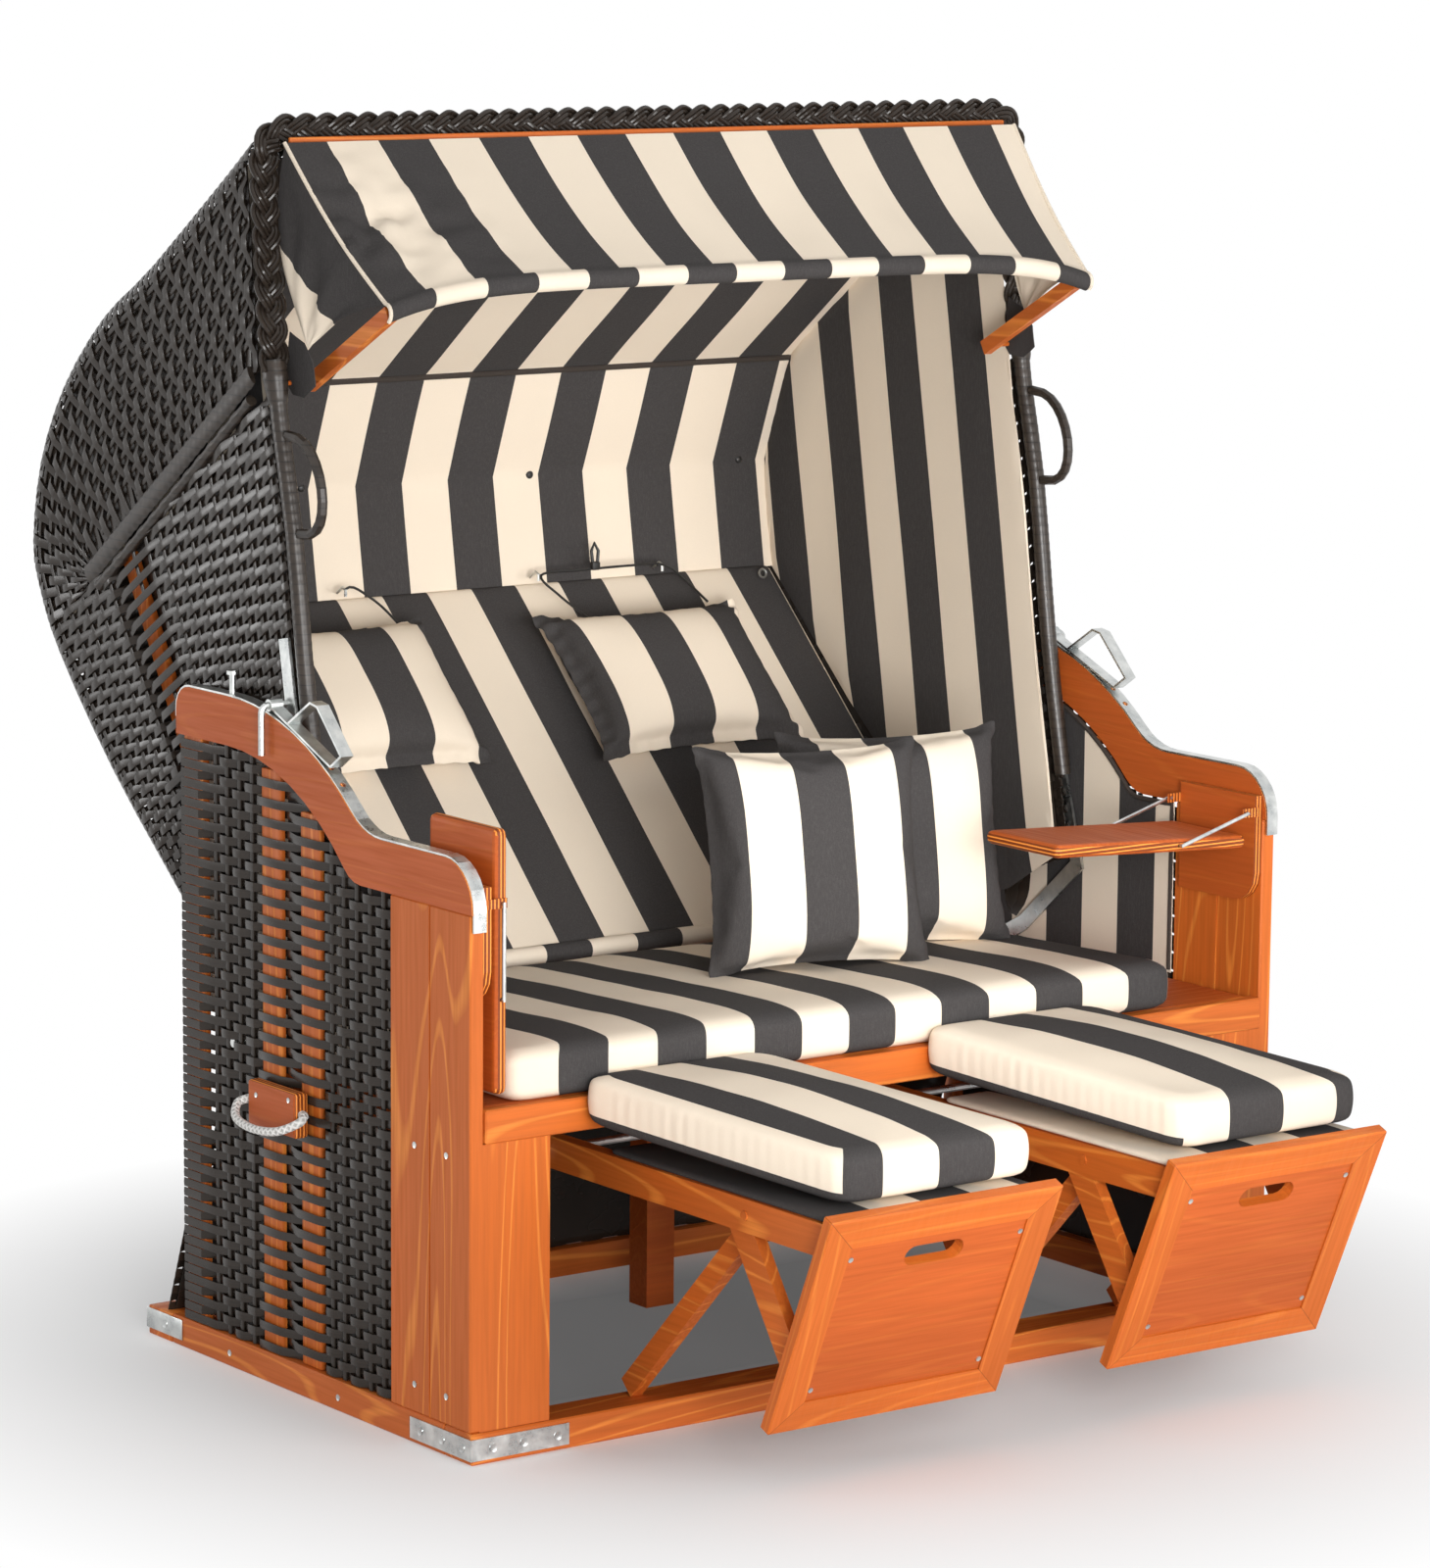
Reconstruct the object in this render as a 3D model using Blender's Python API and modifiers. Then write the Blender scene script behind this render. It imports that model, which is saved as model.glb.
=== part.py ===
"""Hooded beach chair for two, with a reclining wicker hood, an awning, two
folding tables and two pull-out footrests.

Every place below is given in the chair's own measure: X to the right, Y back
from the front faces of the boards, Z up from the floor. One empty then carries
the whole chair, so that the origin lies under the middle of the front sill.
"""
import math

import bmesh
import bpy
from mathutils import Vector

# Shared clearances
GAP = 0.0003
OVERRUN = 0.006
WELD = 0.00001
EDGE_ROUND = 0.002

# Base: sills, posts, side panels
BASE_WIDTH = 1.277
BASE_DEPTH = 0.677
BOARD = 0.020
SILL_HEIGHT = 0.039
SILL_DEPTH = 0.060
SIDE_SILL_WIDTH = 0.040
REAR_SILL_DEPTH = 0.060
REAR_OVERHANG = 0.088
PLANK_SETBACK = 0.004
PLANK_DEPTH = 0.088
PLANK_GROOVE = 0.003
PLANK_GROOVE_DEPTH = 0.0015
SKIRT_WIDTH = 0.0965
SKIRT_THICKNESS = 0.018
SIDE_PANEL_THICKNESS = 0.0175
SIDE_PANEL_SETBACK = 0.002
SIDE_LINING_THICKNESS = 0.003
SIDE_LINING_BOTTOM = 0.440
BRACKET_THICKNESS = 0.002
BRACKET_HEIGHT = 0.027
BRACKET_SIDE_LEG = 0.133
BRACKET_FRONT_LEG = 0.142
BRACKET_REAR_LEG = 0.088
BRACKET_FLOOR_GAP = 0.006
REAR_WALL_THICKNESS = 0.015
REAR_WALL_TOP_BEHIND = 0.042
REAR_WALL_TOP_Z = 0.375
REAR_WALL_BOTTOM_BEHIND = 0.168

# Hood pivot, which also rules the armrest arcs
PIVOT_FROM_REAR = 0.117
PIVOT_Z = 0.425
PIVOT_PIN_RADIUS = 0.006
PIN_CLEARANCE = 0.0006
PIN_WALL = 0.002

# Armrests and their steel rails
ARMREST_REAR_BEHIND = 0.123
ARMREST_RADIUS = 0.448
ARMREST_BAND = 0.063
ARMREST_FLAT_Z = 0.740
ARMREST_REAR_ROUND = 0.030
ARMREST_DIP_RADIUS = 0.100
ARMREST_UNDER_DIP_RADIUS = 0.050
ARMREST_NOSE_RADIUS = 0.060
RAIL_THICKNESS = 0.0025
RAIL_WIDTH = 0.018
RAIL_REAR_END_Z = 0.832
RAIL_FRONT_END_Z = 0.656
RAIL_HOLE_RADIUS = 0.004
RAIL_HOLE_ANGLES = (19.1, 23.1, 27.1, 31.1, 35.1)
STOP_BOLT_RADIUS = 0.004
STOP_BOLT_HEIGHT = 0.029
STOP_HEAD_RADIUS = 0.0075
STOP_HEAD_HEIGHT = 0.005

# Seat
SEAT_TOP_Z = 0.4375
SEAT_RAIL_HEIGHT = 0.042
SEAT_RAIL_THICKNESS = 0.022
SEAT_BOARD_THICKNESS = 0.018
SEAT_BOARD_CLEARANCE = 0.0135
SEAT_BOARD_REAR_BEHIND = 0.025
SEAT_REAR_RAIL_HEIGHT = 0.045
SEAT_BEARER_HEIGHT = 0.045
SEAT_BEARER_REAR_AHEAD = 0.075
CENTRE_LEG_WIDTH = 0.045
CENTRE_LEG_AHEAD = 0.04
CENTRE_LEG_DEPTH = 0.040
SEAT_CUSHION_LEFT_X = -0.579
SEAT_CUSHION_RIGHT_X = 0.468
SEAT_CUSHION_REAR_AHEAD = 0.019
SEAT_CUSHION_FRONT_THICKNESS = 0.072
SEAT_CUSHION_REAR_THICKNESS = 0.038

# Carry handles on the sides
CARRY_AHEAD = 0.133
CARRY_Z = 0.366
CARRY_LENGTH = 0.113
CARRY_HEIGHT = 0.058
CARRY_THICKNESS = 0.020
ROPE_RADIUS = 0.0055
ROPE_DROP = 0.024
ROPE_BULGE = 0.036
ROPE_RISE = 0.002
ROPE_SHARES = ((0.0, 1.06, 0.0), (0.08, 1.17, 0.04), (0.42, 1.27, 0.28), (0.88, 0.84, 0.80), (1.0, 0.0, 1.0))

# Hood: front tube, shell and lining
TOTAL_HEIGHT = 1.600
HOOD_INSET = 0.0305
SHELL_THICKNESS = 0.008
SHELL_CORNER = 0.035
SHELL_SEAM = 0.002
SHELL_SWELL = 0.009
TUBE_INSET = 0.041
TUBE_RADIUS = 0.0115
TUBE_FOOT_Z = 0.686
TUBE_CORNER = 0.034
BRAID_RADIUS = 0.0185
BRAID_FOOT_DOWN = 0.312
FRONT_FOOT_AHEAD = 0.167
FRONT_LEAN = 0.138
FRONT_SHARES = ((0.0, 0.0), (0.210, 0.268), (0.450, 0.500), (0.670, 0.812), (1.0, 1.0))
SHELL_START_AHEAD = 0.0015
SHELL_START_DOWN = 0.02
SHELL_DEPTH = 0.5705
SHELL_END_Z = 0.452
SHELL_SHARES = (
    (0.0, 1.0), (0.439, 0.846), (0.663, 0.777), (0.847, 0.690), (0.958, 0.597),
    (1.0, 0.497), (0.970, 0.437), (0.879, 0.363), (0.639, 0.238), (0.325, 0.106), (0.073, 0.0),
)
SHELL_STEPS = 3
LINING_INSET = 0.028
LINING_THICKNESS = 0.004
LINING_RISE = 0.040
LINING_BACK_Z = 0.906
RIB_THICKNESS = 0.015
RIB_WIDTH = 0.030
RIB_START_SHARES = (0.010, 0.722)
RIB_END_SHARES = (0.700, 0.472)
SLAT_START_SHARES = (0.550, 0.500)
SLAT_END_SHARES = (0.118, 0.150)
SIDE_FOOT_AHEAD = 0.175
SIDE_FOOT_Z = 0.566
SIDE_HEEL_AHEAD = 0.072
SIDE_HEEL_Z = 0.476
SIDE_HEEL_RISE = 0.021

# Hood: pivot bars and latches
BAR_WIDTH = 0.022
BAR_THICKNESS = 0.004
BAR_TOP_Z = 0.955
BAR_KNEE_AHEAD = 0.186
BAR_KNEE_Z = 0.562
BAR_HEEL_AHEAD = 0.073
BAR_HEEL_Z = 0.464
BAR_EYE_RADIUS = 0.016
LATCH_AXLE_RADIUS = 0.0045
LATCH_SLEEVE_RADIUS = 0.008
LATCH_AXLE_REACH = 0.0475
LATCH_AXLE_DROP = 0.062
LATCH_AXLE_BEHIND = 0.017923
LATCH_STRAP = 0.003
LATCH_WIDTH = 0.0175
LATCH_STRAP_END_DEG = 32.0
LATCH_LOOP_START_DEG = 18.5
LATCH_LOOP_RISE = 0.052
LATCH_LOOP_SPREAD = 0.016

# Hood: grab handles
GRAB_TOP_DOWN = 0.392
GRAB_BOTTOM_DOWN = 0.513
GRAB_REACH = 0.075
GRAB_RADIUS = 0.0065
GRAB_SEAT = 0.0031
GRAB_FULLNESS = 0.7

# Backrest and its pillows
BACK_TOP_BEHIND = 0.48
BACK_TOP_Z = 0.915
BACK_FOOT_BEHIND = 0.028
BACK_FOOT_Z = 0.478
BACK_THICKNESS = 0.022
BACK_ROLL_RADIUS = 0.014
PILLOW_WIDTH = 0.360
PILLOW_HEIGHT = 0.270
PILLOW_THICKNESS = 0.095
PILLOW_FROM_TOP = 0.075
PILLOW_DROPS = (0.0, 0.014)
PILLOW_CENTRES = (-0.260, 0.263)
THROW_WIDTH = 0.360
THROW_HEIGHT = 0.315
THROW_THICKNESS = 0.120
THROW_LEAN = 13.0
THROW_YAW = -15.0
THROW_FRONT_PLACE = (0.055, 0.262, 0.0048)
THROW_REAR_PLACE = (0.262, 0.352, 0.0)

# Awning
AWNING_PIVOT_DOWN = 0.33
AWNING_BAR_AHEAD = 0.245
AWNING_BAR_DOWN = 0.232
AWNING_BAR_RADIUS = 0.010
AWNING_ARM_INNER_X = 0.538
AWNING_ARM_THICKNESS = 0.012
AWNING_ARM_WIDTH = 0.019
AWNING_PIN_RADIUS = 0.003
AWNING_BOW = 0.032
AWNING_BOW_POWER = 6
AWNING_COLUMN_SHARES = (-1.0, -0.93, -0.84, -0.68, -0.25, 0.25, 0.68, 0.84, 0.93, 1.0)
CLOTH_THICKNESS = 0.003
CLOTH_HALF = 0.5805
CLOTH_TAPER = 0.026
CLOTH_SAG = 0.012
CLOTH_HEM_RADIUS = 0.0113
CLOTH_SEAM_SHARE = 0.45
GUSSET_LOW_AHEAD = 0.155
GUSSET_LOW_DOWN = 0.294

# Folding tables
TABLE_LENGTH = 0.325
TABLE_DEPTH = 0.148
TABLE_THICKNESS = 0.018
TABLE_FRONT_Y = 0.008
TABLE_CORNER = 0.022
TABLE_TILT = 3.0
TABLE_PLATE_THICKNESS = 0.012
TABLE_PLATE_TOP_Z = 0.708
TABLE_PLATE_HEIGHT = 0.143
TABLE_PLATE_CORNER = 0.040
STAY_PIVOT_Z = 0.687
STAY_STANDOFF = 0.016
STAY_LENGTH = 0.118
STAY_HOOK = 0.117
STAY_RADIUS = 0.0025
EAR_THICKNESS = 0.002
EAR_WIDTH = 0.012
STAY_OPEN = 74.0

# Footrests
FOOTREST_CENTRES = (-0.2405, 0.285)
PANEL_WIDTH = 0.350
PANEL_HEIGHT = 0.308
PANEL_THICKNESS = 0.018
PANEL_TOP_Y = -0.420
PANEL_TOP_Z = 0.355
PANEL_ANGLE = 23.3
PANEL_FRAME = 0.042
PANEL_RECESS = 0.003
SLOT_LENGTH = 0.088
SLOT_HEIGHT = 0.028
SLOT_FROM_TOP = 0.070
FOOT_RAIL_TOP_Z = 0.345
FOOT_RAIL_HEIGHT = 0.041
FOOT_RAIL_THICKNESS = 0.020
FOOT_RAIL_INSET = 0.016
FOOT_RAIL_REAR_Y = 0.210
FOOT_CROSS = 0.030
FOOT_CROSS_SPACING = 0.068
SLIDER_Y = 0.195
SLIDER_AXLE_RADIUS = 0.005
ROLLER_RADIUS = 0.012
ROLLER_WIDTH = 0.008
BRACE_WIDTH = 0.040
BRACE_TOP_Y = -0.205
BRACE_DOWN_PANEL = 0.218
LEG_PIVOT_Y = -0.227
LEG_WIDTH = 0.027
LEG_THICKNESS = 0.018
LEG_ANGLE = 45.5
LEG_ROD_RADIUS = 0.006
PAD_THICKNESS = 0.012
PAD_REAR_Y = 0.055
FOOT_CUSHION_REAR_Y = -0.004
FOOT_CUSHION_FRONT_Y = -0.375
FOOT_CUSHION_FRONT_X = (-0.125, 0.163)
FOOT_CUSHION_REAR_X = (-0.238, 0.025)
FOOT_CUSHION_LIFT = 0.046
FOOT_CUSHION_THICKNESS = 0.079

# Values worked out from the sizes above
BASE_HALF = BASE_WIDTH / 2
INNER_HALF = BASE_HALF - BOARD
HOOD_HALF = BASE_HALF - HOOD_INSET
TUBE_HALF = BASE_HALF - TUBE_INSET
SEAT_BOARD_HALF = INNER_HALF - SEAT_BOARD_CLEARANCE
PIVOT_Y = BASE_DEPTH - PIVOT_FROM_REAR
ARMREST_REAR_Y = PIVOT_Y + ARMREST_REAR_BEHIND
REAR_WALL_TOP_Y = PIVOT_Y + REAR_WALL_TOP_BEHIND
REAR_WALL_BOTTOM_Y = PIVOT_Y + REAR_WALL_BOTTOM_BEHIND
FRONT_FOOT_Y = PIVOT_Y - FRONT_FOOT_AHEAD
SHELL_START_Y = PIVOT_Y - SHELL_START_AHEAD
SIDE_FOOT_Y = PIVOT_Y - SIDE_FOOT_AHEAD
SIDE_HEEL_Y = PIVOT_Y - SIDE_HEEL_AHEAD
BAR_KNEE_Y = PIVOT_Y - BAR_KNEE_AHEAD
BAR_HEEL_Y = PIVOT_Y - BAR_HEEL_AHEAD
AWNING_BAR_Y = PIVOT_Y - AWNING_BAR_AHEAD
GUSSET_LOW_Y = PIVOT_Y - GUSSET_LOW_AHEAD
SEAT_BEARER_REAR_Y = PIVOT_Y - SEAT_BEARER_REAR_AHEAD
CENTRE_LEG_Y = PIVOT_Y - CENTRE_LEG_AHEAD
SEAT_CUSHION_REAR_Y = PIVOT_Y - SEAT_CUSHION_REAR_AHEAD
CARRY_Y = PIVOT_Y - CARRY_AHEAD
BACK_TOP_Y = PIVOT_Y + BACK_TOP_BEHIND
BACK_FOOT_Y = PIVOT_Y + BACK_FOOT_BEHIND
SEAT_BOARD_REAR_Y = PIVOT_Y + SEAT_BOARD_REAR_BEHIND
BRAID_FOOT_Z = TOTAL_HEIGHT - BRAID_FOOT_DOWN
SHELL_START_Z = TOTAL_HEIGHT - SHELL_START_DOWN
AWNING_PIVOT_Z = TOTAL_HEIGHT - AWNING_PIVOT_DOWN
AWNING_BAR_Z = TOTAL_HEIGHT - AWNING_BAR_DOWN
GUSSET_LOW_Z = TOTAL_HEIGHT - GUSSET_LOW_DOWN
GRAB_TOP_Z = TOTAL_HEIGHT - GRAB_TOP_DOWN
GRAB_BOTTOM_Z = TOTAL_HEIGHT - GRAB_BOTTOM_DOWN
REAR_Y = BASE_DEPTH + REAR_OVERHANG
SIDES = (("left", -1), ("right", 1))
TUBE_TOP_Z = TOTAL_HEIGHT - BRAID_RADIUS
SHELL_RISE = SHELL_START_Z - SHELL_END_Z
LINING_HALF = HOOD_HALF - SHELL_THICKNESS - RIB_THICKNESS - GAP
BAR_INNER_X = HOOD_HALF + GAP
BACK_HALF = LINING_HALF - LINING_THICKNESS - 15 * GAP
SKIRT_TOP_Z = SEAT_TOP_Z - SEAT_RAIL_HEIGHT - GAP


def clear_scene():
    for old in list(bpy.data.objects):
        bpy.data.objects.remove(old, do_unlink=True)


def new_collection(name):
    collection = bpy.data.collections.new(name)
    bpy.context.scene.collection.children.link(collection)
    return collection


def principled(name, colour, roughness, metallic=0.0):
    material = bpy.data.materials.new(name)
    material.use_nodes = True
    shader = material.node_tree.nodes["Principled BSDF"]
    shader.inputs["Base Color"].default_value = (*colour, 1.0)
    shader.inputs["Roughness"].default_value = roughness
    shader.inputs["Metallic"].default_value = metallic
    return material


clear_scene()
PARTS = new_collection("hooded_beach_chair")
CUTTERS = new_collection("cutters")
PINE = principled("glazed_pine", (0.56, 0.15, 0.03), 0.45)
PLY = principled("glazed_plywood", (0.50, 0.11, 0.03), 0.42)
WICKER = principled("plastic_wicker", (0.045, 0.037, 0.030), 0.35)
STEEL = principled("zinc_plated_steel", (0.62, 0.63, 0.62), 0.32, 1.0)
CREAM = principled("cream_cloth", (0.80, 0.69, 0.52), 0.90)
GREY = principled("anthracite_cloth", (0.058, 0.058, 0.062), 0.90)
ROPE = principled("white_rope", (0.78, 0.78, 0.74), 0.85)


def empty(name, place, parent=None):
    """An empty that carries a moving body, with its origin on the joint's axis."""
    frame = bpy.data.objects.new(name, None)
    frame.empty_display_size = BOARD
    PARTS.objects.link(frame)
    frame["chair_place"] = place
    frame.location = Vector(place)
    if parent is not None:
        frame.parent = parent
        frame.location = Vector(place) - Vector(parent["chair_place"])
    return frame


CHAIR = empty("chair", (0, 0, 0))
CHAIR.location = (0, -SILL_DEPTH / 2, 0)


def carry(obj, body):
    """Hang an object that was made in the chair's measure on the empty of its body."""
    obj.parent = body
    obj.location = Vector(obj.location) - Vector(body["chair_place"])
    return obj


def finish(obj, name, material, body, smooth_deg=40.0):
    obj.name = name
    obj.data.name = name
    obj.data.materials.clear()
    obj.data.materials.append(material)
    obj.data.shade_smooth()
    obj.data.set_sharp_from_angle(angle=math.radians(smooth_deg))
    return carry(obj, body)


def from_bmesh(bm, place=(0, 0, 0), turn=(0, 0, 0)):
    mesh = bpy.data.meshes.new("mesh")
    bm.to_mesh(mesh)
    bm.free()
    obj = bpy.data.objects.new("piece", mesh)
    obj.location = place
    obj.rotation_euler = turn
    PARTS.objects.link(obj)
    return obj


def settle(curve_obj):
    """Turn a curve into a closed mesh, so that it can be cut and joined."""
    bpy.context.view_layer.update()
    evaluated = curve_obj.evaluated_get(bpy.context.evaluated_depsgraph_get())
    mesh = bpy.data.meshes.new_from_object(evaluated)
    bm = bmesh.new()
    bm.from_mesh(mesh)
    bmesh.ops.remove_doubles(bm, verts=bm.verts, dist=WELD)
    bmesh.ops.recalc_face_normals(bm, faces=bm.faces)
    bm.to_mesh(mesh)
    bm.free()
    obj = bpy.data.objects.new("piece", mesh)
    obj.matrix_world = curve_obj.matrix_world
    PARTS.objects.link(obj)
    bpy.data.objects.remove(curve_obj, do_unlink=True)
    return obj


def box(size, centre, turn=(0, 0, 0), round_edges=True):
    bm = bmesh.new()
    bmesh.ops.create_cube(bm, size=1.0)
    bmesh.ops.scale(bm, vec=size, verts=bm.verts)
    obj = from_bmesh(bm, centre, turn)
    if round_edges:
        soften(obj)
    return obj


def span_box(x_span, y_span, z_span, round_edges=True):
    """A box between pairs of planes."""
    size = [abs(span[1] - span[0]) for span in (x_span, y_span, z_span)]
    centre = [(span[1] + span[0]) / 2 for span in (x_span, y_span, z_span)]
    return box(size, centre, round_edges=round_edges)


def soften(obj, width=EDGE_ROUND, segments=1):
    bevel = obj.modifiers.new("soft_edges", "BEVEL")
    bevel.width = width
    bevel.segments = segments
    bevel.limit_method = "ANGLE"
    bevel.angle_limit = math.radians(50)
    return obj


def cylinder_x(radius, x_span, y, z, sides=16):
    bm = bmesh.new()
    bmesh.ops.create_cone(bm, cap_ends=True, segments=sides, radius1=radius, radius2=radius,
                          depth=abs(x_span[1] - x_span[0]))
    return from_bmesh(bm, ((x_span[0] + x_span[1]) / 2, y, z), (0, math.pi / 2, 0))


def cylinder_y(radius, x, z, y_span, sides=16):
    bm = bmesh.new()
    bmesh.ops.create_cone(bm, cap_ends=True, segments=sides, radius1=radius, radius2=radius,
                          depth=abs(y_span[1] - y_span[0]))
    return from_bmesh(bm, (x, (y_span[0] + y_span[1]) / 2, z), (math.pi / 2, 0, 0))


def cylinder_z(radius, x, y, z_span, sides=16):
    bm = bmesh.new()
    bmesh.ops.create_cone(bm, cap_ends=True, segments=sides, radius1=radius, radius2=radius,
                          depth=abs(z_span[1] - z_span[0]))
    return from_bmesh(bm, (x, y, (z_span[0] + z_span[1]) / 2))


def plate(outline, x_span):
    """A flat outline in Y and Z, given its thickness along X."""
    curve = bpy.data.curves.new("outline", "CURVE")
    curve.dimensions = "2D"
    curve.fill_mode = "BOTH"
    curve.extrude = abs(x_span[1] - x_span[0]) / 2
    spline = curve.splines.new("POLY")
    spline.points.add(len(outline) - 1)
    for point, (y, z) in zip(spline.points, outline):
        point.co = (y, z, 0, 1)
    spline.use_cyclic_u = True
    obj = bpy.data.objects.new("outline", curve)
    obj.location = ((x_span[0] + x_span[1]) / 2, 0, 0)
    obj.rotation_euler = (math.pi / 2, 0, math.pi / 2)
    PARTS.objects.link(obj)
    return settle(obj)


def rod(points, radius, resolution=2):
    """A round rod or tube along points, with filled ends."""
    curve = bpy.data.curves.new("rod", "CURVE")
    curve.dimensions = "3D"
    curve.bevel_depth = radius
    curve.bevel_resolution = resolution
    curve.use_fill_caps = True
    spline = curve.splines.new("POLY")
    spline.points.add(len(points) - 1)
    for point, place in zip(spline.points, points):
        point.co = (*place, 1)
    obj = bpy.data.objects.new("rod", curve)
    PARTS.objects.link(obj)
    return settle(obj)


def hide_as_cutter(obj):
    for collection in list(obj.users_collection):
        collection.objects.unlink(obj)
    CUTTERS.objects.link(obj)
    obj.hide_render = True
    obj.display_type = "WIRE"
    carry(obj, CHAIR)


def combine(obj, other, operation):
    hide_as_cutter(other)
    boolean = obj.modifiers.new(operation.lower(), "BOOLEAN")
    boolean.operation = operation
    boolean.solver = "EXACT"
    boolean.object = other
    return obj


def cut(obj, *cutters):
    for cutter in cutters:
        combine(obj, cutter, "DIFFERENCE")
    return obj


def join(obj, *others):
    for other in others:
        combine(obj, other, "UNION")
    return obj


def arc(centre_y, centre_z, radius, start_deg, end_deg, steps):
    """Points on an arc, with 0 degrees towards +Y and 90 degrees up."""
    points = []
    for step in range(steps + 1):
        angle = math.radians(start_deg + (end_deg - start_deg) * step / steps)
        points.append((centre_y + radius * math.cos(angle), centre_z + radius * math.sin(angle)))
    return points


def band(points, width):
    """The outline of a flat bar of one width along a path in Y and Z."""
    left, right = [], []
    for index, point in enumerate(points):
        here = Vector(point)
        before = (here - Vector(points[index - 1])).normalized() if index else None
        after = (Vector(points[index + 1]) - here).normalized() if index + 1 < len(points) else None
        along = ((before or after) + (after or before)).normalized()
        side = Vector((-along.y, along.x))
        edge = before or after
        stretch = side.dot(Vector((-edge.y, edge.x)))
        offset = side * (width / 2 / stretch)
        left.append(tuple(here + offset))
        right.append(tuple(here - offset))
    return left + right[::-1]


def smooth_path(points, steps):
    """A Catmull-Rom curve through points of two or three values."""
    path = []
    last = len(points) - 1
    for index in range(last):
        p0, p1 = Vector(points[max(index - 1, 0)]), Vector(points[index])
        p2, p3 = Vector(points[index + 1]), Vector(points[min(index + 2, last)])
        for step in range(steps):
            t = step / steps
            path.append(tuple(0.5 * (2 * p1 + (p2 - p0) * t + (2 * p0 - 5 * p1 + 4 * p2 - p3) * t ** 2
                                     + (3 * p1 - p0 - 3 * p2 + p3) * t ** 3)))
    path.append(tuple(points[last]))
    return path


# Armrest outline


def armrest_upper(offset):
    """The armrest's upper edge from rear to front, moved outwards by an offset."""
    top_z = PIVOT_Z + ARMREST_RADIUS
    dip_z = ARMREST_FLAT_Z + ARMREST_DIP_RADIUS
    reach = ARMREST_RADIUS + ARMREST_DIP_RADIUS
    dip_y = PIVOT_Y - math.sqrt(reach ** 2 - (dip_z - PIVOT_Z) ** 2)
    tangent = math.degrees(math.atan2(dip_z - PIVOT_Z, dip_y - PIVOT_Y))
    rear = arc(ARMREST_REAR_Y - ARMREST_REAR_ROUND, top_z - ARMREST_REAR_ROUND,
               ARMREST_REAR_ROUND + offset, 0, 90, 5)
    crown = arc(PIVOT_Y, PIVOT_Z, ARMREST_RADIUS + offset, 90, tangent, 10)
    dip = arc(dip_y, dip_z, ARMREST_DIP_RADIUS - offset, tangent - 180, -90, 5)
    nose = arc(ARMREST_NOSE_RADIUS, ARMREST_FLAT_Z - ARMREST_NOSE_RADIUS,
               ARMREST_NOSE_RADIUS + offset, 90, 180, 7)
    return rear + crown + dip + nose


def armrest_lower(offset):
    """The armrest's lower edge from front to rear, moved inwards by an offset."""
    radius = ARMREST_RADIUS - ARMREST_BAND - offset
    flat_z = ARMREST_FLAT_Z - ARMREST_BAND - offset
    dip_z = flat_z + ARMREST_UNDER_DIP_RADIUS
    reach = radius + ARMREST_UNDER_DIP_RADIUS
    dip_y = PIVOT_Y - math.sqrt(reach ** 2 - (dip_z - PIVOT_Z) ** 2)
    tangent = math.degrees(math.atan2(dip_z - PIVOT_Z, dip_y - PIVOT_Y))
    dip = arc(dip_y, dip_z, ARMREST_UNDER_DIP_RADIUS, 270, tangent + 180, 3)
    crown = arc(PIVOT_Y, PIVOT_Z, radius, tangent, 90, 8)
    return dip + crown


def x_pair(side, inner, outer):
    """The X span of a piece on one side of the chair."""
    return (side * inner, side * outer)


# Base


def make_sills():
    front = span_box((-BASE_HALF, BASE_HALF), (0, SILL_DEPTH), (0, SILL_HEIGHT))
    finish(front, "front_sill", PINE, CHAIR)
    for label, side in SIDES:
        sill = span_box(x_pair(side, BASE_HALF - SIDE_SILL_WIDTH, BASE_HALF),
                        (SILL_DEPTH + GAP, REAR_Y - REAR_SILL_DEPTH - GAP), (0, SILL_HEIGHT))
        finish(sill, "side_sill_" + label, PINE, CHAIR)


def make_brackets():
    low, high = BRACKET_FLOOR_GAP, BRACKET_FLOOR_GAP + BRACKET_HEIGHT
    outer = BASE_HALF + GAP + BRACKET_THICKNESS
    for label, side in SIDES:
        front_leg = span_box(x_pair(side, BASE_HALF - BRACKET_FRONT_LEG, outer),
                             (-GAP - BRACKET_THICKNESS, -GAP), (low, high), False)
        side_leg = span_box(x_pair(side, BASE_HALF + GAP, outer),
                            (-GAP - BRACKET_THICKNESS, BRACKET_SIDE_LEG), (low, high), False)
        finish(join(front_leg, side_leg), "corner_bracket_front_" + label, STEEL, CHAIR)


def make_corner_posts():
    """Two upright planks on each side, with the narrow skirt board that faces forward."""
    plank_top = ARMREST_FLAT_Z - ARMREST_BAND - GAP
    depth = PLANK_SETBACK + 2 * PLANK_DEPTH
    for label, side in SIDES:
        post = span_box(x_pair(side, INNER_HALF, BASE_HALF), (PLANK_SETBACK, depth),
                        (SILL_HEIGHT + GAP, plank_top))
        skirt = span_box(x_pair(side, INNER_HALF - SKIRT_WIDTH, INNER_HALF + OVERRUN),
                         (PLANK_SETBACK, PLANK_SETBACK + SKIRT_THICKNESS),
                         (SILL_HEIGHT + GAP, SKIRT_TOP_Z), False)
        groove_y = PLANK_SETBACK + PLANK_DEPTH
        grooves = []
        for face in (INNER_HALF, BASE_HALF):
            grooves.append(span_box(
                x_pair(side, face - PLANK_GROOVE_DEPTH, face + PLANK_GROOVE_DEPTH),
                (groove_y - PLANK_GROOVE / 2, groove_y + PLANK_GROOVE / 2),
                (SKIRT_TOP_Z if face == INNER_HALF else 0, plank_top + OVERRUN), False))
        finish(cut(join(post, skirt), *grooves), "corner_post_" + label, PINE, CHAIR)


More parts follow.
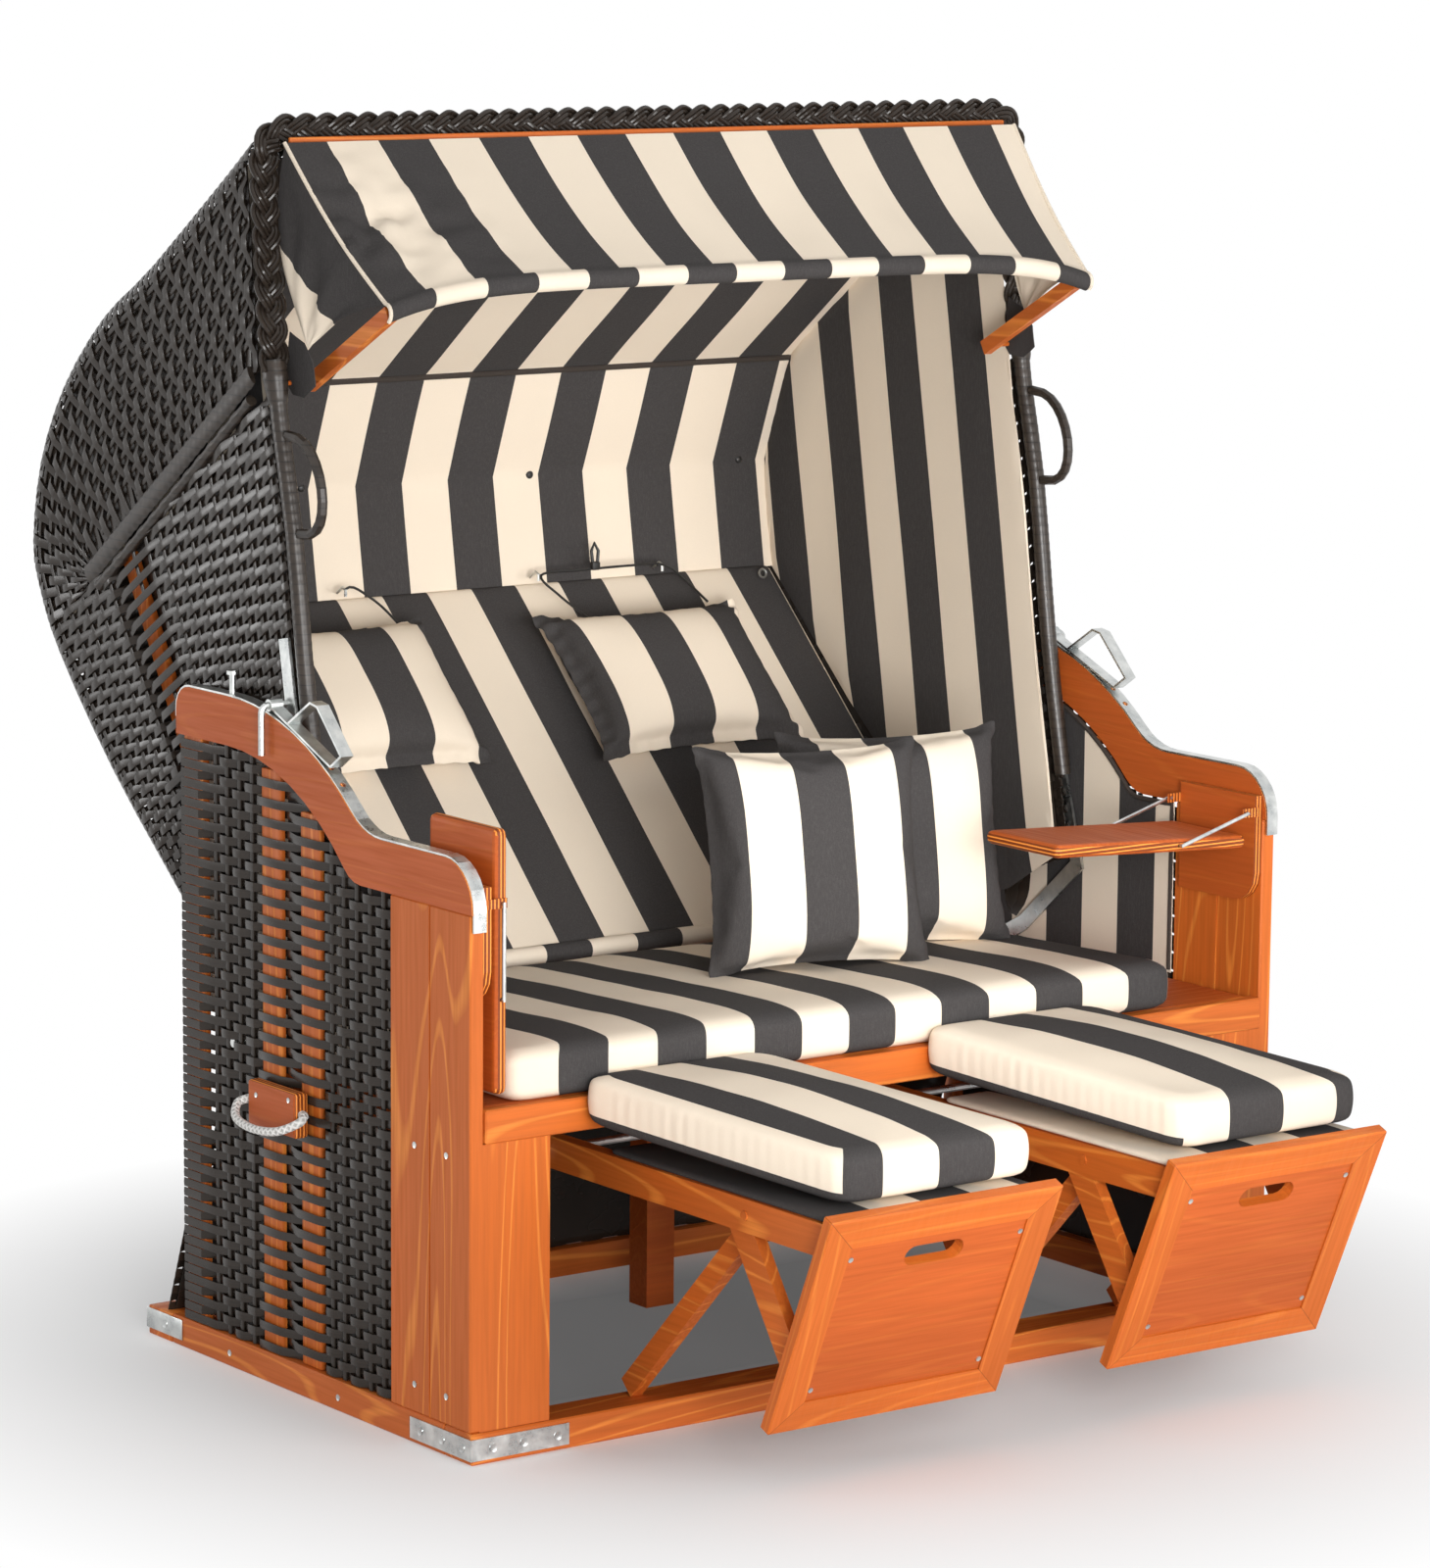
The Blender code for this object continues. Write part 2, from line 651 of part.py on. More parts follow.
def make_side_panels():
    """The woven side panel with its battens, and the cloth on its inner face."""
    front = PLANK_SETBACK + 2 * PLANK_DEPTH + GAP
    for label, side in SIDES:
        outer = BASE_HALF - SIDE_PANEL_SETBACK
        top = armrest_lower(GAP)
        top_z = top[-1][1]
        outline = [(BASE_DEPTH, top_z), (BASE_DEPTH, SILL_HEIGHT + GAP), (front, SILL_HEIGHT + GAP),
                   (front, top[0][1])] + top
        panel = plate(outline, x_pair(side, outer - SIDE_PANEL_THICKNESS, outer))
        hole = cylinder_x(PIVOT_PIN_RADIUS + PIN_CLEARANCE, x_pair(side, LINING_HALF, outer - PIN_WALL),
                          PIVOT_Y, PIVOT_Z)
        finish(cut(panel, hole), "side_panel_" + label, WICKER, CHAIR)
        lining_outer = outer - SIDE_PANEL_THICKNESS - GAP
        lining_outline = [(BASE_DEPTH - OVERRUN, top_z), (BASE_DEPTH - OVERRUN, PIVOT_Z + BAR_WIDTH),
                          (PIVOT_Y + 2 * BAR_EYE_RADIUS, SIDE_LINING_BOTTOM),
                          (front, SIDE_LINING_BOTTOM), (front, top[0][1])] + top
        lining = plate(lining_outline, x_pair(side, lining_outer - SIDE_LINING_THICKNESS, lining_outer))
        finish(lining, "side_lining_" + label, CREAM, CHAIR)


def make_armrests():
    for label, side in SIDES:
        lower = armrest_lower(0)
        outline = armrest_upper(0) + [(0, lower[0][1])] + lower + [(ARMREST_REAR_Y, lower[-1][1])]
        board = plate(outline, x_pair(side, INNER_HALF, BASE_HALF))
        finish(board, "armrest_" + label, PLY, CHAIR)


def make_latch_rails():
    """The steel strip on each armrest, with its latch holes and the bolt that stops the hood."""
    for label, side in SIDES:
        near, far = GAP, GAP + RAIL_THICKNESS
        inner_edge = [(ARMREST_REAR_Y + near, RAIL_REAR_END_Z)] + armrest_upper(near)
        outer_edge = [(ARMREST_REAR_Y + far, RAIL_REAR_END_Z)] + armrest_upper(far)
        inner_edge.append((-near, RAIL_FRONT_END_Z))
        outer_edge.append((-far, RAIL_FRONT_END_Z))
        middle = BASE_HALF - BOARD / 2
        strip = plate(outer_edge + inner_edge[::-1],
                      x_pair(side, middle - RAIL_WIDTH / 2, middle + RAIL_WIDTH / 2))
        foot = PIVOT_Z + ARMREST_RADIUS + far
        bolt = cylinder_z(STOP_BOLT_RADIUS, side * middle, PIVOT_Y,
                          (foot - RAIL_THICKNESS / 2, foot + STOP_BOLT_HEIGHT), 12)
        head = cylinder_z(STOP_HEAD_RADIUS, side * middle, PIVOT_Y,
                          (foot + STOP_BOLT_HEIGHT - STOP_HEAD_HEIGHT, foot + STOP_BOLT_HEIGHT), 12)
        join(strip, bolt, head)
        for angle in RAIL_HOLE_ANGLES:
            turn = math.radians(angle)
            bm = bmesh.new()
            bmesh.ops.create_cone(bm, cap_ends=True, segments=10, radius1=RAIL_HOLE_RADIUS,
                                  radius2=RAIL_HOLE_RADIUS, depth=RAIL_THICKNESS * 3)
            hole = from_bmesh(bm, (side * middle, PIVOT_Y - (ARMREST_RADIUS + near) * math.sin(turn),
                                   PIVOT_Z + (ARMREST_RADIUS + near) * math.cos(turn)), (turn, 0, 0))
            cut(strip, hole)
        finish(strip, "latch_rail_" + label, STEEL, CHAIR)


def make_seat():
    """Front rail, seat board with its rear rail and middle leg, and the bearers on the sides."""
    rail = span_box((-INNER_HALF + GAP, INNER_HALF - GAP), (0, SEAT_RAIL_THICKNESS),
                    (SEAT_TOP_Z - SEAT_RAIL_HEIGHT, SEAT_TOP_Z))
    finish(rail, "seat_front_rail", PINE, CHAIR)
    board_low = SEAT_TOP_Z - SEAT_BOARD_THICKNESS
    board = span_box((-SEAT_BOARD_HALF, SEAT_BOARD_HALF),
                     (SEAT_RAIL_THICKNESS + GAP, SEAT_BOARD_REAR_Y), (board_low, SEAT_TOP_Z), False)
    rear_rail = span_box((-SEAT_BOARD_HALF, SEAT_BOARD_HALF),
                         (SEAT_BOARD_REAR_Y - SEAT_RAIL_THICKNESS, SEAT_BOARD_REAR_Y),
                         (board_low - SEAT_REAR_RAIL_HEIGHT, board_low + SEAT_BOARD_THICKNESS / 2), False)
    bearers = []
    for _, side in SIDES:
        bearers.append(span_box(x_pair(side, INNER_HALF - GAP - BOARD, INNER_HALF - GAP),
                                (SEAT_RAIL_THICKNESS + 2 * GAP, SEAT_BEARER_REAR_Y),
                                (board_low - SEAT_BEARER_HEIGHT, board_low + EDGE_ROUND), False))
    leg = span_box((-CENTRE_LEG_WIDTH / 2, CENTRE_LEG_WIDTH / 2),
                   (CENTRE_LEG_Y - CENTRE_LEG_DEPTH / 2, CENTRE_LEG_Y + CENTRE_LEG_DEPTH / 2),
                   (0, SEAT_TOP_Z - SEAT_BOARD_THICKNESS / 2), False)
    finish(join(board, rear_rail, leg, *bearers), "seat_board", PLY, CHAIR)


def make_rear_wall():
    """The woven wall behind the seat, which leans back down to the rear sill."""
    low_z = SILL_HEIGHT / 2
    line = [(REAR_WALL_TOP_Y, REAR_WALL_TOP_Z), (REAR_WALL_BOTTOM_Y, low_z)]
    lean = math.atan2(REAR_WALL_BOTTOM_Y - REAR_WALL_TOP_Y, REAR_WALL_TOP_Z - low_z)
    width = REAR_WALL_THICKNESS / math.cos(lean) / 2
    outline = [(y - width, z) for y, z in line] + [(y + width, z) for y, z in line[::-1]]
    half = INNER_HALF - GAP
    wall = plate(outline, (-half, half))
    sill = span_box((-BASE_HALF, BASE_HALF), (REAR_Y - REAR_SILL_DEPTH, REAR_Y), (0, SILL_HEIGHT), False)
    finish(join(wall, sill), "rear_wall", WICKER, CHAIR)


def make_carry_handles():
    """A hardwood block on each side, with a rope loop out of its two ends."""
    for label, side in SIDES:
        face = BASE_HALF - SIDE_PANEL_SETBACK + GAP
        block = span_box(x_pair(side, face, face + CARRY_THICKNESS),
                         (CARRY_Y - CARRY_LENGTH / 2, CARRY_Y + CARRY_LENGTH / 2),
                         (CARRY_Z - CARRY_HEIGHT / 2, CARRY_Z + CARRY_HEIGHT / 2), False)
        soften(block, EDGE_ROUND * 2, 2)
        finish(block, "carry_block_" + label, PLY, CHAIR)
        half_route = [(side * (face + CARRY_THICKNESS / 2 + ROPE_BULGE * out),
                       CARRY_LENGTH / 2 * along + GAP, CARRY_Z + ROPE_RISE - ROPE_DROP * drop)
                      for out, along, drop in ROPE_SHARES]
        route = [(x, CARRY_Y - y, z) for x, y, z in half_route[:-1]]
        route.append((half_route[-1][0], CARRY_Y, half_route[-1][2]))
        route += [(x, CARRY_Y + y, z) for x, y, z in half_route[-2::-1]]
        route = smooth_path(route, 3)
        end_y = CARRY_LENGTH / 2 + GAP
        route.insert(0, (route[0][0], CARRY_Y - end_y, route[0][2]))
        route.append((route[-1][0], CARRY_Y + end_y, route[-1][2]))
        finish(rod(route, ROPE_RADIUS), "carry_rope_" + label, ROPE, CHAIR)


# Cushions


def cage(cells_x, cells_y, rows):
    """A closed cage of unit half sizes, with rows of faces round its sides."""
    bm = bmesh.new()
    bmesh.ops.create_grid(bm, x_segments=cells_x, y_segments=cells_y, size=1.0)
    bmesh.ops.translate(bm, vec=(0, 0, -1), verts=bm.verts)
    bmesh.ops.reverse_faces(bm, faces=bm.faces)
    copied = bmesh.ops.duplicate(bm, geom=bm.verts[:] + bm.edges[:] + bm.faces[:])
    upper_verts = [item for item in copied["geom"] if isinstance(item, bmesh.types.BMVert)]
    upper_faces = [item for item in copied["geom"] if isinstance(item, bmesh.types.BMFace)]
    bmesh.ops.translate(bm, vec=(0, 0, 2), verts=upper_verts)
    bmesh.ops.reverse_faces(bm, faces=upper_faces)
    rims = [edge for edge in bm.edges if edge.is_boundary]
    walls = bmesh.ops.bridge_loops(bm, edges=rims)["faces"]
    uprights = {edge for face in walls for edge in face.edges
                if abs(edge.verts[0].co.z - edge.verts[1].co.z) > 1}
    if rows > 1:
        bmesh.ops.subdivide_edges(bm, edges=list(uprights), cuts=rows - 1, use_grid_fill=True)
    bmesh.ops.recalc_face_normals(bm, faces=bm.faces)
    return bm


BOX_SHARES = (-1.0, -0.90, -0.40, 0.40, 0.90, 1.0)
BOX_CROWN_SHARE = 0.16
BOX_DRAW_SHARE = 0.018
PILLOW_RIM_SHARE = 0.10
PILLOW_DRAW_SHARE = 0.055


def remap(value, shares):
    """Move evenly spaced cage lines to the given shares."""
    index = round((value + 1) / 2 * (len(shares) - 1))
    return shares[index]


def box_cushion(size, front_share=1.0):
    """A boxed cushion with a crown, whose sides draw in between the corners."""
    bm = cage(5, 5, 2)
    half = Vector(size) / 2
    for vert in bm.verts:
        u, v, w = remap(vert.co.x, BOX_SHARES), remap(vert.co.y, BOX_SHARES), vert.co.z
        draw_u = 1 - BOX_DRAW_SHARE * (1 - v ** 2)
        draw_v = 1 - BOX_DRAW_SHARE * (1 - u ** 2)
        taper = front_share + (1 - front_share) * (1 - v) / 2
        crown = BOX_CROWN_SHARE * size[2] * (1 - u ** 4) * (1 - v ** 4) if w > 0 else 0
        top = size[2] * taper - BOX_CROWN_SHARE * size[2]
        vert.co = (u * half.x * draw_u, v * half.y * draw_v, (w + 1) / 2 * top + crown)
    return subdivided(bm)


def pillow(width, height, thickness):
    """A loose pillow with a thin rim and sides that draw in between the corners."""
    bm = cage(6, 6, 1)
    for vert in bm.verts:
        u, v, w = vert.co
        swell = (1 - u ** 4) * (1 - v ** 4)
        rise = thickness / 2 * (PILLOW_RIM_SHARE + (1 - PILLOW_RIM_SHARE) * math.sqrt(max(swell, 0)))
        x = u * width / 2 * (1 - PILLOW_DRAW_SHARE * (1 - v ** 2))
        y = v * height / 2 * (1 - PILLOW_DRAW_SHARE * (1 - u ** 2))
        vert.co = (x, y, w * rise)
    return subdivided(bm)


def subdivided(bm):
    obj = from_bmesh(bm)
    subsurf = obj.modifiers.new("rounding", "SUBSURF")
    subsurf.levels = 1
    subsurf.render_levels = 1
    return obj


def make_seat_cushion():
    width = SEAT_CUSHION_RIGHT_X - SEAT_CUSHION_LEFT_X
    rear_share = SEAT_CUSHION_REAR_THICKNESS / SEAT_CUSHION_FRONT_THICKNESS
    cushion = box_cushion((width, SEAT_CUSHION_REAR_Y, SEAT_CUSHION_FRONT_THICKNESS), rear_share)
    cushion.location = (SEAT_CUSHION_LEFT_X + width / 2, SEAT_CUSHION_REAR_Y / 2, SEAT_TOP_Z + GAP)
    finish(cushion, "seat_cushion", CREAM, CHAIR, 60)


def make_throw_cushions():
    """Two loose cushions that stand on the seat cushion, the front one leaning on the rear one."""
    share = 1 - BOX_CROWN_SHARE
    for name, (x, y, lift) in (("throw_cushion_front", THROW_FRONT_PLACE),
                               ("throw_cushion_rear", THROW_REAR_PLACE)):
        lean = math.radians(THROW_LEAN)
        taper = 1 - y / SEAT_CUSHION_REAR_Y
        seat_z = SEAT_TOP_Z + share * (SEAT_CUSHION_REAR_THICKNESS + taper * (
            SEAT_CUSHION_FRONT_THICKNESS - SEAT_CUSHION_REAR_THICKNESS))
        cushion = pillow(THROW_WIDTH, THROW_HEIGHT, THROW_THICKNESS)
        cushion.rotation_euler = (math.pi / 2 - lean, 0, math.radians(THROW_YAW))
        rise = THROW_HEIGHT / 2 * math.cos(lean)
        cushion.location = (x, y, seat_z + lift + rise)
        finish(cushion, name, GREY, CHAIR, 60)


# Hood


def front_path():
    """The front tube's centre line on one side, as Y and Z from its foot to the top."""
    rise = TUBE_TOP_Z - TUBE_FOOT_Z
    points = [(FRONT_FOOT_Y + lean * FRONT_LEAN, TUBE_FOOT_Z + up * rise) for up, lean in FRONT_SHARES]
    return smooth_path(points, 3)


def front_y(z):
    """The Y of the front tube's centre line at a height."""
    path = front_path()
    for (y0, z0), (y1, z1) in zip(path, path[1:]):
        if z <= z1:
            return y0 + (y1 - y0) * (z - z0) / (z1 - z0)
    return path[-1][0]


def arch_points(foot_z):
    """The front tube's line from one foot over the top to the other."""
    top_y = front_y(TUBE_TOP_Z)
    left = [(-TUBE_HALF, front_y(foot_z), foot_z)]
    left += [(-TUBE_HALF, y, z) for y, z in front_path()
             if foot_z + EDGE_ROUND < z < TUBE_TOP_Z - TUBE_CORNER * 1.5]
    for step in range(6):
        turn = math.pi / 2 * step / 5
        z = TUBE_TOP_Z - TUBE_CORNER * (1 - math.sin(turn))
        left.append((-TUBE_HALF + TUBE_CORNER * (1 - math.cos(turn)), front_y(z), z))
    span = TUBE_HALF - TUBE_CORNER
    middle = [(span * share, top_y, TUBE_TOP_Z) for share in (-0.5, 0.0, 0.5)]
    return left + middle + [(-x, y, z) for x, y, z in left[::-1]]


def shell_profile(inset):
    """The hood's side view from the roof's front edge to the foot of its back."""
    points = [(SHELL_START_Y + depth * SHELL_DEPTH, SHELL_END_Z + rise * SHELL_RISE)
              for depth, rise in SHELL_SHARES]
    path = smooth_path(points, SHELL_STEPS)
    moved = []
    for index, (y, z) in enumerate(path):
        swell = SHELL_SWELL * math.sin(math.pi * index / (len(path) - 1)) ** 0.5
        before, after = path[max(index - 1, 0)], path[min(index + 1, len(path) - 1)]
        along = Vector((after[0] - before[0], after[1] - before[1])).normalized()
        y, z = y + (inset - swell) * along.y, z - (inset - swell) * along.x
        moved.append((max(y, front_y(z) + BRAID_RADIUS + SHELL_THICKNESS), z))
    return moved


def side_outline(inset, rise, behind):
    """The outline of one side of the hood, a little behind its front tube and braid."""
    (first_y, first_z), *rest = shell_profile(inset)
    outline = [(first_y, first_z - 3 * SHELL_SEAM)] + rest
    outline += [(PIVOT_Y, PIVOT_Z + SIDE_HEEL_RISE + rise), (SIDE_HEEL_Y, SIDE_HEEL_Z + rise),
                (SIDE_FOOT_Y, SIDE_FOOT_Z)]
    outline += [(y + TUBE_RADIUS + behind, z) for y, z in front_path() if z < BRAID_FOOT_Z - 2 * OVERRUN]
    edge_z = BRAID_FOOT_Z - OVERRUN
    outline += [(front_y(edge_z) + TUBE_RADIUS + behind, edge_z),
                (front_y(edge_z) + BRAID_RADIUS + behind, edge_z)]
    top_z = outline[0][1] - 2 * OVERRUN
    outline += [(y + BRAID_RADIUS + behind, z) for y, z in front_path()
                if edge_z + 2 * OVERRUN < z < top_z - OVERRUN]
    outline.append((front_y(top_z) + BRAID_RADIUS + behind, top_z))
    return outline


def make_hood_frame(hood):
    tube = rod(arch_points(TUBE_FOOT_Z), TUBE_RADIUS)
    finish(tube, "hood_frame", WICKER, hood)
    braid = rod(arch_points(BRAID_FOOT_Z), BRAID_RADIUS, 3)
    bore = rod(arch_points(BRAID_FOOT_Z - 2 * OVERRUN), TUBE_RADIUS + GAP)
    finish(cut(braid, bore), "hood_braid", WICKER, hood)


def make_hood_back(hood):
    """Roof and back as one bent sheet, whose long edges turn forward to meet the sides."""
    profile = shell_profile(0)
    corner_steps = 4
    section = []
    for step in range(corner_steps + 1):
        turn = math.pi / 2 * step / corner_steps
        section.append((HOOD_HALF - SHELL_CORNER + SHELL_CORNER * math.cos(turn),
                        SHELL_CORNER * (1 - math.sin(turn))))
    section = [(-x, inset) for x, inset in section] + [(x, inset) for x, inset in section[::-1]]
    bm = bmesh.new()
    rings = []
    insets = {inset: shell_profile(inset) for _, inset in section}
    for index in range(len(profile)):
        rings.append([bm.verts.new((x, *insets[inset][index])) for x, inset in section])
    for ring, following in zip(rings, rings[1:]):
        for a, b, c, d in zip(ring, following, following[1:], ring[1:]):
            bm.faces.new((a, b, c, d))
    bmesh.ops.recalc_face_normals(bm, faces=bm.faces)
    sheet = from_bmesh(bm)
    wall = sheet.modifiers.new("wall", "SOLIDIFY")
    wall.thickness = SHELL_THICKNESS
    wall.offset = -1
    wall.use_even_offset = True
    finish(sheet, "hood_back", WICKER, hood)


def make_hood_sides(hood):
    outline = side_outline(SHELL_CORNER + SHELL_SEAM, 0, 2 * GAP)
    for label, side in SIDES:
        inner = HOOD_HALF - SHELL_THICKNESS
        panel = plate(outline, x_pair(side, inner, HOOD_HALF))
        ribs = []
        for start, end in ((RIB_START_SHARES, RIB_END_SHARES), (SLAT_START_SHARES, SLAT_END_SHARES)):
            line = [(SHELL_START_Y + depth * SHELL_DEPTH, SHELL_END_Z + rise * SHELL_RISE)
                    for depth, rise in (start, end)]
            ribs.append(plate(band(line, RIB_WIDTH),
                              x_pair(side, inner - RIB_THICKNESS, inner + SHELL_THICKNESS / 2)))
        finish(join(panel, *ribs), "hood_side_" + label, WICKER, hood)


def make_hood_lining(hood):
    """The sewn cloth inside the hood: roof, upper back and both sides in one piece."""
    outline = side_outline(LINING_INSET, LINING_RISE, LINING_THICKNESS + 2 * GAP)
    profile_count = len(shell_profile(0))
    last = max(index for index in range(profile_count) if outline[index][1] > LINING_BACK_Z) + 1
    (y0, z0), (y1, z1) = outline[last - 1], outline[last]
    outline.insert(last, (y0 + (y1 - y0) * (z0 - LINING_BACK_Z) / (z0 - z1), LINING_BACK_Z))
    bm = bmesh.new()
    left = [bm.verts.new((-LINING_HALF, y, z)) for y, z in outline]
    right = [bm.verts.new((LINING_HALF, y, z)) for y, z in outline]
    bm.faces.new(left)
    bm.faces.new(right[::-1])
    for index in range(last):
        bm.faces.new((left[index], left[index + 1], right[index + 1], right[index]))
    bmesh.ops.recalc_face_normals(bm, faces=bm.faces)
    cloth = from_bmesh(bm)
    wall = cloth.modifiers.new("wall", "SOLIDIFY")
    wall.thickness = LINING_THICKNESS
    wall.offset = -1
    wall.use_even_offset = True
    finish(cloth, "hood_lining", CREAM, hood)


def latch_axle():
    """Y and Z of the latch's axle, which rides just clear of the armrest's rail."""
    radius = ARMREST_RADIUS + 2 * GAP + RAIL_THICKNESS + LATCH_SLEEVE_RADIUS
    y = front_y(BAR_TOP_Z) + LATCH_AXLE_BEHIND
    return y, PIVOT_Z + math.sqrt(radius ** 2 - (PIVOT_Y - y) ** 2)


def make_pivot_bars(hood):
    """The flat bar that carries the hood on its pin, with the rod that holds the latch."""
    behind = TUBE_RADIUS + GAP + BAR_WIDTH / 2
    line = [(front_y(BAR_TOP_Z) + behind, BAR_TOP_Z),
            (front_y(TUBE_FOOT_Z) + behind, TUBE_FOOT_Z + BAR_WIDTH / 2),
            (BAR_KNEE_Y, BAR_KNEE_Z), (BAR_HEEL_Y, BAR_HEEL_Z), (PIVOT_Y, PIVOT_Z)]
    axle_y, axle_z = latch_axle()
    for label, side in SIDES:
        span = x_pair(side, BAR_INNER_X, BAR_INNER_X + BAR_THICKNESS)
        bar = plate(band(line, BAR_WIDTH), span)
        eye = cylinder_x(BAR_EYE_RADIUS, span, PIVOT_Y, PIVOT_Z, 20)
        pin_end = BASE_HALF - SIDE_PANEL_SETBACK - PIN_WALL - OVERRUN / 2
        pin = cylinder_x(PIVOT_PIN_RADIUS, x_pair(side, BAR_INNER_X + BAR_THICKNESS / 2, pin_end),
                         PIVOT_Y, PIVOT_Z, 12)
        reach = BASE_HALF + LATCH_AXLE_RADIUS * 2
        bend = LATCH_AXLE_RADIUS * 2
        route = [(side * (BAR_INNER_X + BAR_THICKNESS / 2), axle_y, axle_z),
                 (side * (reach - bend), axle_y, axle_z)]
        for step in range(1, 5):
            turn = math.pi / 2 * step / 4
            route.append((side * (reach - bend + bend * math.sin(turn)), axle_y,
                          axle_z - bend + bend * math.cos(turn)))
        route.append((side * reach, axle_y, axle_z - LATCH_AXLE_DROP))
        finish(join(bar, eye, pin, rod(route, LATCH_AXLE_RADIUS)), "pivot_bar_" + label, STEEL, hood)


def make_grab_handles(hood):
    """A bow in front of the tube on each side, for pulling the hood forward."""
    for label, side in SIDES:
        middle_z = (GRAB_TOP_Z + GRAB_BOTTOM_Z) / 2
        half = (GRAB_TOP_Z - GRAB_BOTTOM_Z) / 2
        route = []
        for step in range(13):
            turn = math.pi * step / 12
            z = middle_z + half * math.cos(turn)
            reach = GRAB_SEAT + (GRAB_REACH - TUBE_RADIUS) * math.sin(turn) ** GRAB_FULLNESS
            route.append((side * TUBE_HALF, front_y(z) - TUBE_RADIUS - reach, z))
        finish(rod(route, GRAB_RADIUS), "grab_handle_" + label, WICKER, hood)


def back_axes():
    """Unit vectors in Y and Z along the backrest, from foot to top, and out of its front."""
    along = Vector((BACK_TOP_Y - BACK_FOOT_Y, BACK_TOP_Z - BACK_FOOT_Z)).normalized()
    return along, Vector((-along.y, along.x))


def make_backrest(hood):
    along, out = back_axes()
    foot = Vector((BACK_FOOT_Y, BACK_FOOT_Z))
    top = Vector((BACK_TOP_Y, BACK_TOP_Z))
    outline = [tuple(foot), tuple(top), tuple(top - out * BACK_THICKNESS),
               tuple(foot - out * BACK_THICKNESS / 2)]
    pad = plate(outline, (-BACK_HALF, BACK_HALF))
    soften(pad, BACK_THICKNESS / 4, 2)
    roll_centre = foot + along * BACK_ROLL_RADIUS / 4
    roll = cylinder_x(BACK_ROLL_RADIUS, (-BACK_HALF, BACK_HALF), *roll_centre, 12)
    finish(join(pad, roll), "backrest", CREAM, hood)


def make_head_pillows(hood):
    along, out = back_axes()
    top = Vector((BACK_TOP_Y, BACK_TOP_Z))
    for (label, _), x, drop in zip(SIDES, PILLOW_CENTRES, PILLOW_DROPS):
        down = PILLOW_FROM_TOP + drop + PILLOW_HEIGHT / 2
        centre = top - along * down + out * (PILLOW_THICKNESS / 2 + GAP)
        cushion = pillow(PILLOW_WIDTH, PILLOW_HEIGHT, PILLOW_THICKNESS)
        cushion.rotation_euler = (math.atan2(along.y, along.x), 0, 0)
        cushion.location = (x, *centre)
        finish(cushion, "head_pillow_" + label, GREY, hood, 60)


def make_latches(hood):
    """The lever that locks the hood: a straight strap on the rail's round with a bent hand loop."""
    axle_y, axle_z = latch_axle()
    low = ARMREST_RADIUS + 2 * GAP + RAIL_THICKNESS
    axle_deg = math.degrees(math.asin((PIVOT_Y - axle_y) / (low + LATCH_SLEEVE_RADIUS)))
    middle = BASE_HALF - BOARD / 2
    touch_deg = (axle_deg + LATCH_STRAP_END_DEG) / 2

    def on_strap(angle_deg):
        """A point of the strap, which lies on the rail's round at its own middle."""
        reach = (low + LATCH_STRAP / 2) / math.cos(math.radians(angle_deg - touch_deg))
        turn = math.radians(angle_deg)
        return PIVOT_Y - reach * math.sin(turn), PIVOT_Z + reach * math.cos(turn)

    for label, side in SIDES:
        body = empty("latch_frame_" + label, (side * middle, axle_y, axle_z), hood)
        span = x_pair(side, middle - LATCH_WIDTH / 2, middle + LATCH_WIDTH / 2)
        root, tip = on_strap(LATCH_LOOP_START_DEG), on_strap(LATCH_STRAP_END_DEG)
        strap = plate(band([on_strap(axle_deg), tip], LATCH_STRAP), span)
        crown = low + LATCH_LOOP_RISE
        rear_top = math.radians(LATCH_LOOP_START_DEG + (LATCH_STRAP_END_DEG - LATCH_LOOP_START_DEG) / 3)
        top_a = (PIVOT_Y - crown * math.sin(rear_top), PIVOT_Z + crown * math.cos(rear_top))
        top_b = (top_a[0] - LATCH_LOOP_SPREAD, top_a[1] - LATCH_LOOP_SPREAD / 6)
        nose = (tip[0] - LATCH_LOOP_SPREAD * 1.5, tip[1] + LATCH_LOOP_SPREAD)
        loop = plate(band([root, top_a, top_b, nose, tip], LATCH_STRAP), span)
        sleeve = cylinder_x(LATCH_SLEEVE_RADIUS, span, axle_y, axle_z, 16)
        bore = cylinder_x(LATCH_AXLE_RADIUS + GAP, x_pair(side, middle - BOARD, middle + BOARD),
                          axle_y, axle_z, 16)
        finish(cut(join(strap, loop, sleeve), bore), "latch_lever_" + label, STEEL, body)


# Awning


def awning_bar_z(share):
    """Height of the awning's bar, which droops towards its two ends."""
    return AWNING_BAR_Z + AWNING_BOW * (1 - abs(share) ** AWNING_BOW_POWER)


def awning_bar_points(reach):
    """The bar's centre line inside the cloth's hem, cut off at a reach to either side."""
    half = CLOTH_HALF - CLOTH_TAPER
    points = [(half * share, AWNING_BAR_Y, awning_bar_z(share)) for share in AWNING_COLUMN_SHARES]
    for end, inner in ((0, 1), (-1, -2)):
        (x0, _, z0), (x1, _, z1) = points[end], points[inner]
        cut_share = (abs(x0) - reach) / (abs(x0) - abs(x1))
        points[end] = (math.copysign(reach, x0), AWNING_BAR_Y, z0 + (z1 - z0) * cut_share)
    return points


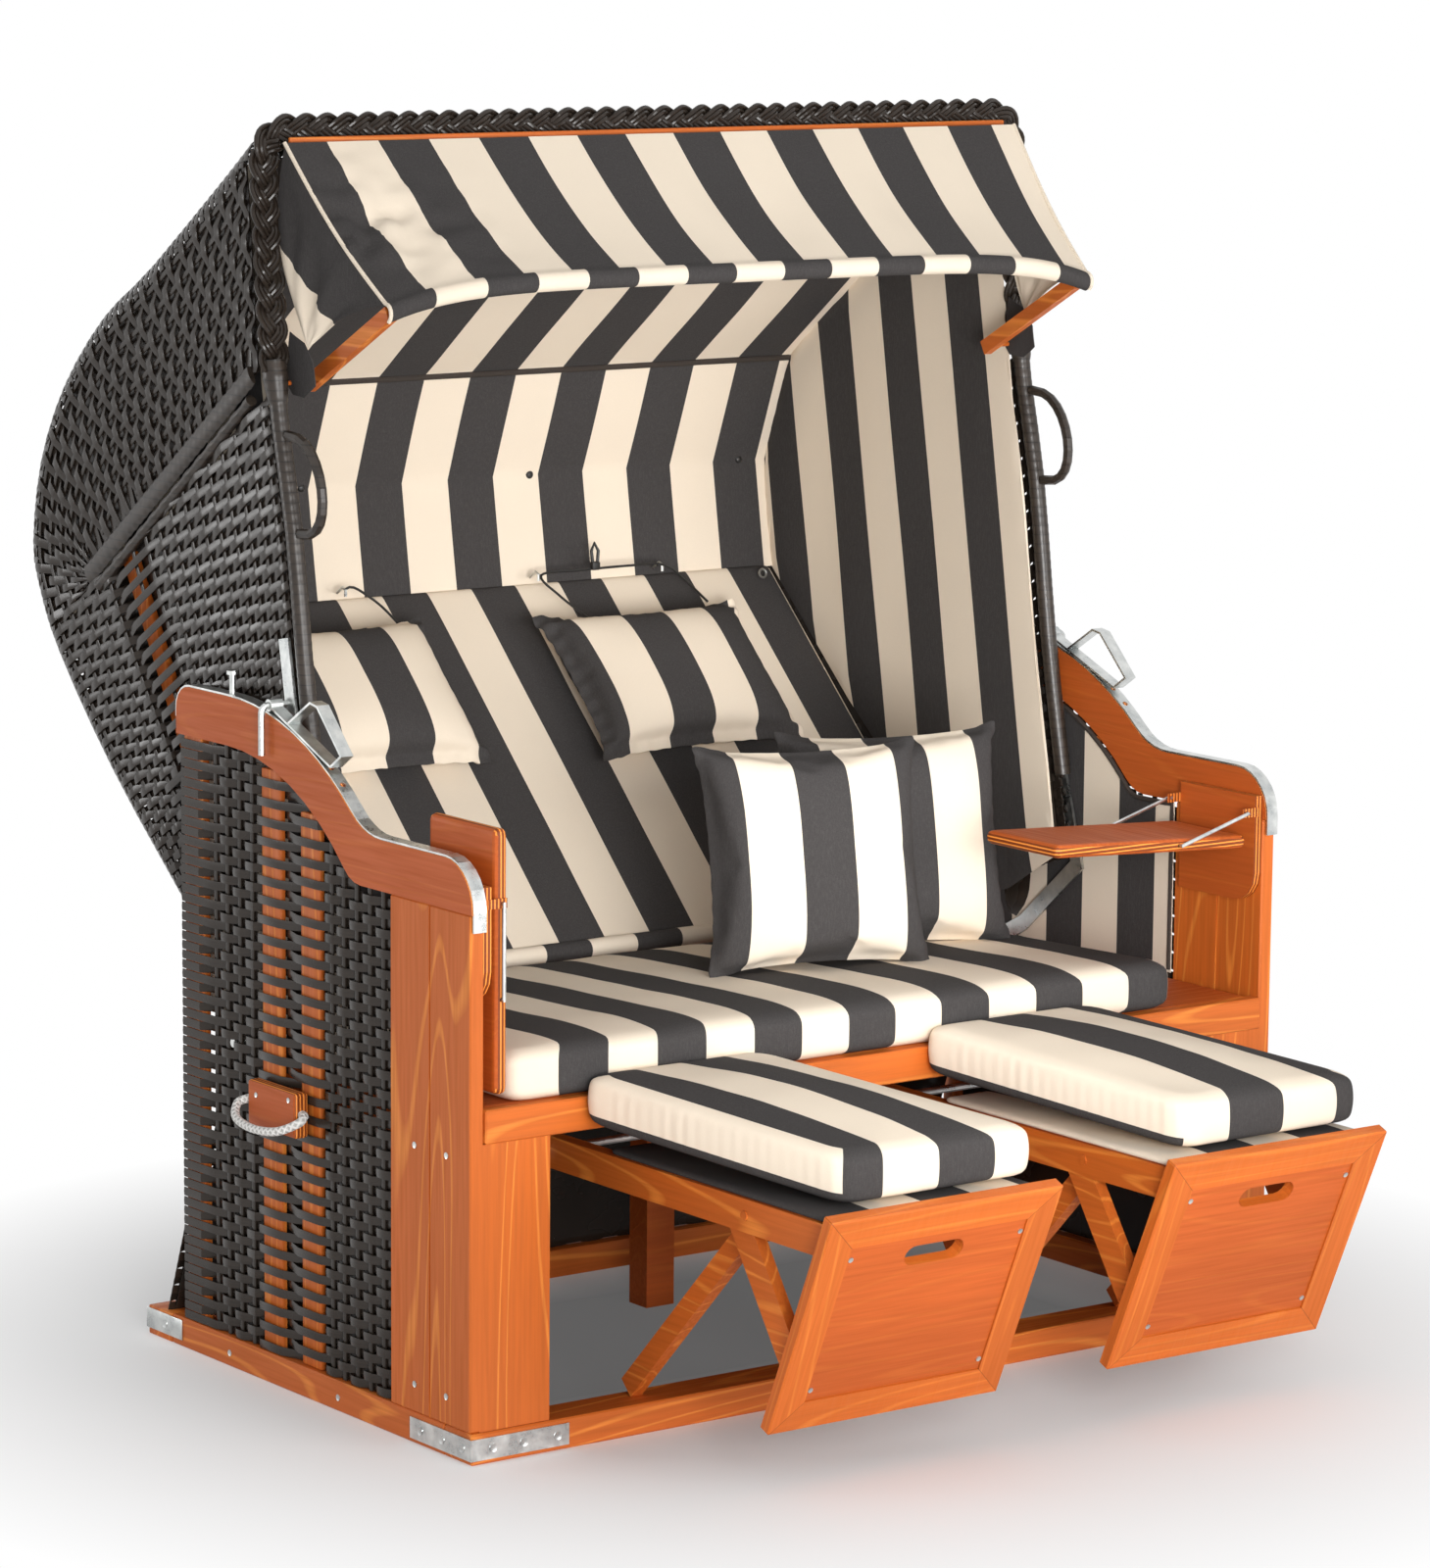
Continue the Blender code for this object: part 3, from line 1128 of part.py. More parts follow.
def make_awning(hood):
    pivot_y = front_y(AWNING_PIVOT_Z)
    body = empty("awning_frame_pivot", (0, pivot_y, AWNING_PIVOT_Z), hood)
    pivot = Vector((pivot_y, AWNING_PIVOT_Z))
    along = (Vector((AWNING_BAR_Y, AWNING_BAR_Z)) - pivot).normalized()
    outer = AWNING_ARM_INNER_X + AWNING_ARM_THICKNESS
    reach = AWNING_ARM_INNER_X + AWNING_ARM_THICKNESS / 2
    bar_line = awning_bar_points(reach)
    bar = rod(bar_line, AWNING_BAR_RADIUS, 1)
    arm_end = Vector(bar_line[0][1:]) - along * AWNING_BAR_RADIUS * 0.8
    arms = []
    for _, side in SIDES:
        line = [tuple(pivot - along * AWNING_ARM_WIDTH / 2), tuple(arm_end)]
        arms.append(plate(band(line, AWNING_ARM_WIDTH), x_pair(side, AWNING_ARM_INNER_X, outer)))
        arms.append(cylinder_x(AWNING_PIN_RADIUS, x_pair(side, outer - AWNING_ARM_THICKNESS / 2,
                                                         TUBE_HALF - TUBE_RADIUS - GAP),
                               pivot_y, AWNING_PIVOT_Z, 8))
    finish(join(bar, *arms), "awning_frame", PINE, body)
    make_awning_cloth(body)


def make_awning_cloth(body):
    """The striped canvas from the hood's front edge down to its hem round the bar, with side gussets."""
    start = Vector((front_y(TUBE_TOP_Z) - BRAID_RADIUS - 2 * CLOTH_THICKNESS,
                    TUBE_TOP_Z - BRAID_RADIUS * CLOTH_SEAM_SHARE))
    bm = bmesh.new()
    columns = []
    for share in AWNING_COLUMN_SHARES:
        bar_z = awning_bar_z(share)
        end = Vector((AWNING_BAR_Y, bar_z + CLOTH_HEM_RADIUS))
        line = []
        for step in range(7):
            along = step / 6
            point = start.lerp(end, along)
            half = CLOTH_HALF - CLOTH_TAPER * along
            line.append((half * share, point.x, point.y - CLOTH_SAG * math.sin(math.pi * along)))
        half = CLOTH_HALF - CLOTH_TAPER
        line += [(half * share, y, z) for y, z in arc(AWNING_BAR_Y, bar_z, CLOTH_HEM_RADIUS, 90, 265, 6)[1:]]
        columns.append([bm.verts.new(place) for place in line])
    for left, right in zip(columns, columns[1:]):
        for a, b, c, d in zip(left, left[1:], right[1:], right):
            bm.faces.new((a, b, c, d))
    for edge in (columns[0], columns[-1]):
        side = 1 if edge is columns[-1] else -1
        low = bm.verts.new((side * (CLOTH_HALF - CLOTH_TAPER / 2), GUSSET_LOW_Y, GUSSET_LOW_Z))
        corner = edge[:7] + [low]
        bm.faces.new(corner if edge is columns[0] else corner[::-1])
    bmesh.ops.recalc_face_normals(bm, faces=bm.faces)
    cloth = from_bmesh(bm)
    wall = cloth.modifiers.new("wall", "SOLIDIFY")
    wall.thickness = CLOTH_THICKNESS
    wall.offset = 1
    finish(cloth, "awning_cloth", CREAM, body)


# Folding tables


def table_angles(opened):
    """Turn of the stays and of the table top from hanging down, in degrees."""
    return (STAY_OPEN, 90.0 - TABLE_TILT) if opened else (0.0, 0.0)


def make_tables():
    """A wall plate with two ears, one bent wire as the stays, and a top: folded left, open right."""
    plate_face = INNER_HALF - GAP - TABLE_PLATE_THICKNESS
    pivot_x = plate_face - STAY_STANDOFF
    middle_y = TABLE_FRONT_Y + TABLE_DEPTH / 2
    ear_inner = TABLE_DEPTH / 2 + GAP
    wire_y = ear_inner + EAR_THICKNESS + GAP + STAY_RADIUS
    for label, side in SIDES:
        wall = plate_outline(side, plate_face)
        for end in (-1, 1):
            ear = span_box(x_pair(side, pivot_x - EAR_WIDTH / 2, plate_face + EAR_WIDTH / 2),
                           (middle_y + end * ear_inner, middle_y + end * (ear_inner + EAR_THICKNESS)),
                           (STAY_PIVOT_Z - EAR_WIDTH / 2, STAY_PIVOT_Z + EAR_WIDTH / 2), False)
            join(wall, ear)
        cut(wall, cylinder_y(STAY_RADIUS + GAP, side * pivot_x, STAY_PIVOT_Z,
                             (middle_y - wire_y, middle_y + wire_y)))
        finish(wall, "table_plate_" + label, PLY, CHAIR)

        stay_turn, top_turn = (math.radians(angle) for angle in table_angles(side > 0))
        stay_body = empty("stay_frame_" + label, (side * pivot_x, middle_y, STAY_PIVOT_Z), CHAIR)
        hook_x = side * (pivot_x - STAY_LENGTH * math.sin(stay_turn))
        hook_z = STAY_PIVOT_Z - STAY_LENGTH * math.cos(stay_turn)
        route = [(side * pivot_x, middle_y - ear_inner, STAY_PIVOT_Z),
                 (side * pivot_x, middle_y - wire_y, STAY_PIVOT_Z), (hook_x, middle_y - wire_y, hook_z),
                 (hook_x, middle_y + wire_y, hook_z), (side * pivot_x, middle_y + wire_y, STAY_PIVOT_Z),
                 (side * pivot_x, middle_y + ear_inner, STAY_PIVOT_Z)]
        finish(rod(route, STAY_RADIUS), "table_stay_" + label, STEEL, stay_body)

        top_body = empty("table_frame_" + label, (hook_x, middle_y, hook_z), stay_body)
        away = TABLE_LENGTH / 2 - STAY_HOOK
        top = table_top()
        top.rotation_euler = (0, -side * top_turn, 0)
        top.location = (hook_x - side * away * math.sin(top_turn), middle_y,
                        hook_z + away * math.cos(top_turn))
        cut(top, cylinder_y(STAY_RADIUS + GAP, hook_x, hook_z, (middle_y - wire_y, middle_y + wire_y)))
        finish(top, "table_top_" + label, PLY, top_body)


def plate_outline(side, face):
    """The wall plate of a table, with its lower corner rounded."""
    low = TABLE_PLATE_TOP_Z - TABLE_PLATE_HEIGHT
    front = TABLE_FRONT_Y - EAR_THICKNESS / 2
    rear = TABLE_FRONT_Y + TABLE_DEPTH + EAR_THICKNESS / 2
    outline = [(front, TABLE_PLATE_TOP_Z), (front, low + TABLE_PLATE_CORNER)]
    outline += arc(front + TABLE_PLATE_CORNER, low + TABLE_PLATE_CORNER, TABLE_PLATE_CORNER,
                   180, 270, 4)[1:]
    outline += [(rear, low), (rear, TABLE_PLATE_TOP_Z)]
    return plate(outline, x_pair(side, face, face + TABLE_PLATE_THICKNESS))


def table_top():
    """A board of rounded outline, standing on its wall end."""
    board = box((TABLE_THICKNESS, TABLE_DEPTH, TABLE_LENGTH), (0, 0, 0), round_edges=False)
    soften(board, TABLE_THICKNESS * 0.45, 3)
    return board


# Footrests


def foot_axes():
    """Unit vectors in Y and Z down the panel and out of its back, at rest."""
    turn = math.radians(PANEL_ANGLE)
    return Vector((math.sin(turn), -math.cos(turn))), Vector((math.cos(turn), math.sin(turn)))


def rail_middle_z():
    return FOOT_RAIL_TOP_Z - FOOT_RAIL_HEIGHT / 2


def make_footrests():
    for (label, _), centre_x in zip(SIDES, FOOTREST_CENTRES):
        place = (centre_x, SLIDER_Y, rail_middle_z())
        slider = empty("footrest_slider_frame_" + label, place, CHAIR)
        make_foot_slider(label, centre_x, slider)
        body = empty("footrest_frame_" + label, place, slider)
        make_foot_panel(label, centre_x, body)
        make_foot_carriage(label, centre_x, body)
        make_foot_legs(label, centre_x, body)
        make_foot_cushions(label, centre_x, body)


def make_foot_slider(label, centre_x, body):
    """The rear axle, whose rollers run down the slope under the seat when the footrest goes in."""
    near = PANEL_WIDTH / 2 - FOOT_RAIL_INSET + 3 * GAP
    z = rail_middle_z()
    axle = cylinder_x(SLIDER_AXLE_RADIUS, (centre_x - near - ROLLER_WIDTH / 2,
                                           centre_x + near + ROLLER_WIDTH / 2), SLIDER_Y, z)
    rollers = [cylinder_x(ROLLER_RADIUS, (centre_x + end * near, centre_x + end * (near + ROLLER_WIDTH)),
                          SLIDER_Y, z) for end in (-1, 1)]
    finish(join(axle, *rollers), "footrest_slider_" + label, STEEL, body)


def make_foot_panel(label, centre_x, body):
    down, back = foot_axes()
    turn = math.radians(PANEL_ANGLE)
    top = Vector((PANEL_TOP_Y, PANEL_TOP_Z))
    middle = top + down * PANEL_HEIGHT / 2 + back * PANEL_THICKNESS / 2
    panel = box((PANEL_WIDTH, PANEL_THICKNESS, PANEL_HEIGHT), (centre_x, *middle), (turn, 0, 0))
    face = top + down * PANEL_HEIGHT / 2
    recess = box((PANEL_WIDTH - 2 * PANEL_FRAME, 2 * PANEL_RECESS, PANEL_HEIGHT - 2 * PANEL_FRAME),
                 (centre_x, *face), (turn, 0, 0), False)
    slot_place = top + down * SLOT_FROM_TOP + back * PANEL_THICKNESS / 2
    slot = box((SLOT_LENGTH - SLOT_HEIGHT, PANEL_THICKNESS * 3, SLOT_HEIGHT),
               (centre_x, *slot_place), (turn, 0, 0), False)
    ends = []
    for end in (-1, 1):
        bm = bmesh.new()
        bmesh.ops.create_cone(bm, cap_ends=True, segments=14, radius1=SLOT_HEIGHT / 2,
                              radius2=SLOT_HEIGHT / 2, depth=PANEL_THICKNESS * 3)
        ends.append(from_bmesh(bm, (centre_x + end * (SLOT_LENGTH - SLOT_HEIGHT) / 2, *slot_place),
                               (math.pi / 2 + turn, 0, 0)))
    finish(cut(panel, recess, slot, *ends), "footrest_panel_" + label, PINE, body)


def make_foot_carriage(label, centre_x, body):
    """Two rails with cross rails, and a brace from each rail to the panel's back."""
    down, back = foot_axes()
    top = Vector((PANEL_TOP_Y, PANEL_TOP_Z))
    low, high = FOOT_RAIL_TOP_Z - FOOT_RAIL_HEIGHT, FOOT_RAIL_TOP_Z
    behind = PANEL_THICKNESS + GAP

    def on_back(z, extra=0.0):
        drop = (top.y + back.y * (behind + extra) - z) / -down.y
        return top.x + back.x * (behind + extra) + down.x * drop, z

    outline = [on_back(high), on_back(low), (FOOT_RAIL_REAR_Y, low), (FOOT_RAIL_REAR_Y, high)]
    brace_foot = top + down * BRACE_DOWN_PANEL + back * behind
    brace_top = (BRACE_TOP_Y, low + FOOT_RAIL_HEIGHT / 2)
    slope = (Vector(brace_top) - brace_foot).normalized()
    across = BRACE_WIDTH / 2 / abs(slope.x * down.y - slope.y * down.x)
    side_step = Vector((-slope.y, slope.x)) * BRACE_WIDTH / 2
    brace_line = [tuple(brace_foot - down * across), tuple(brace_foot + down * across),
                  tuple(Vector(brace_top) - side_step), tuple(Vector(brace_top) + side_step)]
    pieces = []
    for end in (-1, 1):
        rail_out = PANEL_WIDTH / 2 - FOOT_RAIL_INSET
        inner = centre_x + end * (rail_out - FOOT_RAIL_THICKNESS)
        outer = centre_x + end * rail_out
        pieces.append(plate(outline, (inner, outer)))
        pieces.append(plate(brace_line, (inner + end * EDGE_ROUND, outer - end * EDGE_ROUND)))
    inner_span = PANEL_WIDTH / 2 - FOOT_RAIL_INSET - FOOT_RAIL_THICKNESS / 2
    first_y = on_back(high - FOOT_RAIL_HEIGHT / 4)[0] + FOOT_CROSS
    for y in (first_y, first_y + FOOT_CROSS_SPACING):
        pieces.append(span_box((centre_x - inner_span, centre_x + inner_span), (y, y + FOOT_CROSS),
                               (low + FOOT_RAIL_HEIGHT / 2, high - EDGE_ROUND), False))
    bores = [cylinder_x(radius + GAP, (centre_x - PANEL_WIDTH, centre_x + PANEL_WIDTH), y, rail_middle_z())
             for radius, y in ((SLIDER_AXLE_RADIUS, SLIDER_Y), (LEG_ROD_RADIUS, LEG_PIVOT_Y))]
    finish(cut(join(pieces[0], *pieces[1:]), *bores), "footrest_carriage_" + label, PINE, body)


def make_foot_legs(label, centre_x, body):
    """The pair of legs that swing down from the rails and stand on the front sill."""
    pivot_z = rail_middle_z()
    legs_body = empty("footrest_legs_frame_" + label, (centre_x, LEG_PIVOT_Y, pivot_z), body)
    turn = math.radians(LEG_ANGLE)
    down = Vector((math.cos(turn), -math.sin(turn)))
    pivot = Vector((LEG_PIVOT_Y, pivot_z))
    side_step = Vector((-down.y, down.x)) * LEG_WIDTH / 2
    reach = (pivot.y - side_step.y - SILL_HEIGHT - GAP) / -down.y
    feet = [tuple(pivot + edge + down * reach) for edge in (side_step, -side_step)]
    head = arc(pivot.x, pivot.y, LEG_WIDTH / 2, 90 - LEG_ANGLE, 270 - LEG_ANGLE, 6)
    outline = head + [feet[1], feet[0]]
    rail_inner = PANEL_WIDTH / 2 - FOOT_RAIL_INSET - FOOT_RAIL_THICKNESS - GAP
    legs = []
    for end in (-1, 1):
        legs.append(plate(outline, (centre_x + end * (rail_inner - LEG_THICKNESS),
                                    centre_x + end * rail_inner)))
    rod_reach = PANEL_WIDTH / 2 - FOOT_RAIL_INSET + EDGE_ROUND
    spindle = cylinder_x(LEG_ROD_RADIUS, (centre_x - rod_reach, centre_x + rod_reach),
                         pivot.x, pivot.y)
    finish(join(legs[0], spindle, legs[1]), "footrest_legs_" + label, PINE, legs_body)


def make_foot_cushions(label, centre_x, body):
    down, back = foot_axes()
    face = PANEL_TOP_Y + back.x * PANEL_THICKNESS + down.x * (PANEL_TOP_Z - FOOT_RAIL_TOP_Z) / -down.y
    half = PANEL_WIDTH / 2 - FOOT_RAIL_INSET
    pad = span_box((centre_x - half, centre_x + half), (face + 3 * GAP + PAD_THICKNESS / 2, PAD_REAR_Y),
                   (FOOT_RAIL_TOP_Z + GAP, FOOT_RAIL_TOP_Z + GAP + PAD_THICKNESS), False)
    soften(pad, PAD_THICKNESS / 3, 2)
    finish(pad, "footrest_pad_" + label, GREY, body)
    pad_top = FOOT_RAIL_TOP_Z + 2 * GAP + PAD_THICKNESS
    cushion = box_cushion((2, 2, FOOT_CUSHION_THICKNESS))
    for vert in cushion.data.vertices:
        u, v = (vert.co.x + 1) / 2, (vert.co.y + 1) / 2
        front_x = FOOT_CUSHION_FRONT_X[0] + (FOOT_CUSHION_FRONT_X[1] - FOOT_CUSHION_FRONT_X[0]) * u
        rear_x = FOOT_CUSHION_REAR_X[0] + (FOOT_CUSHION_REAR_X[1] - FOOT_CUSHION_REAR_X[0]) * u
        vert.co = (front_x + (rear_x - front_x) * v,
                   FOOT_CUSHION_FRONT_Y + (FOOT_CUSHION_REAR_Y - FOOT_CUSHION_FRONT_Y) * v,
                   vert.co.z + FOOT_CUSHION_LIFT * v)
    cushion.location = (centre_x, 0, pad_top)
    finish(cushion, "footrest_cushion_" + label, CREAM, body, 60)


def main():
    make_sills()
    make_brackets()
    make_corner_posts()
    make_side_panels()
    make_armrests()
    make_latch_rails()
    make_seat()
    make_rear_wall()
    make_carry_handles()
    make_seat_cushion()
    make_throw_cushions()
    hood = empty("hood_pivot", (0, PIVOT_Y, PIVOT_Z), CHAIR)
    make_hood_frame(hood)
    make_hood_back(hood)
    make_hood_sides(hood)
    make_hood_lining(hood)
    make_pivot_bars(hood)
    make_grab_handles(hood)
    make_backrest(hood)
    make_head_pillows(hood)
    make_latches(hood)
    make_awning(hood)
    make_tables()
    make_footrests()


main()
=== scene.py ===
"""Hooded beach chair in striped canvas, plastic wicker and glazed pine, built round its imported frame."""

import math

import bmesh
import bpy
from mathutils import Matrix, Vector, noise


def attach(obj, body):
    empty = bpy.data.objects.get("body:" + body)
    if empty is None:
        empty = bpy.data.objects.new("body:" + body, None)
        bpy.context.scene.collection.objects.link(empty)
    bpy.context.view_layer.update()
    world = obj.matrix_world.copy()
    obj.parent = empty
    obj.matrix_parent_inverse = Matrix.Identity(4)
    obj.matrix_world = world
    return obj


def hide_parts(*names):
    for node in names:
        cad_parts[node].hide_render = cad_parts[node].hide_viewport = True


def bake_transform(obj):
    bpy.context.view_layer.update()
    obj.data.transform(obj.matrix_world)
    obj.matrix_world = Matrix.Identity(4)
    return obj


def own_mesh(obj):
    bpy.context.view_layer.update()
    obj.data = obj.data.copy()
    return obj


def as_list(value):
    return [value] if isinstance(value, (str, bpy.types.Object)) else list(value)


bl_info = {
    "name": "Hooded beach chair",
    "version": (1, 0, 0),
    "blender": (4, 5, 0),
    "location": "View3D > Sidebar > Beach chair",
    "description": "Dresses the packed beach chair in canvas, wicker, wood and steel",
    "category": "Object",
}

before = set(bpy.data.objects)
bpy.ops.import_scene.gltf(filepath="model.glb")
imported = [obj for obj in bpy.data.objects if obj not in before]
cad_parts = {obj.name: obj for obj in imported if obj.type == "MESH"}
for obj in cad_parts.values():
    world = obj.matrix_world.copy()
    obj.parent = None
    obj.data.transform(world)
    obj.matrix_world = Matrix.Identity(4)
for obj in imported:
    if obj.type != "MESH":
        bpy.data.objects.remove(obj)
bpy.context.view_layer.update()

# Places of the frame, in metres, with Y counted from the front face of the base
BASE_SHIFT = Vector((0.0, -0.03, 0.0))
BASE_HALF = 0.6385
INNER_HALF = 0.6185
BASE_DEPTH = 0.677
REAR_Y = 0.765
SILL_HEIGHT = 0.039
REAR_SILL_DEPTH = 0.060
POST_DEPTH = 0.180
PANEL_OUTER = 0.6365
PANEL_INNER = 0.6190
PIVOT_Y, PIVOT_Z = 0.560, 0.425
ARMREST_RADIUS, ARMREST_BAND, ARMREST_FLAT_Z = 0.448, 0.063, 0.740
SEAT_TOP_Z = 0.4375
TOTAL_HEIGHT = 1.600
HOOD_HALF = 0.608
SHELL_THICKNESS = 0.008
SHELL_CORNER = 0.035
TUBE_HALF = 0.5975
TUBE_FOOT_Z = 0.686
TUBE_CORNER = 0.034
BRAID_RADIUS = 0.0185
BRAID_FOOT_Z = 1.288
TUBE_TOP_Z = TOTAL_HEIGHT - BRAID_RADIUS
FRONT_FOOT_Y, FRONT_LEAN = 0.393, 0.138
FRONT_SHARES = ((0.0, 0.0), (0.210, 0.268), (0.450, 0.500), (0.670, 0.812), (1.0, 1.0))
SHELL_START_Y, SHELL_START_Z, SHELL_DEPTH, SHELL_END_Z = 0.5585, 1.580, 0.5705, 0.452
SHELL_SHARES = (
    (0.0, 1.0), (0.439, 0.846), (0.663, 0.777), (0.847, 0.690), (0.958, 0.597),
    (1.0, 0.497), (0.970, 0.437), (0.879, 0.363), (0.639, 0.238), (0.325, 0.106), (0.073, 0.0),
)
SHELL_SWELL = 0.009
LINING_HALF = 0.5847
LINING_FRONT, LINING_SEAM = (0.578, 1.545), (1.011, 1.2175)
LINING_KINK, LINING_FOOT = (1.071, 1.062), (1.047, 0.908)
SIDE_FOOT_Y, SIDE_FOOT_Z = 0.385, 0.566
SIDE_HEEL_Y, SIDE_HEEL_Z, SIDE_HEEL_RISE = 0.488, 0.476, 0.021
BACK_TOP, BACK_FOOT = Vector((1.040, 0.915)), Vector((0.588, 0.478))
BACK_HALF = 0.5762
BACK_THICKNESS = 0.022
AWNING_BAR_Y, AWNING_BAR_Z, AWNING_BOW = 0.315, 1.368, 0.032
CLOTH_HALF, CLOTH_TAPER, CLOTH_SAG, HEM_RADIUS = 0.5805, 0.026, 0.012, 0.0113
GUSSET_LOW = Vector((0.464, 1.316))
FOOT_CENTRES = (-0.2405, 0.285)
FOOT_CUSHION_TOP_Z = 0.3576
FOOT_PANEL_TOP = Vector((-0.420, 0.355))
FOOT_PANEL_HALF, FOOT_PANEL_LENGTH, FOOT_STILE = 0.175, 0.308, 0.0425
FOOT_LEAN = 23.3
STRAP_THICKNESS = 0.0016
CLOTH_STRIPE = 0.0755
BACK_STRIPE, BACK_STRIPE_EDGE = 0.0742, 0.498
SIDES = (("left", -1), ("right", 1))


def tint(name, description, default):
    """A colour that the sidebar shows."""
    return bpy.props.FloatVectorProperty(name=name, description=description, subtype="COLOR", size=3,
                                         min=0, max=1, default=default)


class CanvasLooks(bpy.types.PropertyGroup):
    """Colours of the striped canvas."""
    cream: tint("Cream", "Pale stripes and piping", (0.80, 0.692, 0.560))
    anthracite: tint("Anthracite", "Dark stripes", (0.052, 0.048, 0.047))
    wrinkle: bpy.props.FloatProperty(name="Wrinkles", description="Depth of the folds in loose cloth",
                                     default=1.0, min=0, max=2, subtype="FACTOR")


class WoodLooks(bpy.types.PropertyGroup):
    """Colours of the glazed wood."""
    pine: tint("Pine", "Ground colour of the glazed pine", (0.56, 0.125, 0.016))
    grain: tint("Grain", "Light lines of the pine's grain", (0.78, 0.25, 0.04))
    plywood: tint("Plywood", "Faces of the glazed plywood", (0.50, 0.098, 0.014))


class WickerLooks(bpy.types.PropertyGroup):
    """Size and colour of the plastic straps and rods."""
    colour: tint("Wicker", "Colour of the plastic straps", (0.028, 0.0205, 0.0155))
    strap: bpy.props.FloatProperty(name="Strap width", description="Width of a woven strap", unit="LENGTH",
                                   default=0.0112, min=0.006, max=0.02)
    rod: bpy.props.FloatProperty(name="Plait rod", description="Radius of a round rod in the plait",
                                 unit="LENGTH", default=0.0031, min=0.001, max=0.004)


class StageLooks(bpy.types.PropertyGroup):
    """Light of the stage."""
    lamp: bpy.props.FloatProperty(name="Key light", description="Power of the key light", unit="POWER",
                                  default=200.0, min=0)
    world: bpy.props.FloatProperty(name="Room light", description="Strength of the light from all round",
                                   default=0.45, min=0, max=2)


def looks(group):
    return getattr(bpy.context.scene, "beach_chair_" + group)


# Shader nodes


class Signal:
    """A node's output that can be used in plain arithmetic."""

    def __init__(self, finish, socket):
        self.finish = finish
        self.socket = socket

    def __add__(self, other):
        return self.finish.maths("ADD", self, other)

    def __sub__(self, other):
        return self.finish.maths("SUBTRACT", self, other)

    def __rsub__(self, other):
        return self.finish.maths("SUBTRACT", other, self)

    def __mul__(self, other):
        return self.finish.maths("MULTIPLY", self, other)

    def __mod__(self, other):
        return self.finish.maths("FLOORED_MODULO", self, other)

    def __lt__(self, other):
        return self.finish.maths("LESS_THAN", self, other)

    def __gt__(self, other):
        return self.finish.maths("GREATER_THAN", self, other)

    __radd__ = __add__
    __rmul__ = __mul__


class Nodes:
    """A node tree, and the one way its nodes are made."""

    def __init__(self, tree):
        self.tree = tree

    def node(self, kind, settings=None, sockets=None, output=0):
        made = self.tree.nodes.new(kind)
        for name, value in (settings or {}).items():
            setattr(made, name, value)
        for name, value in (sockets or {}).items():
            self.feed(made.inputs[name], value)
        return Signal(self, made.outputs[output])

    def feed(self, socket, value):
        if isinstance(value, Signal):
            self.tree.links.new(value.socket, socket)
        elif socket.type == "RGBA" and len(value) == 3:
            socket.default_value = (*value, 1.0)
        else:
            socket.default_value = value

    def maths(self, operation, *values):
        return self.node("ShaderNodeMath", {"operation": operation}, dict(enumerate(values)))

    def seen(self):
        """1 for rays that show the backdrop: the camera's, and those of gloss and glass."""
        rays = [self.node("ShaderNodeLightPath", output=name)
                for name in ("Is Camera Ray", "Is Glossy Ray", "Is Transmission Ray")]
        return self.maths("MINIMUM", rays[0] + rays[1] + rays[2], 1.0)

    def mix_shaders(self, factor, first, second, end):
        """Two shaders mixed into the tree's output."""
        both = self.node("ShaderNodeMixShader", None, {0: factor, 1: first, 2: second})
        self.feed(end.inputs[0], both)


class Finish(Nodes):
    """A material round one Principled shader, and the nodes that feed it."""

    def __init__(self, name, colour, roughness, **fixed):
        self.material = bpy.data.materials.new(name)
        self.material.use_nodes = True
        super().__init__(self.material.node_tree)
        self.shader = self.tree.nodes["Principled BSDF"]
        self.shader.inputs["Base Color"].default_value = (*colour, 1.0)
        self.shader.inputs["Roughness"].default_value = roughness
        for socket, value in fixed.items():
            self.shader.inputs[socket.replace("_", " ")].default_value = value

    def place(self):
        return self.node("ShaderNodeTexCoord", output="Object")

    def chart(self):
        return self.node("ShaderNodeTexCoord", output="UV")

    def facing(self):
        """The surface's own direction, as three values."""
        return self.split(self.node("ShaderNodeTexCoord", output="Normal"))

    def split(self, vector):
        made = self.tree.nodes.new("ShaderNodeSeparateXYZ")
        self.feed(made.inputs[0], vector)
        return [Signal(self, output) for output in made.outputs]

    def scaled(self, vector, scale):
        return self.node("ShaderNodeMapping", None, {"Vector": vector, "Scale": scale})

    def cloud(self, vector, scale, detail=2.0, roughness=0.5):
        return self.node("ShaderNodeTexNoise", None, {
            "Vector": vector, "Scale": scale, "Detail": detail, "Roughness": roughness})

    def spread(self, value, low, high, new_low=0.0, new_high=1.0):
        return self.node("ShaderNodeMapRange", None, {
            "Value": value, "From Min": low, "From Max": high, "To Min": new_low, "To Max": new_high})

    def blend(self, factor, first, second):
        made = self.tree.nodes.new("ShaderNodeMix")
        made.data_type = "RGBA"
        self.feed(made.inputs[0], factor)
        self.feed(made.inputs[6], first)
        self.feed(made.inputs[7], second)
        return Signal(self, made.outputs[2])

    def colour(self, value):
        self.feed(self.shader.inputs["Base Color"], value)

    def roughness(self, value):
        self.feed(self.shader.inputs["Roughness"], value)

    def bump(self, height, distance, strength=1.0):
        relief = self.node("ShaderNodeBump", None,
                           {"Height": height, "Distance": distance, "Strength": strength})
        self.feed(self.shader.inputs["Normal"], relief)


FINISHES = {}
WHITE = (1.0, 1.0, 1.0)


def shade(colour, factor):
    return tuple(min(channel * factor, 1.0) for channel in colour)


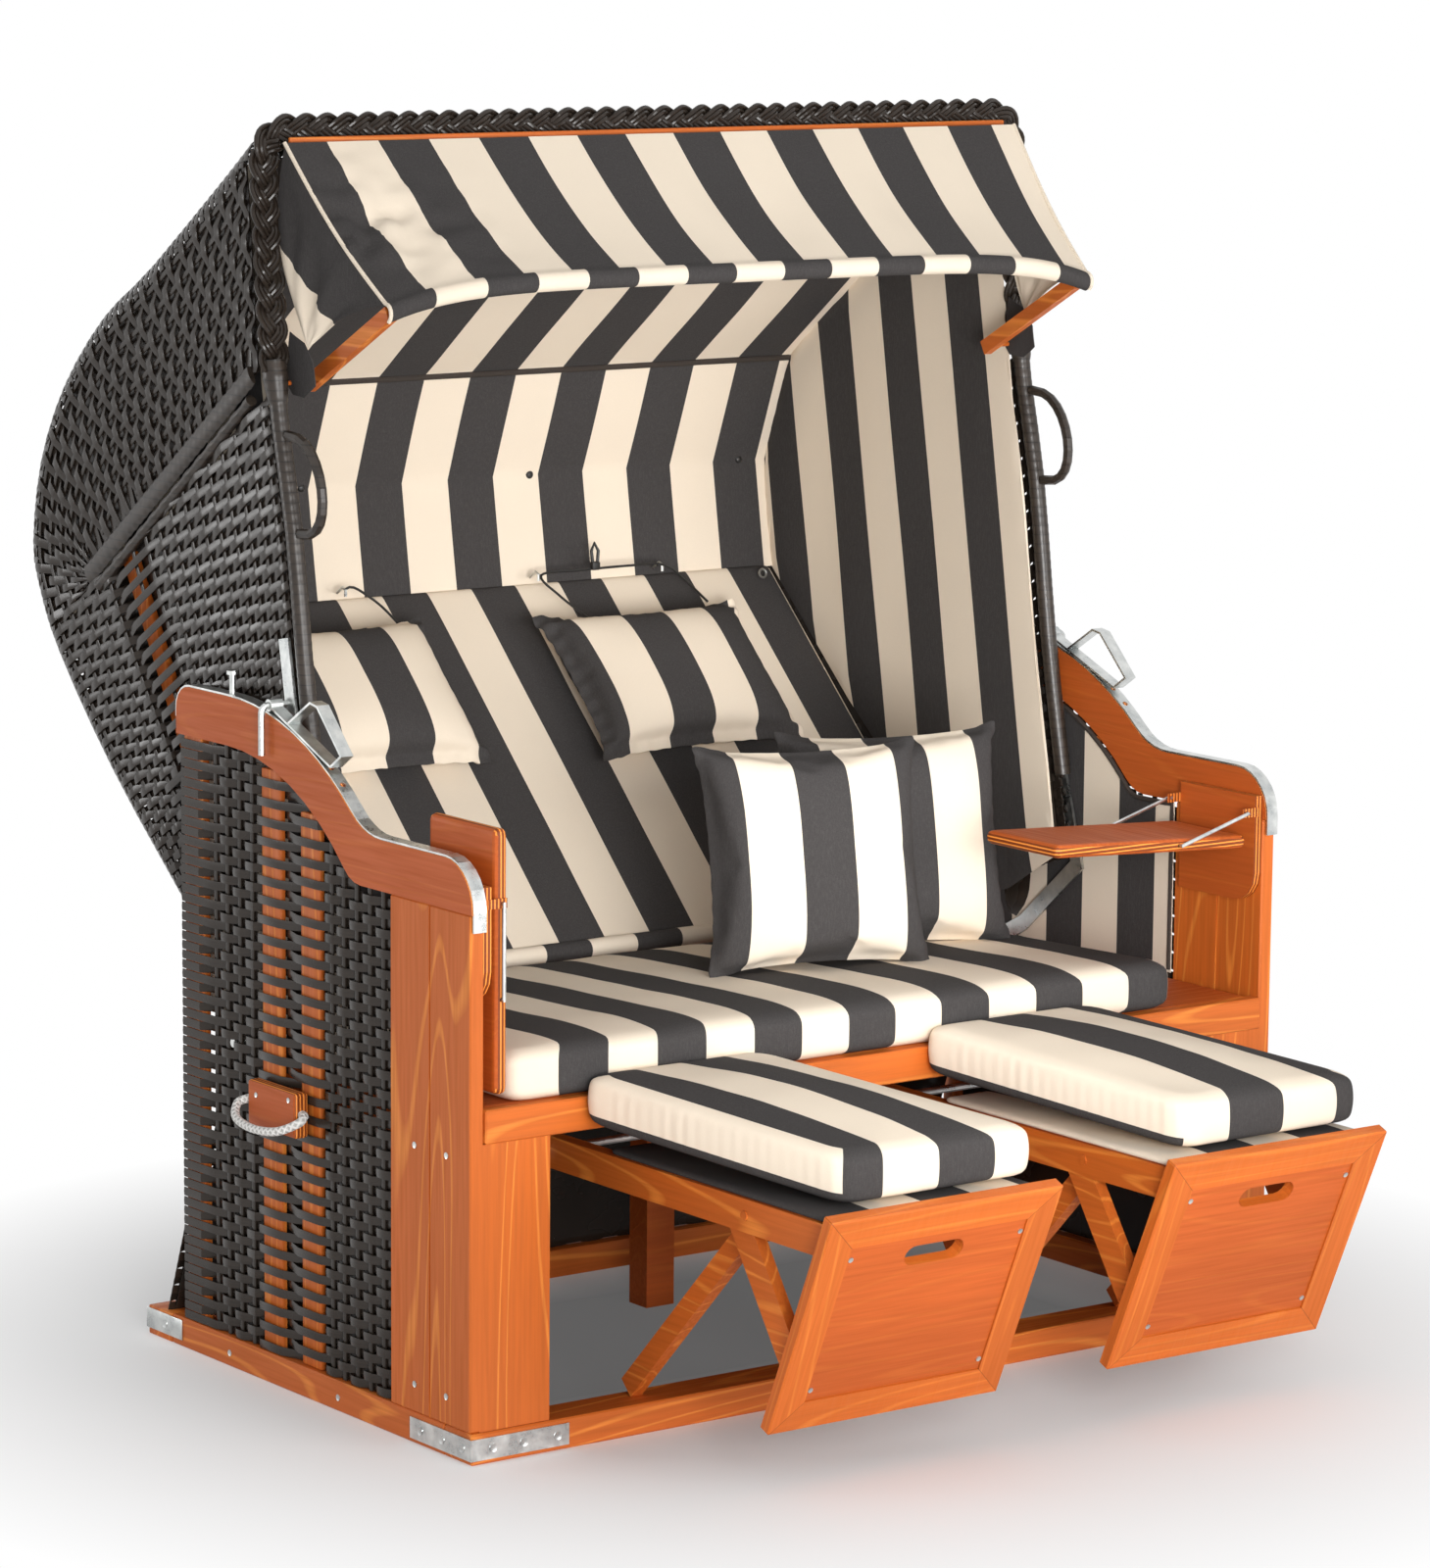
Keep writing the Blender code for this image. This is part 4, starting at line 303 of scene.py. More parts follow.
def grain(finish, place, along, ground, light, figure):
    """Colour, fibres and light lines of wood that grows along one axis of a place."""
    stretch = [6.5, 6.5, 6.5]
    stretch["XYZ".index(along)] = 0.55
    wide = finish.scaled(place, stretch)
    field = finish.cloud(wide, 1.5, 1.0, 0.4)
    rings = finish.maths("SINE", field * 85.0)
    line = finish.spread(rings, 0.72, 1.0)
    fibre_stretch = [180.0, 180.0, 180.0]
    fibre_stretch["XYZ".index(along)] = 7.0
    fibres = finish.cloud(finish.scaled(place, fibre_stretch), 1.0, 2.0, 0.6)
    patches = finish.cloud(wide, 0.8, 2.0)
    body = finish.blend(finish.spread(patches, 0.3, 0.7), shade(ground, 0.80), shade(ground, 1.15))
    body = finish.blend(line * figure, body, light)
    body = finish.blend(finish.spread(fibres, 0.35, 0.75) * 0.45, body, shade(ground, 0.62))
    return body, fibres, line


def glaze(finish, body, fibres, line):
    """Gives glazed wood its colour, and lets its fibres and light lines show in gloss and relief."""
    finish.colour(body)
    finish.roughness(finish.spread(fibres, 0.3, 0.7, 0.42, 0.6))
    finish.bump(fibres * 0.6 + line * 0.4, 0.0006, 0.35)
    return finish


def make_wood(name, ground, light, along, plies=None, figure=0.8):
    """Glazed wood with its grain along one axis, and veneers across another where plies gives it."""
    finish = Finish(name, ground, 0.5, Specular_IOR_Level=0.3)
    place = finish.place()
    body, fibres, line = grain(finish, place, along, ground, light, figure)
    if plies:
        facing = finish.facing()["XYZ".index(plies[0])]
        layers = finish.split(place)["XYZ".index(plies[0])] * (math.tau / plies[1])
        veneer = finish.spread(finish.maths("SINE", layers), 0.2, 0.75)
        edge = finish.maths("ABSOLUTE", facing) < 0.7
        veneered = finish.blend(veneer, shade(ground, 0.38), shade(light, 1.1))
        body = finish.blend(edge, body, veneered)
    return glaze(finish, body, fibres, line)


def make_framed_wood(name, ground, light, centre):
    """The footrest panel's mitred frame: stiles with upright grain between rails with level grain."""
    finish = Finish(name, ground, 0.5, Specular_IOR_Level=0.3)
    place = finish.place()
    upright = finish.node("ShaderNodeMapping", None,
                          {"Vector": place, "Rotation": (math.radians(-FOOT_LEAN), 0, 0)})
    stile, fibres, line = grain(finish, upright, "Z", ground, light, 0.4)
    rail, _, _ = grain(finish, place, "X", ground, light, 0.4)
    x, y, z = finish.split(place)
    down = foot_axes()[0]
    to_side = FOOT_PANEL_HALF - finish.maths("ABSOLUTE", x - centre)
    middle = FOOT_PANEL_TOP + down * (FOOT_PANEL_LENGTH / 2) + BASE_SHIFT.yz
    along = (y - middle.x) * down.x + (z - middle.y) * down.y
    to_end = FOOT_PANEL_LENGTH / 2 - finish.maths("ABSOLUTE", along)
    body = finish.blend(to_side < to_end, rail, stile)
    mitre = finish.maths("ABSOLUTE", to_side - to_end) < 0.0007
    return glaze(finish, finish.blend(mitre * 0.7, body, shade(ground, 0.35)), fibres, line)


def make_canvas():
    """Striped cloth: whole numbers of the chart's first value are the stripes' edges, even ones dark."""
    colours = looks("canvas")
    finish = Finish("striped_canvas", colours.cream, 0.9, Specular_IOR_Level=0.12)
    across = finish.split(finish.chart())[0]
    dark = (across % 2.0) < 1.0
    place = finish.place()
    blotch = finish.cloud(place, 9.0, 2.0)
    grit = finish.cloud(place, 900.0, 2.0, 0.7)
    slub = finish.cloud(finish.scaled(place, (520.0, 520.0, 90.0)), 1.0, 3.0, 0.7)
    pale = finish.blend(finish.spread(blotch, 0.3, 0.7) * 0.5, shade(colours.cream, 0.95), colours.cream)
    pale = finish.blend(finish.spread(grit, 0.4, 0.8) * 0.18, pale, shade(colours.cream, 0.72))
    dark_yarn = colours.anthracite
    deep = finish.blend(finish.spread(slub, 0.45, 0.85) * 0.6, dark_yarn, shade(dark_yarn, 1.7))
    deep = finish.blend(finish.spread(grit, 0.42, 0.8) * 0.55, deep, shade(dark_yarn, 0.45))
    finish.colour(finish.blend(dark, pale, deep))
    finish.roughness(finish.spread(grit, 0.3, 0.7, 0.84, 0.95))
    finish.bump(grit, 0.0004, 0.3)
    return finish


def make_wicker(name, roughness):
    """Extruded plastic strap: dark brown, glossy, with fine streaks along its length."""
    colour = looks("wicker").colour
    finish = Finish(name, colour, roughness, Specular_IOR_Level=0.28)
    chart = finish.chart()
    streak = finish.cloud(finish.scaled(chart, (4.0, 26.0, 1.0)), 1.0, 3.0, 0.6)
    patch = finish.cloud(finish.place(), 22.0, 2.0)
    body = finish.blend(finish.spread(streak, 0.3, 0.7), shade(colour, 0.72), shade(colour, 1.3))
    body = finish.blend(finish.spread(patch, 0.35, 0.7) * 0.5, body, shade(colour, 0.8))
    finish.colour(body)
    finish.roughness(finish.spread(patch, 0.3, 0.7, roughness * 0.8, roughness * 1.3))
    finish.bump(streak, 0.0002, 0.08)
    return finish


def make_taped_wicker():
    """Strap wound round a rod, whose turns show as dark lines across it."""
    colour = looks("wicker").colour
    finish = Finish("taped_wicker", colour, 0.34, Specular_IOR_Level=0.4)
    height = finish.split(finish.place())[2]
    turn = finish.maths("FRACT", height * 80.0)
    seam = finish.maths("ABSOLUTE", turn - 0.5) > 0.44
    patch = finish.cloud(finish.place(), 60.0, 2.0)
    body = finish.blend(finish.spread(patch, 0.3, 0.7), shade(colour, 0.8), shade(colour, 1.4))
    finish.colour(finish.blend(seam, body, shade(colour, 0.4)))
    finish.bump(turn + patch * 0.5, 0.0006, 0.25)
    return finish


def make_metal():
    finish = Finish("zinc_steel", (0.60, 0.61, 0.60), 0.32, Metallic=1.0)
    place = finish.place()
    spangle = finish.cloud(place, 45.0, 3.0, 0.6)
    brushed = finish.cloud(finish.scaled(place, (400.0, 60.0, 400.0)), 1.0, 2.0)
    finish.colour(finish.blend(finish.spread(spangle, 0.3, 0.7), (0.46, 0.48, 0.48), (0.72, 0.73, 0.71)))
    finish.roughness(finish.spread(spangle * 0.7 + brushed * 0.3, 0.3, 0.7, 0.22, 0.42))
    finish.bump(brushed, 0.0003, 0.2)
    return finish


def make_plain_cloth(name, colour, roughness=0.88):
    finish = Finish(name, colour, roughness, Specular_IOR_Level=0.2)
    place = finish.place()
    grit = finish.cloud(place, 700.0, 2.0, 0.7)
    blotch = finish.cloud(place, 12.0, 2.0)
    body = finish.blend(finish.spread(grit, 0.35, 0.75), shade(colour, 0.78), shade(colour, 1.12))
    finish.colour(finish.blend(finish.spread(blotch, 0.3, 0.7) * 0.4, body, shade(colour, 0.85)))
    finish.bump(grit, 0.0004, 0.35)
    return finish


def make_rope():
    """Braided white rope, whose strands cross on its own chart, with painted shade darkening the grooves
    between them.
    """
    finish = Finish("white_rope", (0.80, 0.79, 0.75), 0.75, Sheen_Weight=0.1)
    round_way, along = finish.split(finish.chart())[:2]
    one = finish.maths("SINE", (along * 700.0 + round_way * math.tau * 3.0))
    other = finish.maths("SINE", (along * 700.0 - round_way * math.tau * 3.0))
    strand = finish.maths("MAXIMUM", one, other)
    # Painted shade: the colour follows the strands' relief, light on their crests and grey in the grooves
    # between them.
    finish.colour(finish.blend(finish.spread(strand, -0.6, 0.8), (0.52, 0.51, 0.48), (0.86, 0.85, 0.82)))
    finish.bump(strand, 0.0012, 0.8)
    return finish


def make_rubber(name, colour):
    finish = Finish(name, colour, 0.5)
    grain = finish.cloud(finish.place(), 260.0, 2.0)
    finish.colour(finish.blend(grain, shade(colour, 0.7), shade(colour, 1.3)))
    finish.roughness(finish.spread(grain, 0.3, 0.7, 0.4, 0.6))
    return finish


def mix_finishes():
    wood = looks("wood")
    for axis in "XYZ":
        FINISHES["pine_" + axis] = make_wood("glazed_pine_" + axis.lower(), wood.pine, wood.grain, axis)
    for side in "XZ":
        FINISHES["ply_" + side] = make_wood("glazed_plywood_" + side.lower(), wood.plywood, wood.grain, "Y",
                                            (side, 0.0052), 0.12)
    for (label, _), centre in zip(SIDES, FOOT_CENTRES):
        FINISHES["frame_" + label] = make_framed_wood(
            "glazed_frame_" + label, shade(wood.pine, 1.05), wood.grain, centre)
    FINISHES["ply"] = make_wood("glazed_plywood_panel", wood.plywood, wood.grain, "X", None, 0.12)
    FINISHES["canvas"] = make_canvas()
    FINISHES["wicker"] = make_wicker("plastic_wicker", 0.24)
    FINISHES["plait"] = make_wicker("plastic_plait", 0.18)
    FINISHES["tape"] = make_taped_wicker()
    FINISHES["steel"] = make_metal()
    FINISHES["cream"] = make_plain_cloth("cream_piping", looks("canvas").cream)
    FINISHES["welt"] = make_plain_cloth("brown_welt", (0.05, 0.04, 0.034), 0.6)
    FINISHES["zip"] = make_plain_cloth("zip_band", (0.035, 0.038, 0.048), 0.7)
    FINISHES["rope"] = make_rope()
    FINISHES["elastic"] = make_rubber("black_elastic", (0.015, 0.014, 0.013))


# Pieces in mesh code


def deselect():
    for obj in list(bpy.context.selected_objects):
        obj.select_set(False)


def keep(obj, name, finish, body, replaces=(), smooth=40.0):
    """Names a finished piece, gives it its finish and body, and puts its place into its mesh."""
    obj.name = name
    mesh = obj.data
    mesh.name = name
    mesh.transform(Matrix.Translation(BASE_SHIFT))
    mesh.materials.clear()
    for part in ([finish] if isinstance(finish, str) else finish):
        mesh.materials.append(FINISHES[part].material)
    if smooth is not None:
        mesh.shade_smooth()
        mesh.set_sharp_from_angle(angle=math.radians(smooth))
    if body:
        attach(obj, body)
    if replaces:
        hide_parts(*replaces)
    return obj


def blank_mesh():
    """An empty mesh with a chart on its faces."""
    bm = bmesh.new()
    return bm, bm.loops.layers.uv.new("UVMap")


def from_bmesh(bm, outward=False):
    """A piece from a mesh, with its faces turned outwards where they aren't yet."""
    if outward:
        bmesh.ops.recalc_face_normals(bm, faces=bm.faces)
    mesh = bpy.data.meshes.new("piece")
    bm.to_mesh(mesh)
    bm.free()
    obj = bpy.data.objects.new("piece", mesh)
    bpy.context.scene.collection.objects.link(obj)
    return obj


def use(obj, kind, name, **settings):
    """Adds a modifier and applies it."""
    modifier = obj.modifiers.new(name, kind)
    for key, value in settings.items():
        setattr(modifier, key, value)
    deselect()
    bpy.context.view_layer.objects.active = obj
    obj.select_set(True)
    bpy.ops.object.modifier_apply(modifier=name)
    obj.select_set(False)
    return obj


def joined(objects):
    deselect()
    for obj in objects:
        obj.select_set(True)
    bpy.context.view_layer.objects.active = objects[0]
    bpy.ops.object.join()
    made = bpy.context.view_layer.objects.active
    made.select_set(False)
    return made


def lerp(a, b, t):
    return a + (b - a) * t


def smooth_path(points, steps):
    """A Catmull-Rom curve through points of two or three values."""
    path = []
    last = len(points) - 1
    for index in range(last):
        p0, p1 = Vector(points[max(index - 1, 0)]), Vector(points[index])
        p2, p3 = Vector(points[index + 1]), Vector(points[min(index + 2, last)])
        for step in range(steps):
            t = step / steps
            path.append(tuple(0.5 * (2 * p1 + (p2 - p0) * t + (2 * p0 - 5 * p1 + 4 * p2 - p3) * t ** 2
                                     + (3 * p1 - p0 - 3 * p2 + p3) * t ** 3)))
    path.append(tuple(points[last]))
    return path


def resample(points, step):
    """Points at an even distance along a path."""
    points = [Vector(point) for point in points]
    lengths = [0.0]
    for a, b in zip(points, points[1:]):
        lengths.append(lengths[-1] + (b - a).length)
    count = max(int(round(lengths[-1] / step)), 2)
    return [along_path(points, lengths, lengths[-1] * index / count) for index in range(count + 1)]


def along_path(points, lengths, distance):
    for index in range(len(points) - 1):
        if distance <= lengths[index + 1] or index == len(points) - 2:
            span = lengths[index + 1] - lengths[index]
            return points[index].lerp(points[index + 1], (distance - lengths[index]) / span if span else 0)
    return points[-1]


def arc(centre_y, centre_z, radius, start_deg, end_deg, steps):
    points = []
    for step in range(steps + 1):
        angle = math.radians(start_deg + (end_deg - start_deg) * step / steps)
        points.append((centre_y + radius * math.cos(angle), centre_z + radius * math.sin(angle)))
    return points


def net(bm, chart, grid, chart_of, closed=False):
    """Four-sided faces between lines of points, placed on the chart by line and point."""
    count = len(grid[0])
    for line in range(len(grid) - 1):
        for point in range(count if closed else count - 1):
            cells = ((line, point), (line, point + 1), (line + 1, point + 1), (line + 1, point))
            face = bm.faces.new([grid[i][j % count] for i, j in cells])
            for loop, (i, j) in zip(face.loops, cells):
                loop[chart].uv = chart_of(i, j)


def lay_chart(bm, chart, chart_of):
    """Places every corner of every face on the chart by its point in space."""
    for face in bm.faces:
        for loop in face.loops:
            loop[chart].uv = chart_of(loop.vert.co)


def close_rings(bm, chart, rings, chart_of):
    """Faces between rings of points and over both ends, placed on the chart by ring and corner."""
    net(bm, chart, rings, chart_of, closed=True)
    bm.faces.new(rings[0][::-1])
    bm.faces.new(rings[-1])


def ribbon(bm, chart, points, outs, width, thickness, row):
    """A flat strap along points, whose face looks along outs, closed at its ends."""
    shoulder = 0.15
    profile = ((-0.5, -0.5), (-0.5, shoulder), (0.0, 0.5), (0.5, shoulder), (0.5, -0.5))
    rings, reach = [], 0.0
    reaches = []
    for index, (point, out) in enumerate(zip(points, outs)):
        before, after = points[max(index - 1, 0)], points[min(index + 1, len(points) - 1)]
        along = (after - before).normalized()
        side = along.cross(out).normalized()
        broad = width[index] if isinstance(width, list) else width
        rings.append([bm.verts.new(point + side * broad * u + out * thickness * v) for u, v in profile])
        if index:
            reach += (point - points[index - 1]).length
        reaches.append(reach)
    close_rings(bm, chart, rings, lambda i, j: (reaches[i], row + profile[j % 5][0] * 0.4))


def strap_path(surface, t, crossings):
    """Points and directions of one strap that rises and dives at its crossings: (place, reach, lift)."""
    spots = [(0.0, 0.0)]
    for place, reach, lift in crossings:
        spots += [(place - reach, lift), (place + reach, lift)]
    spots.append((1.0, 0.0))
    points, outs = [], []
    for place, lift in spots:
        point, out = surface(min(max(place, 0.0), 1.0), t)
        points.append(point + out * lift)
        outs.append(out)
    return points, outs


def woven(surface, rows, stations, strap, spoke, lift, shade_backed=False):
    """Straps over and under spokes on a surface that gives a point and its outward direction."""
    bm, chart = blank_mesh()
    gap = stations[1] - stations[0]
    for row, t in enumerate(rows):
        crossings = [(s, 0.28 * gap, lift if (row + index) % 2 == 0 else -lift)
                     for index, s in enumerate(stations)]
        points, outs = strap_path(surface, t, crossings)
        ribbon(bm, chart, points, outs, strap, STRAP_THICKNESS, row)
    for index, s in enumerate(stations):
        spots = [surface(s, t) for t in rows[::2] + [rows[-1]]]
        ribbon(bm, chart, [point for point, _ in spots], [out for _, out in spots],
               spoke, STRAP_THICKNESS * 1.2, index + 0.3)
    # Painted shade: a dark sheet behind the straps makes the gaps between them read as shadow.
    if shade_backed:
        shade_backing(bm, surface, rows[0], rows[-1])
    return from_bmesh(bm, outward=True)


def shade_backing(bm, surface, first, last, depth=0.0065):
    """A dark sheet just inside a weave, standing in for the shadow behind it: painted shade that closes the
    gaps between its straps.
    """
    cells, sheet = 16, 0.0012
    grids = []
    for back in (depth, depth + sheet):
        grid = []
        for i in range(cells + 1):
            line = []
            for j in range(cells + 1):
                point, out = surface(lerp(0.005, 0.995, i / cells), lerp(first, last, j / cells))
                line.append(bm.verts.new(point - out * back))
            grid.append(line)
        grids.append(grid)
    for grid in grids:
        for i in range(cells):
            for j in range(cells):
                bm.faces.new((grid[i][j], grid[i + 1][j], grid[i + 1][j + 1], grid[i][j + 1]))
    near, far = grids
    rim = [(i, 0) for i in range(cells)] + [(cells, j) for j in range(cells)]
    rim += [(i, cells) for i in range(cells, 0, -1)] + [(0, j) for j in range(cells, 0, -1)]
    for (i, j), (k, m) in zip(rim, rim[1:] + rim[:1]):
        bm.faces.new((near[i][j], near[k][m], far[k][m], far[i][j]))


def split_runs(points, gap):
    """Breaks a list of points where two of them lie further apart than the gap."""
    runs = [[]]
    for point in points:
        if runs[-1] and (point - runs[-1][-1]).length > gap:
            runs.append([])
        runs[-1].append(point)
    return runs


def tube(bm, chart, points, radii, sides=8, squeeze=1.0, turn_start=None):
    """A round tube along points with a radius at each, closed at both ends."""
    points = [Vector(point) for point in points]
    rings, reach, normal = [], 0.0, turn_start
    reaches = []
    for index, point in enumerate(points):
        before, after = points[max(index - 1, 0)], points[min(index + 1, len(points) - 1)]
        along = (after - before).normalized()
        if normal is None:
            normal = along.orthogonal().normalized()
        normal = (normal - along * normal.dot(along)).normalized()
        side = along.cross(normal)
        radius = radii[index] if hasattr(radii, "__len__") else radii
        ring = []
        for corner in range(sides):
            angle = math.tau * corner / sides
            ring.append(bm.verts.new(point + normal * radius * math.cos(angle)
                                     + side * radius * squeeze * math.sin(angle)))
        rings.append(ring)
        if index:
            reach += (point - points[index - 1]).length
        reaches.append(reach)
    close_rings(bm, chart, rings, lambda i, j: (j / sides, reaches[i]))


def tube_piece(points, radii, sides=8):
    bm, chart = blank_mesh()
    tube(bm, chart, points, radii, sides)
    return from_bmesh(bm, outward=True)


def folds(place, scale, seed):
    """Soft random folds from -1 to 1."""
    return noise.noise(Vector(place) * scale + Vector((seed, seed * 1.7, seed * 0.3)))


# Lines of the frame


def front_path():
    rise = TUBE_TOP_Z - TUBE_FOOT_Z
    points = [(FRONT_FOOT_Y + lean * FRONT_LEAN, TUBE_FOOT_Z + up * rise) for up, lean in FRONT_SHARES]
    return smooth_path(points, 3)


FRONT_PATH = front_path()


def front_y(z):
    for (y0, z0), (y1, z1) in zip(FRONT_PATH, FRONT_PATH[1:]):
        if z <= z1:
            return y0 + (y1 - y0) * (z - z0) / (z1 - z0)
    return FRONT_PATH[-1][0]


def arch_points(foot_z):
    top_y = front_y(TUBE_TOP_Z)
    left = [(-TUBE_HALF, front_y(foot_z), foot_z)]
    left += [(-TUBE_HALF, y, z) for y, z in FRONT_PATH if foot_z + 0.002 < z < TUBE_TOP_Z - TUBE_CORNER * 1.5]
    for step in range(6):
        turn = math.pi / 2 * step / 5
        z = TUBE_TOP_Z - TUBE_CORNER * (1 - math.sin(turn))
        left.append((-TUBE_HALF + TUBE_CORNER * (1 - math.cos(turn)), front_y(z), z))
    span = TUBE_HALF - TUBE_CORNER
    middle = [(span * share, top_y, TUBE_TOP_Z) for share in (-0.5, 0.0, 0.5)]
    return left + middle + [(-x, y, z) for x, y, z in left[::-1]]


def shell_profile(inset):
    """The shell's line in Y and Z, moved inwards by the inset."""
    path = smooth_path([shell_share(depth, rise) for depth, rise in SHELL_SHARES], 3)
    moved = []
    for index, (y, z) in enumerate(path):
        swell = SHELL_SWELL * math.sin(math.pi * index / (len(path) - 1)) ** 0.5
        before, after = path[max(index - 1, 0)], path[min(index + 1, len(path) - 1)]
        along = Vector((after[0] - before[0], after[1] - before[1])).normalized()
        y, z = y + (inset - swell) * along.y, z - (inset - swell) * along.x
        moved.append((max(y, front_y(z) + BRAID_RADIUS + SHELL_THICKNESS), z))
    return moved


def shell_share(depth, rise):
    return Vector((SHELL_START_Y + depth * SHELL_DEPTH, SHELL_END_Z + rise * (SHELL_START_Z - SHELL_END_Z)))


class Line:
    """A path in Y and Z that is read by its share of its length."""

    def __init__(self, points):
        self.points = [Vector(point) for point in points]
        self.lengths = [0.0]
        for a, b in zip(self.points, self.points[1:]):
            self.lengths.append(self.lengths[-1] + (b - a).length)

    def at(self, share):
        return along_path(self.points, self.lengths, self.lengths[-1] * min(max(share, 0.0), 1.0))

    def share_of(self, index):
        return self.lengths[index] / self.lengths[-1]


def armrest_lower_z(y):
    """Height of the armrest's lower edge."""
    radius = ARMREST_RADIUS - ARMREST_BAND
    flat_z = ARMREST_FLAT_Z - ARMREST_BAND
    if y < PIVOT_Y:
        drop = radius ** 2 - (PIVOT_Y - y) ** 2
        return max(PIVOT_Z + math.sqrt(drop) if drop > 0 else 0.0, flat_z)
    return PIVOT_Z + radius


# Operators


def screw_head(place, out, radius=0.0042):
    """A countersunk screw head with a round recess in its top, made anew at each call."""
    deselect()
    bpy.ops.mesh.primitive_cylinder_add(vertices=14, radius=radius, depth=0.0012)
    head = bpy.context.view_layer.objects.active
    bpy.ops.object.mode_set(mode="EDIT")
    bpy.ops.mesh.select_all(action="DESELECT")
    bpy.ops.object.mode_set(mode="OBJECT")
    top = max(head.data.polygons, key=lambda face: face.center.z)
    top.select = True
    bpy.ops.object.mode_set(mode="EDIT")
    bpy.ops.mesh.inset(thickness=radius * 0.45, depth=0.0)
    bpy.ops.transform.translate(value=(0, 0, -0.0006))
    bpy.ops.object.mode_set(mode="OBJECT")
    head.select_set(False)
    turn = Vector((0, 0, 1)).rotation_difference(Vector(out).normalized()).to_matrix().to_4x4()
    head.data.transform(Matrix.Translation(Vector(place)) @ turn)
    head.matrix_world = Matrix.Identity(4)
    return head


def bevelled_box(size, centre, turn=None, width=0.002):
    """A block added at its size and place, with its edges broken."""
    deselect()
    bpy.ops.mesh.primitive_cube_add(size=1.0)
    block = bpy.context.view_layer.objects.active
    block.data.transform(Matrix.Diagonal((*size, 1.0)))
    bpy.ops.object.mode_set(mode="EDIT")
    bpy.ops.mesh.select_all(action="SELECT")
    bpy.ops.mesh.bevel(offset=width, segments=2, affect="EDGES")
    bpy.ops.object.mode_set(mode="OBJECT")
    block.select_set(False)
    matrix = Matrix.Translation(Vector(centre))
    if turn is not None:
        matrix = matrix @ turn
    block.data.transform(matrix)
    block.matrix_world = Matrix.Identity(4)
    return block


class ChairWood(bpy.types.Operator):
    """Finishes the wooden frame: sills, posts, armrests, seat, tables and footrests."""
    bl_idname = "beach_chair.wood"
    bl_label = "Wooden frame"

    def execute(self, context):
        finishes = {"pine_X": ["front_sill", "seat_front_rail"],
                    "pine_Y": ["side_sill_left", "side_sill_right"],
                    "pine_Z": ["corner_post_left", "corner_post_right"],
                    "ply_X": ["armrest_left", "armrest_right", "table_plate_left", "table_plate_right",
                              "table_top_left", "carry_block_left", "carry_block_right"],
                    "ply_Z": ["table_top_right"], "ply": ["seat_board"]}
        for label, _ in SIDES:
            finishes["frame_" + label] = ["footrest_panel_" + label]
            self.panel_field(label)
            finishes["pine_Y"] += ["footrest_carriage_" + label, "footrest_legs_" + label]
        finishes["pine_Y"].append("awning_frame")
        for finish, names in finishes.items():
            for name in names:
                dress(name, finish)
        return {"FINISHED"}

    def panel_field(self, label):
        """The thin plywood field inside a footrest panel's frame, with its finger slot."""
        centre = FOOT_CENTRES[0 if label == "left" else 1]
        down, back = foot_axes()
        top = FOOT_PANEL_TOP
        half, high, low = FOOT_PANEL_HALF - FOOT_STILE, FOOT_STILE, FOOT_PANEL_LENGTH - FOOT_STILE
        depth = 0.0024
        bm = bmesh.new()
        outer = [(-half, high), (half, high), (half, low), (-half, low)]
        slot = []
        for side in (-1, 1):
            for step in range(9):
                turn = math.radians(90 * side + 180 * step / 8)
                slot.append((side * -0.030 + 0.0142 * math.cos(turn), 0.070 + 0.0142 * -math.sin(turn)))
        edges = []
        for ring in (outer, slot):
            verts = []
            for x, along in ring:
                spot = top + down * along + back * depth
                verts.append(bm.verts.new((centre + x, spot.x, spot.y)))
            edges += [bm.edges.new((verts[i], verts[(i + 1) % len(verts)])) for i in range(len(verts))]
        bmesh.ops.triangle_fill(bm, use_beauty=True, edges=edges)
        bmesh.ops.recalc_face_normals(bm, faces=bm.faces)
        if bm.faces[:][0].normal.y > 0:
            bmesh.ops.reverse_faces(bm, faces=bm.faces)
        field = from_bmesh(bm)
        use(field, "SOLIDIFY", "sheet", thickness=0.0005, offset=0.0)
        keep(field, "footrest_field_" + label, "ply", "footrest_" + label, smooth=None)


def dress(name, finish):
    """A CAD node that stays gets its finish in its own material slots."""
    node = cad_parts[name]
    if not node.material_slots:
        node.data.materials.append(FINISHES[finish].material)
    for slot in node.material_slots:
        slot.link = "OBJECT"
        slot.material = FINISHES[finish].material


